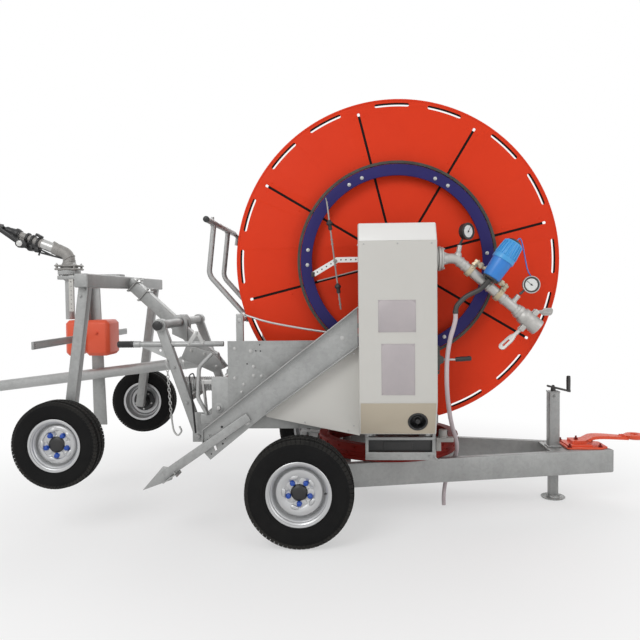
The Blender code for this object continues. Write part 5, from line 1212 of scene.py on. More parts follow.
def make_drive():
    """The ring on the near flange with its bolts, the chain laid round it, and the pinion below."""
    place = moved(DRUM.x, 0, DRUM.z) @ upright(RING_Y)
    ring = fresh()
    sheet_metal(ring, [circle(0, 0, 0.555, 256), circle(0, 0, 0.49, 256)], 0.012, place, 0.0016)
    piece("drive_ring_plate", ring, "drum", "ring_blue", ["drive_ring"], 30)
    heads = fresh()
    for angle in RING_BOLTS:
        turn = radians(angle)
        spot = DRUM + spoke(0.5165, turn)
        bolt(heads, spot + at(0, RING_Y - 0.0058, 0), (0, -1, 0), 0.0092, 0.25)
        round_bar(heads, spot + at(0, -0.5549, 0), spot + at(0, RING_Y + 0.0058, 0), 0.015, 18)
    piece("drive_ring_bolts", heads, "drum", "bright_steel")
    chain = fresh()
    count = 64
    pitch = 2 * pi / count
    phase = radians(180 / count - 90)
    plate = []
    for middle, first in ((0.0139, -90), (-0.0139, 90)):
        angles = [radians(first + 30 * step) for step in range(7)]
        plate += [(middle + 0.0076 * cos(angle), 0.0076 * sin(angle)) for angle in angles]
    for index in range(2 * count):
        turn = phase + pitch / 2 * index
        spot = moved(DRUM.x, RING_Y, DRUM.z) @ Matrix.Rotation(-turn, 4, "Y")
        stand = spot @ moved(0.5658, 0, 0) @ spun(90, "X")
        stand = stand @ spun(90, "Z")
        lane = 0.0092 if index % 2 == 0 else 0.0076
        for y in (-lane, lane):
            prism(chain, plate, 0.0015, stand @ moved(0, 0, y), 0)
        pin = stand @ moved(0.0139, 0, 0)
        round_bar(chain, pin @ at(0, 0, -0.0105), pin @ at(0, 0, 0.0105), 0.0034, 8)
        round_bar(chain, pin @ at(0, 0, -0.0066), pin @ at(0, 0, 0.0066), 0.006, 10)
    piece("drive_chain_links", chain, "drum", "chain_olive", ["drive_chain"], 30)
    teeth = []
    step = 2 * pi / 8
    for index in range(8):
        middle = radians(90) + step * index
        for share, radius in ((-0.17, 0.0608), (-0.115, 0.0665), (-0.08, 0.0725), (-0.045, 0.0755),
                (0.045, 0.0755), (0.08, 0.0725), (0.115, 0.0665), (0.17, 0.0608)):
            angle = middle + step * share
            teeth.append((radius * cos(angle), radius * sin(angle)))
    centre = moved(DRUM.x, 0, PINION_Z) @ upright(RING_Y)
    pinion = fresh()
    prism(pinion, teeth, 0.013, centre, 0.001)
    turned(pinion, mm(0, 12, 30, 12, 34, 10, 34, -10, 30, -12, 0, -12), outward(DRUM.x, RING_Y, PINION_Z), 40)
    cross_bar(pinion, DRUM.x, PINION_Z, -0.7125, -0.5815, 0.02, 32, 0.002)
    bolt(pinion, (DRUM.x, -0.582, PINION_Z), (0, 1, 0), 0.011, 0)
    piece("drive_pinion_wheel", pinion, "drive_pinion", "chain_olive", ["drive_pinion"], 30)
    box = fresh()
    block(box, (0.446, -0.839, 0.829), (0.664, -0.7255, 1.0275), 0.014, 3)
    block(box, (0.445, -0.84, 0.9225), (0.665, -0.725, 0.934), 0.003)
    for x in (0.47, 0.518, 0.592, 0.64):
        block(box, (x - 0.004, -0.84, 0.842), (x + 0.004, -0.83, 1.015), 0.002)
        for z in (0.91, 0.9465):
            bolt(box, (x, -0.735, z), (0, 0, 1 if z > 0.93 else -1), 0.006, 0)
    beam(box, (0.455, -0.713, 0.8785), (0.455, -0.713, 0.978), 0.034, 0.02, 0.003)
    turned(box, mm(21.5, 0, 40, 0, 44, -4, 44, -12, 21.5, -12, 21.5, 0),
        moved(DRUM.x, -0.72, PINION_Z) @ spun(-90, "X"), 40)
    piece("drive_gearbox_case", box, "turntable", "dark_steel", ["drive_gearbox"])


# Casing, turbine and inlet

def casing_profile(inset):
    front, back, bottom, top = CASING[2:]
    return [(back, bottom + inset), (-0.8, bottom + inset), (front + inset, bottom + UNDERCUT),
        (front + inset, top - 0.1), (-0.815, top - inset), (back, top - inset)]


def make_casing():
    """The moulded cover with its two plates, the air port and the screwed skirt behind the arm."""
    left, right, front, back, bottom, top = CASING
    middle, width = (left + right) / 2, right - left
    shell = fresh()
    prism(shell, casing_profile(0), width, facing_x(middle), 0.007, 4)
    hollow = fresh()
    inner = casing_profile(0.005)
    inner[0] = (back + 0.02, inner[0][1])
    inner[-1] = (back + 0.02, inner[-1][1])
    prism(hollow, inner, width - 0.01, facing_x(middle), 0)
    window = fresh()
    round_bar(window, (right - 0.05, INLET_Y, DRUM.z), (right + 0.05, INLET_Y, DRUM.z), 0.044, 48)
    port = fresh()
    cross_bar(port, PORT.x, PORT.z, -0.95, -0.78, 0.05, 48)
    groove = fresh()
    block(groove, (left - 0.01, front - 0.01, bottom + UNDERCUT - 0.0025),
        (right + 0.01, front + 0.0016, bottom + UNDERCUT), 0)
    shell = carve(shell, [hollow, window, port, groove])
    slope = Vector((0.07, UNDERCUT)).normalized()
    piece("casing_cover", shell, "turntable", "casing_white", ["casing"], 30)
    rim = fresh()
    stand = stand_on(PORT, (0, -slope.y, -slope.x))
    turned(rim, mm(43, 3, 45, 5, 53, 4, 55, 1.5, 55, -4, 43, -45, 43, 3), stand, 64)
    turned(rim, mm(0, -42, 43, -42, 43, -45, 0, -45), stand, 48)
    turned(rim, mm(0, 2, 12, 2, 15, -1, 17, -20, 24, -22, 24, -43, 0, -43), stand, 32)
    for turn in rounds(3, 30):
        beam(rim, stand @ polar(0.014, turn, -0.026), stand @ polar(0.044, turn, -0.026), 0.005, 0.005, 0.001)
    piece("casing_air_port", rim, "turntable", "black_plastic")
    lower = fresh()
    beam(lower, at(middle, -0.802, bottom + 0.005), at(middle, front + 0.0004, bottom + UNDERCUT - 0.0025),
        width - 0.016, 0.0014, 0.0005, side=(1, 0, 0))
    hole = fresh()
    cross_bar(hole, PORT.x, PORT.z, -0.95, -0.78, 0.051, 48)
    piece("casing_lower_panel", carve(lower, [hole]), "turntable", "panel_beige")
    # A thin separate hood over the sloping edge and the top. Its lighter white than the cover is painted
    # light on the faces turned up to the lamps.
    hood = fresh()
    beam(hood, at(middle, front - 0.0002, top - 0.0985), at(middle, -0.816, top - 0.0012), width - 0.01,
        0.0016, 0.0006, side=(1, 0, 0))
    block(hood, (left + 0.006, -0.814, top - 0.0006), (right - 0.006, back - 0.004, top + 0.0008), 0.0005)
    piece("casing_hood", hood, "turntable", "hood_white")
    under = fresh()
    for low, high in (((0.366, -0.648, 0.532), (0.772, -0.63, 0.548)),
            ((0.366, -0.648, 0.42), (0.384, -0.63, 0.533)), ((0.75, -0.648, 0.42), (0.772, -0.63, 0.533)),
            ((0.366, -0.65, 0.416), (0.772, -0.642, 0.462)), ((0.38, -0.78, 0.586), (0.4, -0.63, 0.596)),
            ((0.7, -0.78, 0.586), (0.72, -0.63, 0.596))):
        block(under, low, high, 0.0015)
    for x in (0.368, 0.752):
        block(under, (x, -0.648, 0.547), (x + 0.018, -0.63, 0.596), 0.0015)
    for x in (0.4, 0.56, 0.735):
        bolt(under, (x, -0.65, 0.44), (0, -1, 0), 0.007, 0.3)
    tube(under, rounded(mm(760, -655, 440, 785, -655, 415, 800, -655, 425, size=3), 0.008, 5), 0.0045, 3)
    piece("casing_under_frame", under, "turntable", "galvanised")
    tray = fresh()
    block(tray, (0.383, -0.634, 0.46), (0.751, -0.63, 0.533), 0.001)
    block(tray, (0.47, -0.638, 0.468), (0.64, -0.6335, 0.523), 0.002)
    piece("casing_under_tray", tray, "turntable", "black_plastic")
    motor = fresh()
    turned(motor, mm(0, 0, 26, 0, 28, 3, 28, 8, 24, 10, 24, 40, 22.5, 44, 0, 45), moved(0.812, -0.64, 0.548),
        36)
    block(motor, (0.772, -0.66, 0.522), (0.872, -0.62, 0.548), 0.004)
    block(motor, (0.772, -0.656, 0.47), (0.8, -0.624, 0.523), 0.003)
    piece("turntable_lock_case", motor, "turntable", "cast_grey")
    plates = fresh()
    for x0, x1, z0, z1 in ((0.436, 0.638, 1.168, 1.342), (0.452, 0.632, 0.827, 1.105)):
        block(plates, (x0, front - 0.0016, z0), (x1, front + 0.001, z1), 0.0006)
        for a, b, c, d in ((x0, x1, z0, z0 + 0.003), (x0, x1, z1 - 0.003, z1), (x0, x0 + 0.003, z0, z1),
                (x1 - 0.003, x1, z0, z1)):
            block(plates, (a, front - 0.0022, c), (b, front - 0.0008, d), 0.0004)
        for x in (x0 + 0.008, x1 - 0.008):
            for z in (z0 + 0.008, z1 - 0.008):
                turned(plates, mm(0, 2.8, 1.6, 2.6, 2.6, 1.4, 2.8, 0),
                    moved(x, front - 0.0014, z) @ spun(90, "X"), 16)
    piece("casing_plates", plates, "turntable", "plate_grey")
    skirt = fresh()
    outline = mm(333, 584, 333, 1090, -150, 738, -196, 702, -190, 690)
    sheet_metal(skirt, [outline], 0.005, upright(-0.765), 0.0008)
    beam(skirt, (0.331, -0.756, 0.586), (-0.188, -0.756, 0.692), 0.02, 0.003, 0.001)
    piece("casing_skirt", skirt, "turntable", "casing_white")
    screws = fresh()
    for x, z in ((-0.14, 0.742), (0.088, 0.91), (0.27, 0.612), (0.026, 0.66), (0.305, 1.045), (0.3, 0.64)):
        cross_bar(screws, x, z, -0.767, -0.772, 0.0052, 16, end_radius=0.004)
        cross_bar(screws, x, z, -0.7715, -0.7724, 0.0022, 6)
    for x in (left + 0.03, middle, right - 0.03):
        z, y = top - 0.115, front - 0.0002
        cross_bar(screws, x, z, y + 0.001, y - 0.003, 0.005, 16, end_radius=0.004)
    for z in (0.9, 1.3, 1.65):
        for x, out in ((left, -1), (right, 1)):
            round_bar(screws, (x - out * 0.001, -0.725, z), (x + out * 0.0035, -0.725, z), 0.006, 16,
                end_radius=0.0045)
    piece("casing_screws", screws, "turntable", "bright_steel")
    stay = fresh()
    for x in (0.4, 0.69):
        beam(stay, (x, -0.712, 0.63), (x, -0.712, 1.75), 0.03, 0.004, 0.0015, side=(1, 0, 0))
    for z in (0.9, 1.2, 1.74):
        beam(stay, (0.345, -0.712, z), (0.739, -0.712, z), 0.004, 0.026, 0.0012)
    piece("casing_back_frame", stay, "turntable", "galvanised")


def make_turbine():
    centre = at(0.56, -0.79, 1.54)
    shape = fresh()
    stand = Matrix.Translation(centre) @ spun(90, "X")
    turned(shape, mm(0, 40, 30, 39.5, 34, 32, 90, 30, 100, 25, 105, 16, 115, 14, 115, 2, 105, 0, 105, -30,
        115, -33, 115, -48, 108, -50, 0, -50), stand, 72)
    bolt_circle(shape, centre + at(0, -0.0138, 0), (0, -1, 0), 0.109, 10, 0, 0.0055, 0.3)
    round_bar(shape, (0.6, INLET_Y, DRUM.z), (0.76, INLET_Y, DRUM.z), 0.03, 36)
    out = moved(0, INLET_Y, DRUM.z) @ spun(90, "Y")
    turned(shape, mm(0, 756, 62, 756, 66, 758, 66, 763, 62, 765, 36, 765, 36, 767.5, 64, 767.5, 68, 769.5,
        68, 780, 66, 781.8, 0, 781.8), out, 64)
    bolt_circle(shape, at(0.7558, INLET_Y, DRUM.z), (-1, 0, 0), 0.054, 6, 30, 0.0066, 0.3)
    piece("water_turbine_housing", shape, "turntable", "aluminium", ["water_turbine"])


def pipe_frame(along, up=0):
    """A frame on the inlet pipe: Z runs down the pipe, X points up from it."""
    spot = INLET_BEND + INLET_RUN * along + INLET_UP * up
    side = INLET_RUN.cross(INLET_UP)
    return frame_of(spot, INLET_UP, side, INLET_RUN)


def make_inlet():
    """The flange and elbow, the pipe with its clamps, and the cast cup that takes the supply hose."""
    body = fresh()
    line = rounded([(0.783, INLET_Y, DRUM.z), INLET_BEND, INLET_END - INLET_RUN * 0.06], 0.052, 12)
    tube(body, line, 0.028, 8)
    out = moved(0, INLET_Y, DRUM.z) @ spun(90, "Y")
    turned(body, mm(27, 782.4, 61.5, 782.4, 64, 784.5, 64, 793, 61.5, 795.5, 37, 796.5, 33.5, 804, 31, 820,
        27, 821, 27, 782.4), out, 64)
    for along in (0.03, 0.062, 0.24, 0.345):
        turned(body, mm(27.2, -5, 30.5, -5, 31.8, -3.5, 31.8, 3.5, 30.5, 5, 27.2, 5, 27.2, -5),
            pipe_frame(along), 48)
    length = (INLET_END - INLET_BEND).length
    cup = pipe_frame(length)
    turned(body, mm(27, -130, 33, -130, 35, -115, 38, -113, 38, -97, 36, -95, 38, -88, 44.5, -80, 46, -70,
        46, -56, 44, -53, 44, -20, 46, -17, 46, 27, 44, 29.8, 40, 30, 38.2, 28, 38.2, -68.5, 27, -68.5, 27,
        -130), cup, 64)
    for sign in (-1, 1):
        middle = INLET_END - INLET_RUN * 0.035 + INLET_UP * sign * 0.052
        rise = INLET_UP * sign
        for y in (-0.017, 0.017):
            shift = at(0, y, 0)
            beam(body, middle - rise * 0.016 + shift, middle + rise * 0.0195 + shift, 0.0075, 0.029, 0.003, 3)
    seat = INLET_BEND + INLET_RUN * (length - 0.165) + INLET_UP * 0.02
    turned(body, mm(0, 0, 19, 0, 17, 10, 13.5, 16, 13.5, 47, 0, 47), stand_on(seat, INLET_UP), 32)
    neck = INLET_BEND + at(0.01, 0, 0.01)
    stub = INLET_BEND + at(0.022, 0, 0.072)
    turned(body, mm(0, 0, 22, 0, 19, 18, 13, 26, 13, 62.5, 0, 62.5), stand_on(neck, stub - neck), 32)
    piece("inlet_pipe_run", body, "turntable", "aluminium", ["inlet_pipe"], 35)
    heads = fresh()
    bolt_circle(heads, at(0.7956, INLET_Y, DRUM.z), (1, 0, 0), 0.052, 6, 30, 0.007, 0.5)
    for y in (-0.018, 0.018):
        bolt(heads, INLET_BEND + INLET_RUN * 0.24 + INLET_UP * 0.03 + at(0, y, 0), INLET_UP, 0.0048, 0.3)
    piece("inlet_bolts", heads, "turntable", "bright_steel")


def make_cam_levers():
    """Cast paddles: the upper one broad and rounded, the lower one a long spatula with a slot."""
    shapes = {"upper": (1, INLET_RUN * 0.75 + INLET_UP * 0.66, 0.085),
        "lower": (-1, INLET_RUN * -0.1 - INLET_UP, 0.15)}
    for where, (sign, away, reach) in shapes.items():
        pin = INLET_END - INLET_RUN * 0.035 + INLET_UP * sign * 0.06
        run = away.normalized()
        across = at(0, 1, 0)
        stand = frame_of(pin, run, across, run.cross(across)) @ spun(-52, "X")
        lever = fresh()
        end = reach * away.length * 1.06
        grow = 0.0245 if where == "upper" else 0.021
        half = [(0.01, 0.0095), (end * 0.3, 0.01), (end * 0.42, grow * 0.86), (end * 0.55, grow),
            (end * 0.9, grow), (end * 0.97, grow * 0.72), (end, grow * 0.3)]
        outline = [(x, -y) for x, y in half] + [(x, y) for x, y in reversed(half)]
        if where == "lower":
            slot = [(end * 0.58, -0.005), (end * 0.84, -0.005), (end * 0.86, 0), (end * 0.84, 0.005),
                (end * 0.58, 0.005), (end * 0.56, 0)]
            sheet_metal(lever, [outline, slot], 0.009, stand, 0.0022)
        else:
            sheet_metal(lever, [outline], 0.01, stand, 0.0028)
            beam(lever, stand @ at(end * 0.4, 0, 0), stand @ at(end * 0.9, 0, 0), 0.01, 0.015, 0.004, 3)
        round_bar(lever, pin - across * 0.011, pin + across * 0.011, 0.0122, 28, 0.0015)
        round_bar(lever, pin - across * 0.0215, pin + across * 0.0215, 0.0039, 16)
        piece(f"cam_lever_{where}_paddle", lever, f"cam_lever_{where}", "aluminium", [f"cam_lever_{where}"],
            35)


def make_fittings():
    """Brass saddles and elbows on the pipe, where the valve's links start."""
    for where, along, sign in (("upper", 0.085, 1), ("lower", 0.29, -1)):
        shape = fresh()
        turned(shape, mm(28.8, 1, 35, 1, 37, 3, 37, 27, 35, 29, 28.8, 29, 28.8, 1), pipe_frame(along), 40)
        seat = INLET_BEND + INLET_RUN * (along + 0.015)
        stand = stand_on(seat + INLET_UP * 0.034, INLET_UP)
        turned(shape, mm(0, 0, 18.5, 0, 18.5, 11, 14, 13, 14, 20, 16.5, 21.5, 16.5, 33, 14, 35.5, 0, 36),
            stand, 6 if where == "upper" else 8)
        elbow = seat + INLET_UP * 0.058
        run = INLET_RUN * sign
        turned(shape, mm(0, 0, 12.8, 0, 12.8, 18, 15, 19, 15, 20, 0, 20), stand_on(elbow, run), 28)
        hexagon(shape, elbow + run * 0.02, elbow + run * 0.039, 0.0188)
        turned(shape, mm(0, 0, 15, 0, 18.5, -2, 18.5, -10, 0, -11), stand_on(elbow + run * 0.01, run), 6)
        for y in (-0.033, 0.033):
            bolt(shape, seat + at(0, y, 0) + INLET_UP * 0.012, INLET_UP, 0.0052, 0.6)
        piece(f"bypass_fitting_{where}_brass", shape, "turntable", "brass", [f"bypass_fitting_{where}"], 30)


VALVE_START = INLET_BEND + INLET_RUN * 0.205 + INLET_UP * 0.036 + at(0, -0.06, 0)
VALVE_END = VALVE_START + at(0.125, 0, 0.185)


def make_valve():
    """The regulating valve: a smooth bowl, a ribbed cap with a top knob, and its links."""
    run = (VALVE_END - VALVE_START).normalized()
    length = (VALVE_END - VALVE_START).length
    stand = stand_on(VALVE_START, run)
    bowl = fresh()
    turned(bowl, mm(0, -2, 43, -2, 48, 2, 50, 10, 55.5, 95, 56, 103, 56, 108, 0, 108), stand, 64)
    piece("valve_bowl", bowl, "turntable", "valve_blue", ["control_valve"], 35)
    cap = fresh()
    turned(cap, [(0, 0.106), (0.06, 0.106), (0.062, 0.108), (0.062, 0.12), (0.06, 0.133), (0.057, 0.135),
        (0.048, length - 0.01), (0.044, length - 0.002), (0, length - 0.002)], stand, 64)
    for turn in rounds(18):
        first = polar(0.056, turn, 0.134)
        last = polar(0.047, turn, length - 0.008)
        side = stand.to_3x3() @ at(-sin(turn), cos(turn), 0)
        beam(cap, stand @ first, stand @ last, 0.0085, 0.013, 0.0022, side=side)
    piece("valve_cap", cap, "turntable", "cap_blue", (), 35)
    black = fresh()
    turned(black, mm(0, -14, 38, -14, 43, -11, 44, -6, 43, -1.5, 0, -1.5), stand, 48)
    turned(black, [(0, length + 0.012), (0.025, length + 0.0118), (0.03, length + 0.008),
        (0.038, length + 0.004), (0.04, length), (0.039, length - 0.003), (0, length - 0.003)], stand, 48)
    for turn in rounds(12):
        spot = stand @ polar(0.042, turn, -0.0075)
        axis = stand.to_3x3() @ at(0, 0, 1)
        round_bar(black, spot - axis * 0.006, spot + axis * 0.005, 0.0042, 10)
    piece("valve_foot_and_knob", black, "turntable", "black_plastic")
    links = fresh()
    for where, along, sign in (("upper", 0.085, 1), ("lower", 0.29, -1)):
        elbow = INLET_BEND + INLET_RUN * (along + 0.015 + sign * 0.04) + INLET_UP * 0.058
        inside = VALVE_START + run * (0.02 if where == "upper" else 0.045)
        tube(links, smooth_line([elbow, elbow + INLET_RUN * sign * 0.012 + at(0, -0.01, 0), inside], 6),
            0.01, 4)
    piece("valve_links", links, "turntable", "brass")
    bracket = fresh()
    foot = VALVE_START - run * 0.008
    beam(bracket, foot + at(0, 0.03, 0), foot + at(-0.012, 0.044, -0.012), 0.01, 0.034, 0.002)
    piece("valve_bracket", bracket, "turntable", "dark_steel")
    thin = fresh()
    top = stand @ at(0.03, -0.01, length + 0.004)
    gauge = INLET_END - INLET_RUN * 0.165 + INLET_UP * 0.078 + at(0.058, 0.018, 0.05)
    tube(thin, smooth_line([top, top + at(0.03, -0.004, 0.018), gauge + at(-0.02, -0.02, 0.09),
        gauge + at(0.004, -0.006, 0.046)], 8), 0.0034, 3)
    piece("valve_sense_tube", thin, "turntable", "valve_blue")


def make_gauges():
    """Two dial gauges: case and bezel, white face with ticks, pointer, and their stems."""
    lower_stub = INLET_END - INLET_RUN * 0.165 + INLET_UP * 0.078
    places = {"upper": (INLET_BEND + at(0.0225, 0, 0.0758), at(0.034, -0.004, 0.07), 38, 35),
        "lower": (lower_stub, at(0.058, 0, 0.05), 0, -50)}
    for where, (base, reach, turn, hand) in places.items():
        centre = base + reach
        facing = at(sin(radians(turn)), -cos(radians(turn)), 0)
        side = at(0, 0, 1).cross(facing) * -1
        stand = frame_of(centre, side, at(0, 0, 1), side.cross(at(0, 0, 1)))
        out = 1 if (stand.to_3x3() @ at(0, 0, 1)).dot(facing) > 0 else -1
        case = fresh()
        profile = mm(0, -18, 40, -18, 44, -15, 45, -10, 45, 6, 46.8, 9, 47, 15, 46.2, 18, 42.5, 18, 41.5, 15,
            0, 14)
        turned(case, [(radius, out * height) for radius, height in profile], stand, 56)
        stem = stand_on(base - reach * 0.02, reach)
        length = reach.length
        turned(case, [(0, 0), (0.0078, 0), (0.0078, length * 0.18), (0, length * 0.18)], stem, 6)
        round_bar(case, base + reach * 0.15, centre, 0.0065, 20)
        look = "black_plastic" if where == "upper" else "dark_steel"
        piece(f"pressure_gauge_{where}_case", case, "turntable", look, [f"pressure_gauge_{where}"], 35)
        if where == "lower":
            bezel = fresh()
            turned(bezel, [(0.0412, out * 0.015), (0.043, out * 0.0186), (0.047, out * 0.019),
                (0.0482, out * 0.015), (0.0482, out * 0.006), (0.047, out * 0.005), (0.046, out * 0.006),
                (0.0412, out * 0.015)], stand, 56)
            piece("pressure_gauge_lower_bezel", bezel, "turntable", "bright_steel")
        dial = fresh()
        turned(dial, [(0, out * 0.0148), (0.041, out * 0.0148), (0.041, out * 0.014), (0, out * 0.014)],
            stand, 48)
        piece(f"pressure_gauge_{where}_dial", dial, "turntable", "dial_white")
        marks = fresh()
        for index in range(21):
            angle = radians(225 - 13.5 * index)
            inner = 0.03 if index % 5 == 0 else 0.0325
            first = stand @ polar(inner, angle, out * 0.015)
            last = stand @ polar(0.0365, angle, out * 0.015)
            beam(marks, first, last, 0.0012 if index % 5 == 0 else 0.0007, 0.0004, 0,
                side=facing.cross(last - first))
        angle = radians(90 + hand)
        tip = stand @ polar(0.03, angle, out * 0.016)
        tail = stand @ at(-0.01 * cos(angle), -0.01 * sin(angle), out * 0.016)
        beam(marks, tail, tip, 0.0022, 0.0007, 0, side=facing.cross(tip - tail))
        hub = stand @ at(0, 0, out * 0.0148)
        round_bar(marks, hub, hub + facing * 0.0026, 0.0042, 20)
        piece(f"pressure_gauge_{where}_marks", marks, "turntable", "black_plastic")


# Drain hose, levers, screw and guide

DRAIN_ROUTE = mm(862, -790, 1262, 861.5, -790, 1232, 852, -790, 1190, 832, -790, 1120, 815, -800, 1020, 812,
    -800, 900, 825, -750, 780, 855, -640, 660, 890, -500, 570, 930, -360, 480, 950, -275, 400, 940, -245,
    330, 910, -225, 250, 885, -215, 160, 875, -212, 80, 875, -212, 16, size=3)
DRAIN_RADIUS = 0.0125


def make_drain_hose():
    """The drain hose, and the dark tail from the valve's foot that it hangs from."""
    line = smooth_line(DRAIN_ROUTE, 8)
    shape = fresh()
    tube(shape, line, DRAIN_RADIUS, 8)
    hose = piece("drain_hose_tube", shape, "turntable", "drain_grey", ["drain_hose"])
    length = sum(((after - before).length for before, after in zip(line, line[1:])))
    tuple(DRAIN_ROUTE[0])
    [tuple(point) for point in line]
    spout = fresh()
    top = Vector(DRAIN_ROUTE[0])
    tube(spout, smooth_line([VALVE_START + at(-0.004, 0.014, -0.01), VALVE_START + at(-0.05, 0.036, -0.062),
        top + at(0.06, 0.004, 0.095), top + at(0.012, 0, 0.05), top + at(0.001, 0, 0.02),
        top + at(0, 0, 0.0008)], 6), 0.014, 6)
    turned(spout, mm(12, 0, 15, 0, 15.8, 2, 15.8, 14, 14.5, 16, 12, 16, 12, 0),
        Matrix.Translation(top + at(0, 0, 0.001)), 32)
    piece("drain_spout", spout, "turntable", "dark_steel")


def make_levers():
    """The gear lever in its gate and the perforated shut-off strap with its rods and knobs."""
    x, y, z = 0.786, -0.78, 1.01
    gate = fresh()
    outline = mm(756, 932, 772, 932, 776, 985, 796, 995, 796, 1025, 776, 1035, 772, 1088, 756, 1088)
    sheet_metal(gate, [outline, circle(0.764, 0.95, 0.0035, 14), circle(0.764, 1.07, 0.0035, 14)], 0.0058,
        upright(-0.797), 0.0008)
    block(gate, (0.7545, -0.8, 0.932), (0.7575, -0.77, 1.088), 0.001)
    for height in (0.962, 0.985, 1.04, 1.06):
        cross_bar(gate, 0.764, height, -0.801, -0.778, 0.0045, 14, 0.0008)
    cross_bar(gate, x, z, -0.796, -0.77, 0.0058, 20, 0.001)
    for height in (0.95, 1.07):
        bolt(gate, (0.7571, -0.78, height), (1, 0, 0), 0.0062, 0.3)
    piece("gear_lever_gate", gate, "turntable", "dark_steel")
    lever = fresh()
    turned(lever, mm(6.4, -8, 12, -8, 13, -6.5, 13, 12, 12, 13.6, 6.4, 13.6, 6.4, -8),
        moved(x, y, z) @ spun(90, "X"), 36)
    round_bar(lever, (x + 0.0105, y, z), (0.868, y, z), 0.0062, 20)
    piece("gear_lever_shank", lever, "gear_lever", "bright_steel", ["gear_lever"])
    grip = fresh()
    turned(grip, mm(0, 0, 10, 0, 12.5, 3, 13, 20, 14, 30, 13, 60, 14, 76, 13, 84, 8, 88, 0, 88.5),
        stand_on((0.862, y, z), (0.088, 0, 0.006)), 36)
    piece("gear_lever_grip", grip, "gear_lever", "black_plastic")
    y = -0.6968
    strap = fresh()
    for start, end in (((0.075, 1.488), (0.22, 1.573)), ((0.205, 1.57), (0.485, 1.572))):
        first, last = Vector((start[0], start[1])), Vector((end[0], end[1]))
        run = (last - first).normalized()
        up = Vector((-run.y, run.x)) * 0.0148
        outline = [tuple(first - up), tuple(last - up), tuple(last + up), tuple(first + up)]
        holes = [circle(*first + run * share, 0.0042, 16) for share in (0.03, 0.06, 0.09, 0.12)]
        if start[0] > 0.2:
            holes = [circle(*first + run * share, 0.0042, 16) for share in (0.03, 0.058, 0.086, 0.114, 0.2)]
        sheet_metal(strap, [outline] + holes, 0.0048, upright(y + (0 if start[0] < 0.2 else -0.0001)), 0.0006)
    piece("shutoff_strap", strap, "turntable", "hood_white", ["shutoff_arm"], 30)
    backing = fresh()
    beam(backing, (0.088, y + 0.0036, 1.4956), (0.212, y + 0.0036, 1.5683), 0.0016, 0.018, 0.0004)
    beam(backing, (0.212, y + 0.0036, 1.57), (0.47, y + 0.0036, 1.5719), 0.0016, 0.018, 0.0004)
    piece("shutoff_backing", backing, "turntable", "dark_steel")
    rods = fresh()
    low, high = at(0.232, y - 0.004, 1.29), at(0.158, y - 0.004, 1.9)
    round_bar(rods, low, high, 0.0046, 16, 0.001)
    round_bar(rods, high - at(0, 0, 0.004), high + at(-0.006, 0, 0.02), 0.003, 12)
    round_bar(rods, (0.1, y - 0.002, 1.452), (0.332, y - 0.002, 1.51), 0.003, 12)
    for share in (0.04, 0.09, 0.4, 0.44, 0.6, 0.64):
        spot = low.lerp(high, share)
        hexagon(rods, spot, spot + (high - low).normalized() * 0.008, 0.008)
    bolt(rods, (0.204, y - 0.002, 1.564), (0, -1, 0), 0.009, 0.5)
    piece("shutoff_rods", rods, "turntable", "cast_grey")
    knobs = fresh()
    for share in (0.15, 0.735):
        start = low.lerp(high, share)
        turned(knobs, mm(0, 0, 10, 0, 11.8, 6, 10.5, 24, 15, 30, 18.5, 34, 18.5, 42, 15, 46, 10.5, 50, 9.5,
            56, 0, 57), stand_on(start, high - low), 8)
    block(knobs, (0.066, y - 0.006, 1.474), (0.086, y + 0.006, 1.504), 0.004, 3)
    piece("shutoff_knobs", knobs, "turntable", "black_plastic")


def make_screw_and_guide():
    """The level-wind screw, drawn with plain grooves, and the carriage that lays the hose."""
    x, z = SCREW_X, SCREW_Z
    screw = fresh()
    turned(screw, mm(0, 716.4, 19.5, 716.4, 20, 715.5) + [(0.02 if k % 2 else 0.0182, 0.66 - 0.0165 * k)
        for k in range(81)] + mm(20, -715.5, 19.5, -716.4, 0, -716.4), outward(x, -1e-9, z), 32)
    for side in (-1, 1):
        cross_bar(screw, x, z, side * 0.71, side * 0.7298, 0.0118, 24, 0.0015)
    piece("lead_screw_shaft", screw, "lead_screw", "bright_steel", ["lead_screw"])
    guide = fresh()
    block(guide, (x - 0.034, -0.31, 0.697), (x + 0.034, -0.19, 0.91), 0.007, 3)
    stand = moved(0, HOSE_LINE_Y, HOSE_LINE_Z) @ spun(90, "Y")
    outer = fresh()
    turned(outer, mm(38, -800, 43, -800, 43.5, -798.5, 43.5, -401.5, 43, -400, 38, -400, 38, -800), stand, 56)
    bores = []
    for height, radius in ((z, 0.0212), (GUIDE_ROD_Z, 0.0146)):
        bore = fresh()
        cross_bar(bore, x, height, -0.4, -0.1, radius, 32)
        bores.append(bore)
    bore = fresh()
    round_bar(bore, (-0.9, HOSE_LINE_Y, HOSE_LINE_Z), (-0.3, HOSE_LINE_Y, HOSE_LINE_Z), 0.0384, 56)
    guide = carve(guide, [bore] + bores)
    for y in (-0.3104, -0.1896):
        turned(guide, mm(21.4, -2, 29, -2, 29, 2, 21.4, 2, 21.4, -2), outward(x, y, z), 32)
        turned(guide, mm(14.8, -2, 22, -2, 22, 2, 14.8, 2, 14.8, -2), outward(x, y, GUIDE_ROD_Z), 32)
    piece("hose_guide_block", guide, "hose_guide", "galvanised", ["hose_guide"])
    for ring in range(21):
        place = -0.79 + 0.0135 * ring
        turned(outer, [(0.0432, place - 0.0048), (0.0448, place - 0.0034), (0.0464, place),
            (0.0448, place + 0.0034), (0.0432, place + 0.0048), (0.0432, place - 0.0048)], stand, 40)
    for y in (-0.302, -0.198):
        bolt(outer, (x - 0.0342, y, 0.905 - 0.03), (-1, 0, 0), 0.0075, 0.3)
        bolt(outer, (x - 0.0342, y, 0.715), (-1, 0, 0), 0.0075, 0.3)
    piece("hose_guide_sleeve", outer, "hose_guide", "galvanised_tube")


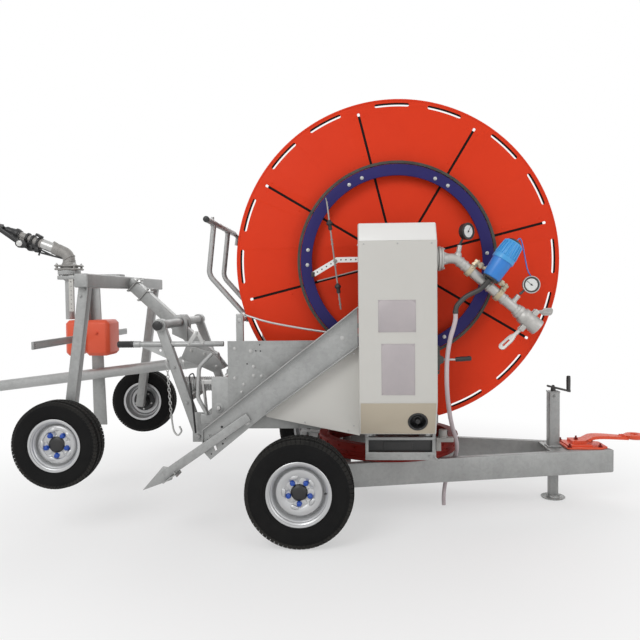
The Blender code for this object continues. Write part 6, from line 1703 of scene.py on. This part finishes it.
def make_guard_hoop():
    """The bent tube hoop that the returning cart pushes, its cross tube and its rod to the drive."""
    hoop = fresh()
    for y in (-0.4, 0.06):
        tube(hoop, rounded([(-0.55, y, 1.812), (-0.585, y, 1.505), (-0.347, y, 1.236)], 0.08, 14), 0.0165, 7)
        turned(hoop, mm(14.8, -23, 22, -23, 22.5, 0, 22, 23, 14.8, 23, 14.8, -23), outward(HOOP_X, y, HOOP_Z),
            32)
    cross_bar(hoop, -0.55, 1.822, -0.61, 0.3, 0.018, 32, 0.002)
    tube(hoop, rounded(mm(-550, 290, 1822, -530, 330, 1800, -540, 330, 1740, size=3), 0.02, 8), 0.014, 5)
    cross_bar(hoop, HOOP_X, HOOP_Z, -0.7195, 0.7195, 0.0138, 28, 0.001)
    round_bar(hoop, (-0.55, -0.43, 1.839), (-0.55, -0.43, 1.856), 0.009, 18, 0.001)
    for y in (-0.4, 0.06):
        weld_bead(hoop, (-0.567, y - 0.014, 1.806), (-0.567, y + 0.014, 1.806), 0.003)
    piece("guard_hoop_tubes", hoop, "guard_hoop", "galvanised_tube", ["guard_hoop"])
    caps = fresh()
    turned(caps, mm(0, 4, 15, 4, 18.6, 2, 18.6, -12, 0, -12), outward(-0.55, -0.612, 1.822), 32)
    piece("guard_hoop_cap", caps, "guard_hoop", "black_plastic")
    link = fresh()
    tube(link, smooth_line(mm(-330, -690, 1268, -180, -705, 1222, 50, -712, 1178, 250, -716, 1150, 331, -716,
        1146, size=3), 8), 0.006, 4)
    round_bar(link, (-0.338, -0.678, 1.268), (-0.322, -0.706, 1.268), 0.0105, 20, 0.001)
    piece("guard_link_rod", link, "turntable", "bright_steel")


# Lift frame, sprinkler cart and gun

def chain_links(shape, start, end, count, size=0.013):
    """Chain of oval links, each turned a quarter against the last."""
    start, end = Vector(start), Vector(end)
    along = (end - start).normalized()
    for index in range(count):
        centre = start.lerp(end, (index + 0.5) / count)
        side = at(0, 1, 0) if index % 2 else along.cross(at(0, 1, 0))
        reach = (end - start).length / count * 0.5 + 0.0035
        oval = []
        for turn in rounds(12):
            oval.append(centre + along * reach * sin(turn) + side * size * 0.55 * cos(turn))
        tube(shape, oval + [oval[0]], 0.0026, 1)


def lobe(centre, along):
    """The outline of the drive arm's side plate: a round head that narrows along the barrel."""
    centre, along = Vector(centre), Vector(along)
    across = Vector((-along.y, along.x))
    shape = mm(30, 12, 22, 22, 0, 30, -24, 24, -48, 14, -50, -12, -28, -24, 0, -30, 22, -22, 30, -12)
    return [tuple(centre + along * a + across * b) for a, b in shape]


def make_lift():
    """The lift's two levers, the cross bar, the hand bar with its gusset and the hold-down chain."""
    pivot, top = LIFT_PIVOT, LIFT_BAR
    run = (top - pivot).normalized()
    arms = fresh()
    for side in (-1, 1):
        shift = at(0, side * 0.5, 0)
        beam(arms, pivot + shift - run * 0.03, top + shift, 0.05, 0.058, 0.006, 3)
        round_bar(arms, pivot + at(0, side * 0.51, 0), pivot + at(0, side * 0.552, 0), 0.014, 32, 0.0015)
        round_bar(arms, top + at(0, side * 0.47, 0), top + at(0, side * 0.53, 0), 0.04, 36, 0.003)
        for share in (0.3, 0.62):
            spot = pivot.lerp(top, share) + shift
            bolt(arms, spot + at(0, side * 0.025, 0), (0, side, 0), 0.0095, 0.3)
    turned(arms, mm(0, 568, 27, 568, 28, 567, 28, -567, 27, -568, 0, -568), outward(top.x, -1e-9, top.z), 48)
    middle = pivot.lerp(top, 0.33)
    block(arms, (middle.x - 0.02, -0.48, middle.z - 0.02), (middle.x + 0.02, 0.48, middle.z + 0.02), 0.005)
    piece("lift_levers", arms, "lift", "galvanised", ["lift_frame"])
    caps = fresh()
    for side in (-1, 1):
        turned(caps, mm(0, 6, 23, 5.5, 28.5, 2, 29, -14, 0, -14), outward(top.x, side * 0.569, top.z), 36)
    piece("lift_bar_caps", caps, "lift", "black_plastic")
    hand = fresh()
    y = -0.5
    round_bar(hand, (-1.025, y, 1.085), (-0.48, y, 1.085), 0.0165, 28, 0.002)
    round_bar(hand, (-1.03, y, 1.085), (-0.99, y, 1.085), 0.02, 28, 0.002)
    sheet_metal(hand, [mm(-1000, 1076, -800, 985, -830, 1076), circle(-0.868, 1.048, 0.008, 20)], 0.006,
        upright(y), 0.0008)
    piece("lift_hand_bar", hand, "lift", "galvanised_tube")
    grip = fresh()
    profile = mm(0, 0, 17, 0, 20.5, 4)
    for ring in range(9):
        profile += [(0.021, 0.008 + 0.0095 * ring), (0.019, 0.0125 + 0.0095 * ring)]
    profile += mm(20.5, 95, 19, 101, 16.5, 102, 0, 102)
    turned(grip, profile, stand_on((-1.129, y, 1.085), (1, 0, 0)), 32)
    piece("lift_hand_grip", grip, "lift", "black_plastic")
    link = fresh()
    beam(link, (-0.69, y - 0.012, 1.085), (-0.64, y - 0.012, 1.16), 0.008, 0.026, 0.002)
    beam(link, (-0.64, y - 0.012, 1.16), (-0.6, y - 0.012, 1.085), 0.008, 0.022, 0.002)
    for x, z in ((-0.69, 1.085), (-0.64, 1.155), (-0.605, 1.09)):
        bolt(link, (x, y - 0.016, z), (0, -1, 0), 0.008, 0.3)
    piece("lift_link", link, "lift", "bright_steel")
    chain = fresh()
    chain_links(chain, (-0.822, y - 0.03, 0.98), (-0.8, y - 0.03, 0.64), 17)
    tube(chain, smooth_line([(-0.8, y - 0.03, 0.655), (-0.795, y - 0.03, 0.61), (-0.785, y - 0.03, 0.56),
        (-0.762, y - 0.03, 0.535), (-0.74, y - 0.03, 0.56), (-0.752, y - 0.03, 0.59)], 5), 0.0055, 3)
    cross_bar(chain, -0.822, 0.985, y - 0.02, y - 0.04, 0.007, 16, 0.001)
    piece("lift_chain", chain, "lift", "bright_steel")
    tie = fresh()
    tube(tie, rounded(mm(-520, -640, 1040, -600, -640, 960, -610, -640, 780, -560, -640, 690, size=3), 0.07,
        8), 0.012, 5)
    piece("turntable_bent_stay", tie, "turntable", "galvanised_tube")
    rod = fresh()
    tube(rod, mm(-668, -585, 860, -652, -585, 700, -640, -585, 560, size=3), 0.006, 3)
    tube(rod, smooth_line(mm(-668, -585, 860, -672, -585, 900, -650, -585, 915, -640, -585, 885, size=3), 4),
        0.004, 2)
    piece("lift_lock_rod", rod, "turntable", "black_plastic")


def make_cart():
    """The sprinkler cart's beam, legs, boom with its clamp and ears, and the post of its weights."""
    beam_x, beam_z, leg_y = -1.25, 1.47, 0.665
    wheel = at(-1.385, 0, 0.54)
    post_x, weight_z = -1.525, 1.1
    low_part = fresh()
    block(low_part, (beam_x - 0.04, -0.7395, beam_z - 0.04), (beam_x + 0.04, 0.7395, beam_z + 0.04), 0.007, 3)
    for side in (-1, 1):
        y = side * leg_y
        ends = sorted((side * 0.739, side * 0.742))
        block(low_part, (beam_x - 0.036, ends[0], beam_z - 0.036), (beam_x + 0.036, ends[1], beam_z + 0.036),
            0.001)
        beam(low_part, (beam_x, y, beam_z), (wheel.x, y, wheel.z - 0.03), 0.06, 0.06, 0.006, 3)
        for step in (-1, 1):
            spot = at(beam_x, y, beam_z).lerp(at(wheel.x, y, wheel.z), 0.075)
            bolt(low_part, spot + at(step * 0.012, side * 0.03, 0.02 * step), (0, side, 0), 0.009, 0.3)
        root, face, tip = side * 0.675, side * 0.7095, side * 0.792
        cross_bar(low_part, wheel.x, wheel.z, root, face, 0.034, 36, 0.003)
        cross_bar(low_part, wheel.x, wheel.z, root, tip, 0.02, 28, 0.002)
    start, end = at(beam_x + 0.03, 0, beam_z + 0.01), at(-0.6, 0, 0.905)
    beam(low_part, start, end, 0.08, 0.08, 0.007, 3)
    foot = mm(-820, 1050, -640, 995, -560, 890, -640, 860, -860, 960)
    for y in (-0.048, 0.048):
        prism(low_part, foot, 0.022, upright(y), 0.003)
    ear = mm(-920, 1120, -815, 1070, -815, 1220, -840, 1250, -890, 1250, -920, 1220)
    for y in (-0.046, 0.046):
        prism(low_part, ear, 0.014, upright(y), 0.002)
    block(low_part, (-1.66, -0.0495, 1.49), (beam_x - 0.02, 0.0495, 1.5295), 0.004)
    block(low_part, (-1.7, -0.06, 1.4965), (-1.58, 0.06, 1.5235), 0.004)
    block(low_part, (post_x - 0.0248, -0.0248, weight_z - 0.03), (post_x + 0.0248, 0.0248, 1.5), 0.004)
    prism(low_part, [(post_x + 0.006, 1.47), (post_x + 0.076, 1.47), (-1.418, 0.486), (-1.51, 0.486)], 0.012,
        upright(0.048), 0.002)
    block(low_part, (post_x - 0.01, 0.02, 1.3), (post_x + 0.024, 0.046, 1.44), 0.003)
    bar_hole, weight_hole, pipe_hole = fresh(), fresh(), fresh()
    round_bar(bar_hole, LIFT_BAR - at(0, 0.1, 0), LIFT_BAR + at(0, 0.1, 0), 0.029, 48)
    block(weight_hole, (post_x - 0.0085, -0.1, weight_z - 0.0235), (post_x + 0.0088, 0.1, weight_z + 0.0238),
        0)
    rear, front = at(-2.22, 0, 0.758), at(-0.61, 0, 0.95)
    pipe_run = (front - rear).normalized()
    round_bar(pipe_hole, front - pipe_run * 0.4, front + pipe_run * 0.1, 0.0456, 48)
    frame_shape = carve(low_part, [bar_hole, weight_hole, pipe_hole])
    piece("cart_frame_beams", frame_shape, "cart", "galvanised", ["cart_frame"])
    riser = fresh()
    stand = moved(RISER_X, 0, 0)
    turned(riser, mm(0, 1225, 29, 1225, 30, 1227, 30, 1520, 42, 1529, 73, 1530, 75, 1532.5, 75, 1557.5, 73,
        1559.6, 0, 1559.6), stand, 56)
    bolt_circle(riser, at(RISER_X, 0, 1.5302), (0, 0, -1), 0.062, 8, 22, 0.0068, 0.3)
    piece("cart_riser", riser, "cart", "galvanised_tube")
    strip = fresh()
    holes = [circle(-1.606, 1.3 + 0.03 * step, 0.0042, 14) for step in range(7)]
    sheet_metal(strip, [mm(-1622, 1280, -1590, 1280, -1590, 1526, -1622, 1526)] + holes, 0.004,
        upright(-0.056), 0.0006)
    block(strip, (-1.62, -0.058, 1.512), (-1.592, -0.02, 1.526), 0.002)
    piece("riser_strip", strip, "cart", "casing_white")
    clamp = fresh()
    along = (end - start).normalized()
    for share in (0.045, 0.14):
        spot = start + along * share
        up = at(-along.z, 0, along.x)
        for y in (-0.047, 0.047):
            round_bar(clamp, spot + up * -0.052 + at(0, y, 0), spot + up * 0.062 + at(0, y, 0), 0.0055, 14)
            bolt(clamp, spot + up * 0.0475 + at(0, y, 0), up, 0.0092, 0.5)
        beam(clamp, spot + up * 0.044 + at(0, -0.062, 0), spot + up * 0.044 + at(0, 0.062, 0), 0.006, 0.028,
            0.0015, side=up)
        beam(clamp, spot - up * 0.046 + at(0, -0.058, 0), spot - up * 0.046 + at(0, 0.058, 0), 0.01, 0.012,
            0.002, side=up)
    for x, z in ((-0.79, 1.01), (-0.7, 0.985), (-0.62, 0.9)):
        bolt(clamp, (x, -0.0592, z), (0, -1, 0), 0.01, 0.4)
        bolt(clamp, (x, 0.0592, z), (0, 1, 0), 0.01, 0.4)
    piece("cart_clamps", clamp, "cart", "bright_steel")
    bar_shape = fresh()
    block(bar_shape, (post_x - 0.0076, -0.7745, weight_z - 0.0226),
        (post_x + 0.0079, 0.7745, weight_z + 0.0229), 0.003)
    bore = fresh()
    for side in (-1, 1):
        round_bar(bore, (post_x - 0.02, side * 0.755, weight_z), (post_x + 0.02, side * 0.755, weight_z),
            0.008, 20)
    piece("counterweight_bar_flat", carve(bar_shape, [bore]), "cart", "galvanised", ["counterweight_bar"])
    for where, low, high in (("left", post_x - 0.11, post_x - 0.0257),
            ("right", post_x + 0.0257, post_x + 0.19)):
        weight = fresh()
        block(weight, (low, -0.11, weight_z - 0.12), (high, 0.11, weight_z + 0.12), 0.022, 1)
        soften(weight, weight.verts, 0.003)
        channel = fresh()
        block(channel, (post_x - 0.009, -0.2, weight_z - 0.024), (post_x + 0.009, 0.2, weight_z + 0.024), 0)
        weight = carve(weight, [channel])
        x = (low + high) / 2
        if where == "right":
            bolt(weight, (x, -0.11, weight_z + 0.035), (0, -1, 0), 0.012, 0.3)
            bolt(weight, (x, 0.11, weight_z + 0.035), (0, 1, 0), 0.012, 0.3)
        piece(f"counterweight_{where}_casting", weight, "cart", "weight_orange", [f"counterweight_{where}"])
    draw = fresh()
    length = (front - rear).length
    turned(draw, [(0, length), (0.04, length), (0.045, length - 0.004), (0.045, length - 0.266),
        (0.043, length - 0.27), (0.0385, length - 0.272), (0.0365, length - 0.276), (0.0365, 0.052),
        (0.0345, 0.046), (0.021, 0.004), (0.018, 0), (0, 0)], stand_on(rear, pipe_run), 48)
    piece("draw_pipe_tube", draw, "cart", "galvanised_tube", ["draw_pipe"], 35)
    bands = fresh()
    for share in (0.03, 0.12, 0.24, 0.3):
        turned(bands, mm(44.5, -4, 46.6, -4, 47, 0, 46.6, 4, 44.5, 4, 44.5, -4) if share < 0.26
            else mm(36, -6, 38.5, -6, 39, 0, 38.5, 6, 36, 6, 36, -6),
            stand_on(front - pipe_run * share, pipe_run), 40)
    piece("draw_pipe_bands", bands, "cart", "bright_steel")


def make_gun():
    """The big gun: bolted base, cast knee, barrel with its rings, drive arm and stepped nozzle."""
    x, rise = RISER_X, radians(22)
    aim = at(-cos(rise), 0, sin(rise))
    up = at(sin(rise), 0, cos(rise))
    knee = at(x, 0, 1.67)
    barrel = stand_on(knee, aim)

    def on_gun(ahead, above=0):
        return knee + aim * ahead + up * above

    base = fresh()
    turned(base, mm(0, 1560.2, 56, 1560.2, 58, 1562.5, 58, 1596, 50, 1600, 43, 1612, 40, 1626, 0, 1626),
        moved(x, 0, 0), 64)
    block(base, (x - 0.074, -0.074, 1.5604), (x + 0.074, 0.074, 1.5735), 0.008, 3)
    block(base, (x - 0.074, -0.074, 1.585), (x + 0.074, 0.074, 1.5965), 0.008, 3)
    corners = [at(x + ahead, aside, 0) for ahead in (-0.06, 0.06) for aside in (-0.06, 0.06)]
    for corner in corners:
        spot = corner + at(0, 0, 1.573)
        round_bar(base, spot, spot + at(0, 0, 0.013), 0.0085, 16)
    tube(base, rounded([(x, 0, 1.58), knee, knee + aim * 0.11], 0.06, 12), 0.04, 8)
    for share in (0.25, 0.6):
        spot = at(x, 0, 1.6).lerp(knee, share)
        turned(base, mm(39, -5, 44, -3, 44, 3, 39, 5, 39, -5), stand_on(spot, (aim.x * share, 0, 1)), 40)
    turned(base, mm(34, 60, 40, 62, 42, 68, 42, 80, 40, 85, 34, 86, 34, 60), barrel, 48)
    turned(base, mm(0, 100, 33, 108, 33, 198, 35, 200, 35, 206, 32, 210, 29, 216, 24, 354, 26.5, 356, 26.5,
        360, 0, 360), barrel, 48)
    pivot = at(-1.955, 0, 1.745)
    beam(base, pivot + at(0, 0, 0.045), pivot + at(0, 0, -0.02), 0.04, 0.044, 0.006, 3)
    beam(base, on_gun(0.03, 0.02), on_gun(0.13, 0.038), 0.012, 0.02, 0.003)
    bore = fresh()
    round_bar(bore, pivot - at(0, 0.05, 0), pivot + at(0, 0.05, 0), 0.0157, 32)
    piece("gun_body_casting", carve(base, [bore]), "gun", "cast_grey", ["gun_body"], 35)
    dark = fresh()
    for start in (0.218, 0.262, 0.3):
        turned(dark, [(0.022, start), (0.0355, start), (0.037, start + 0.003), (0.037, start + 0.011),
            (0.0355, start + 0.014), (0.022, start + 0.014), (0.022, start)], barrel, 48)
    beam(dark, on_gun(0.1, -0.05), on_gun(0.33, -0.034), 0.02, 0.01, 0.003)
    round_bar(dark, knee + at(0.02, -0.012, 0.01) + aim * 0.02 - up * 0.055,
        on_gun(0.18, -0.06) - at(0, 0.012, 0), 0.006, 16, 0.001)
    beam(dark, on_gun(0.205, -0.034), on_gun(0.3, -0.03), 0.044, 0.036, 0.008, 3)
    for share, drop, radius in ((0.215, 0.052, 0.018), (0.262, 0.056, 0.021), (0.3, 0.048, 0.014)):
        spot = on_gun(share, -drop)
        round_bar(dark, spot - at(0, 0.024, 0), spot + at(0, 0.024, 0), radius, 24, 0.003)
    beam(dark, on_gun(0.21, 0.04), on_gun(0.262, 0.046), 0.03, 0.018, 0.005)
    round_bar(dark, on_gun(0.195, -0.02), on_gun(0.195, -0.084), 0.006, 16, 0.001)
    piece("gun_rings_and_strut", dark, "gun", "black_plastic")
    heads = fresh()
    for corner in corners:
        bolt(heads, corner + at(0, 0, 1.5965), (0, 0, 1), 0.008, 0.6)
    turned(heads, mm(31.5, 112, 34.2, 112, 34.5, 114, 34.5, 192, 34.2, 194, 31.5, 194, 31.5, 112), barrel, 48)
    piece("gun_bolts", heads, "gun", "bright_steel")
    nozzle = fresh()
    turned(nozzle, mm(0, 360.6, 32, 360.6, 32.5, 370, 37, 375, 38, 385, 37, 395, 31.5, 398, 29.5, 405, 23,
        450, 24, 452, 24, 462, 20.5, 470.5, 13, 470.5, 13, 440, 0, 440), barrel, 56)
    piece("gun_nozzle_stepped", nozzle, "gun", "black_plastic", ["gun_nozzle"], 35)
    arm = fresh()
    tip = on_gun(0.53)
    round_bar(arm, pivot - at(0, 0.062, 0), pivot + at(0, 0.062, 0), 0.0145, 32, 0.0015)
    for y in (-0.054, 0.054):
        shift = at(0, y, 0)
        prism(arm, lobe((pivot.x, pivot.z), (aim.x, aim.z)), 0.0115, upright(y), 0.002)
        beam(arm, pivot + shift, tip + shift, 0.0095, 0.0275, 0.003)
    block(arm, (tip.x - 0.01, -0.058, tip.z - 0.03), (tip.x + 0.0118, 0.058, tip.z + 0.02), 0.004)
    beam(arm, tip + at(0.004, 0, 0.015), tip + at(-0.004, 0, -0.025), 0.04, 0.012, 0.003)
    piece("gun_drive_arm_plates", arm, "gun_drive_arm", "black_plastic", ["gun_drive_arm"])
    disc = fresh()
    for side in (-1, 1):
        turned(disc, mm(0, 5, 16, 4.5, 20, 2, 20.5, -3, 0, -3), outward(pivot.x, side * 0.063, pivot.z), 36)
    piece("gun_bearing_caps", disc, "gun_drive_arm", "dial_white")


def main():
    for make in (place_camera, make_drain_hose, dress_nodes, make_wheels, make_chassis, make_jack,
            make_hitch, make_slew_rings, make_turntable, make_cheeks, make_arms, make_anchors, make_flanges,
            make_core, make_hose, make_drive, make_casing, make_turbine, make_inlet, make_cam_levers,
            make_fittings, make_valve, make_gauges, make_levers, make_screw_and_guide, make_guard_hoop,
            make_lift, make_cart, make_gun, build_studio):
        make()


main()
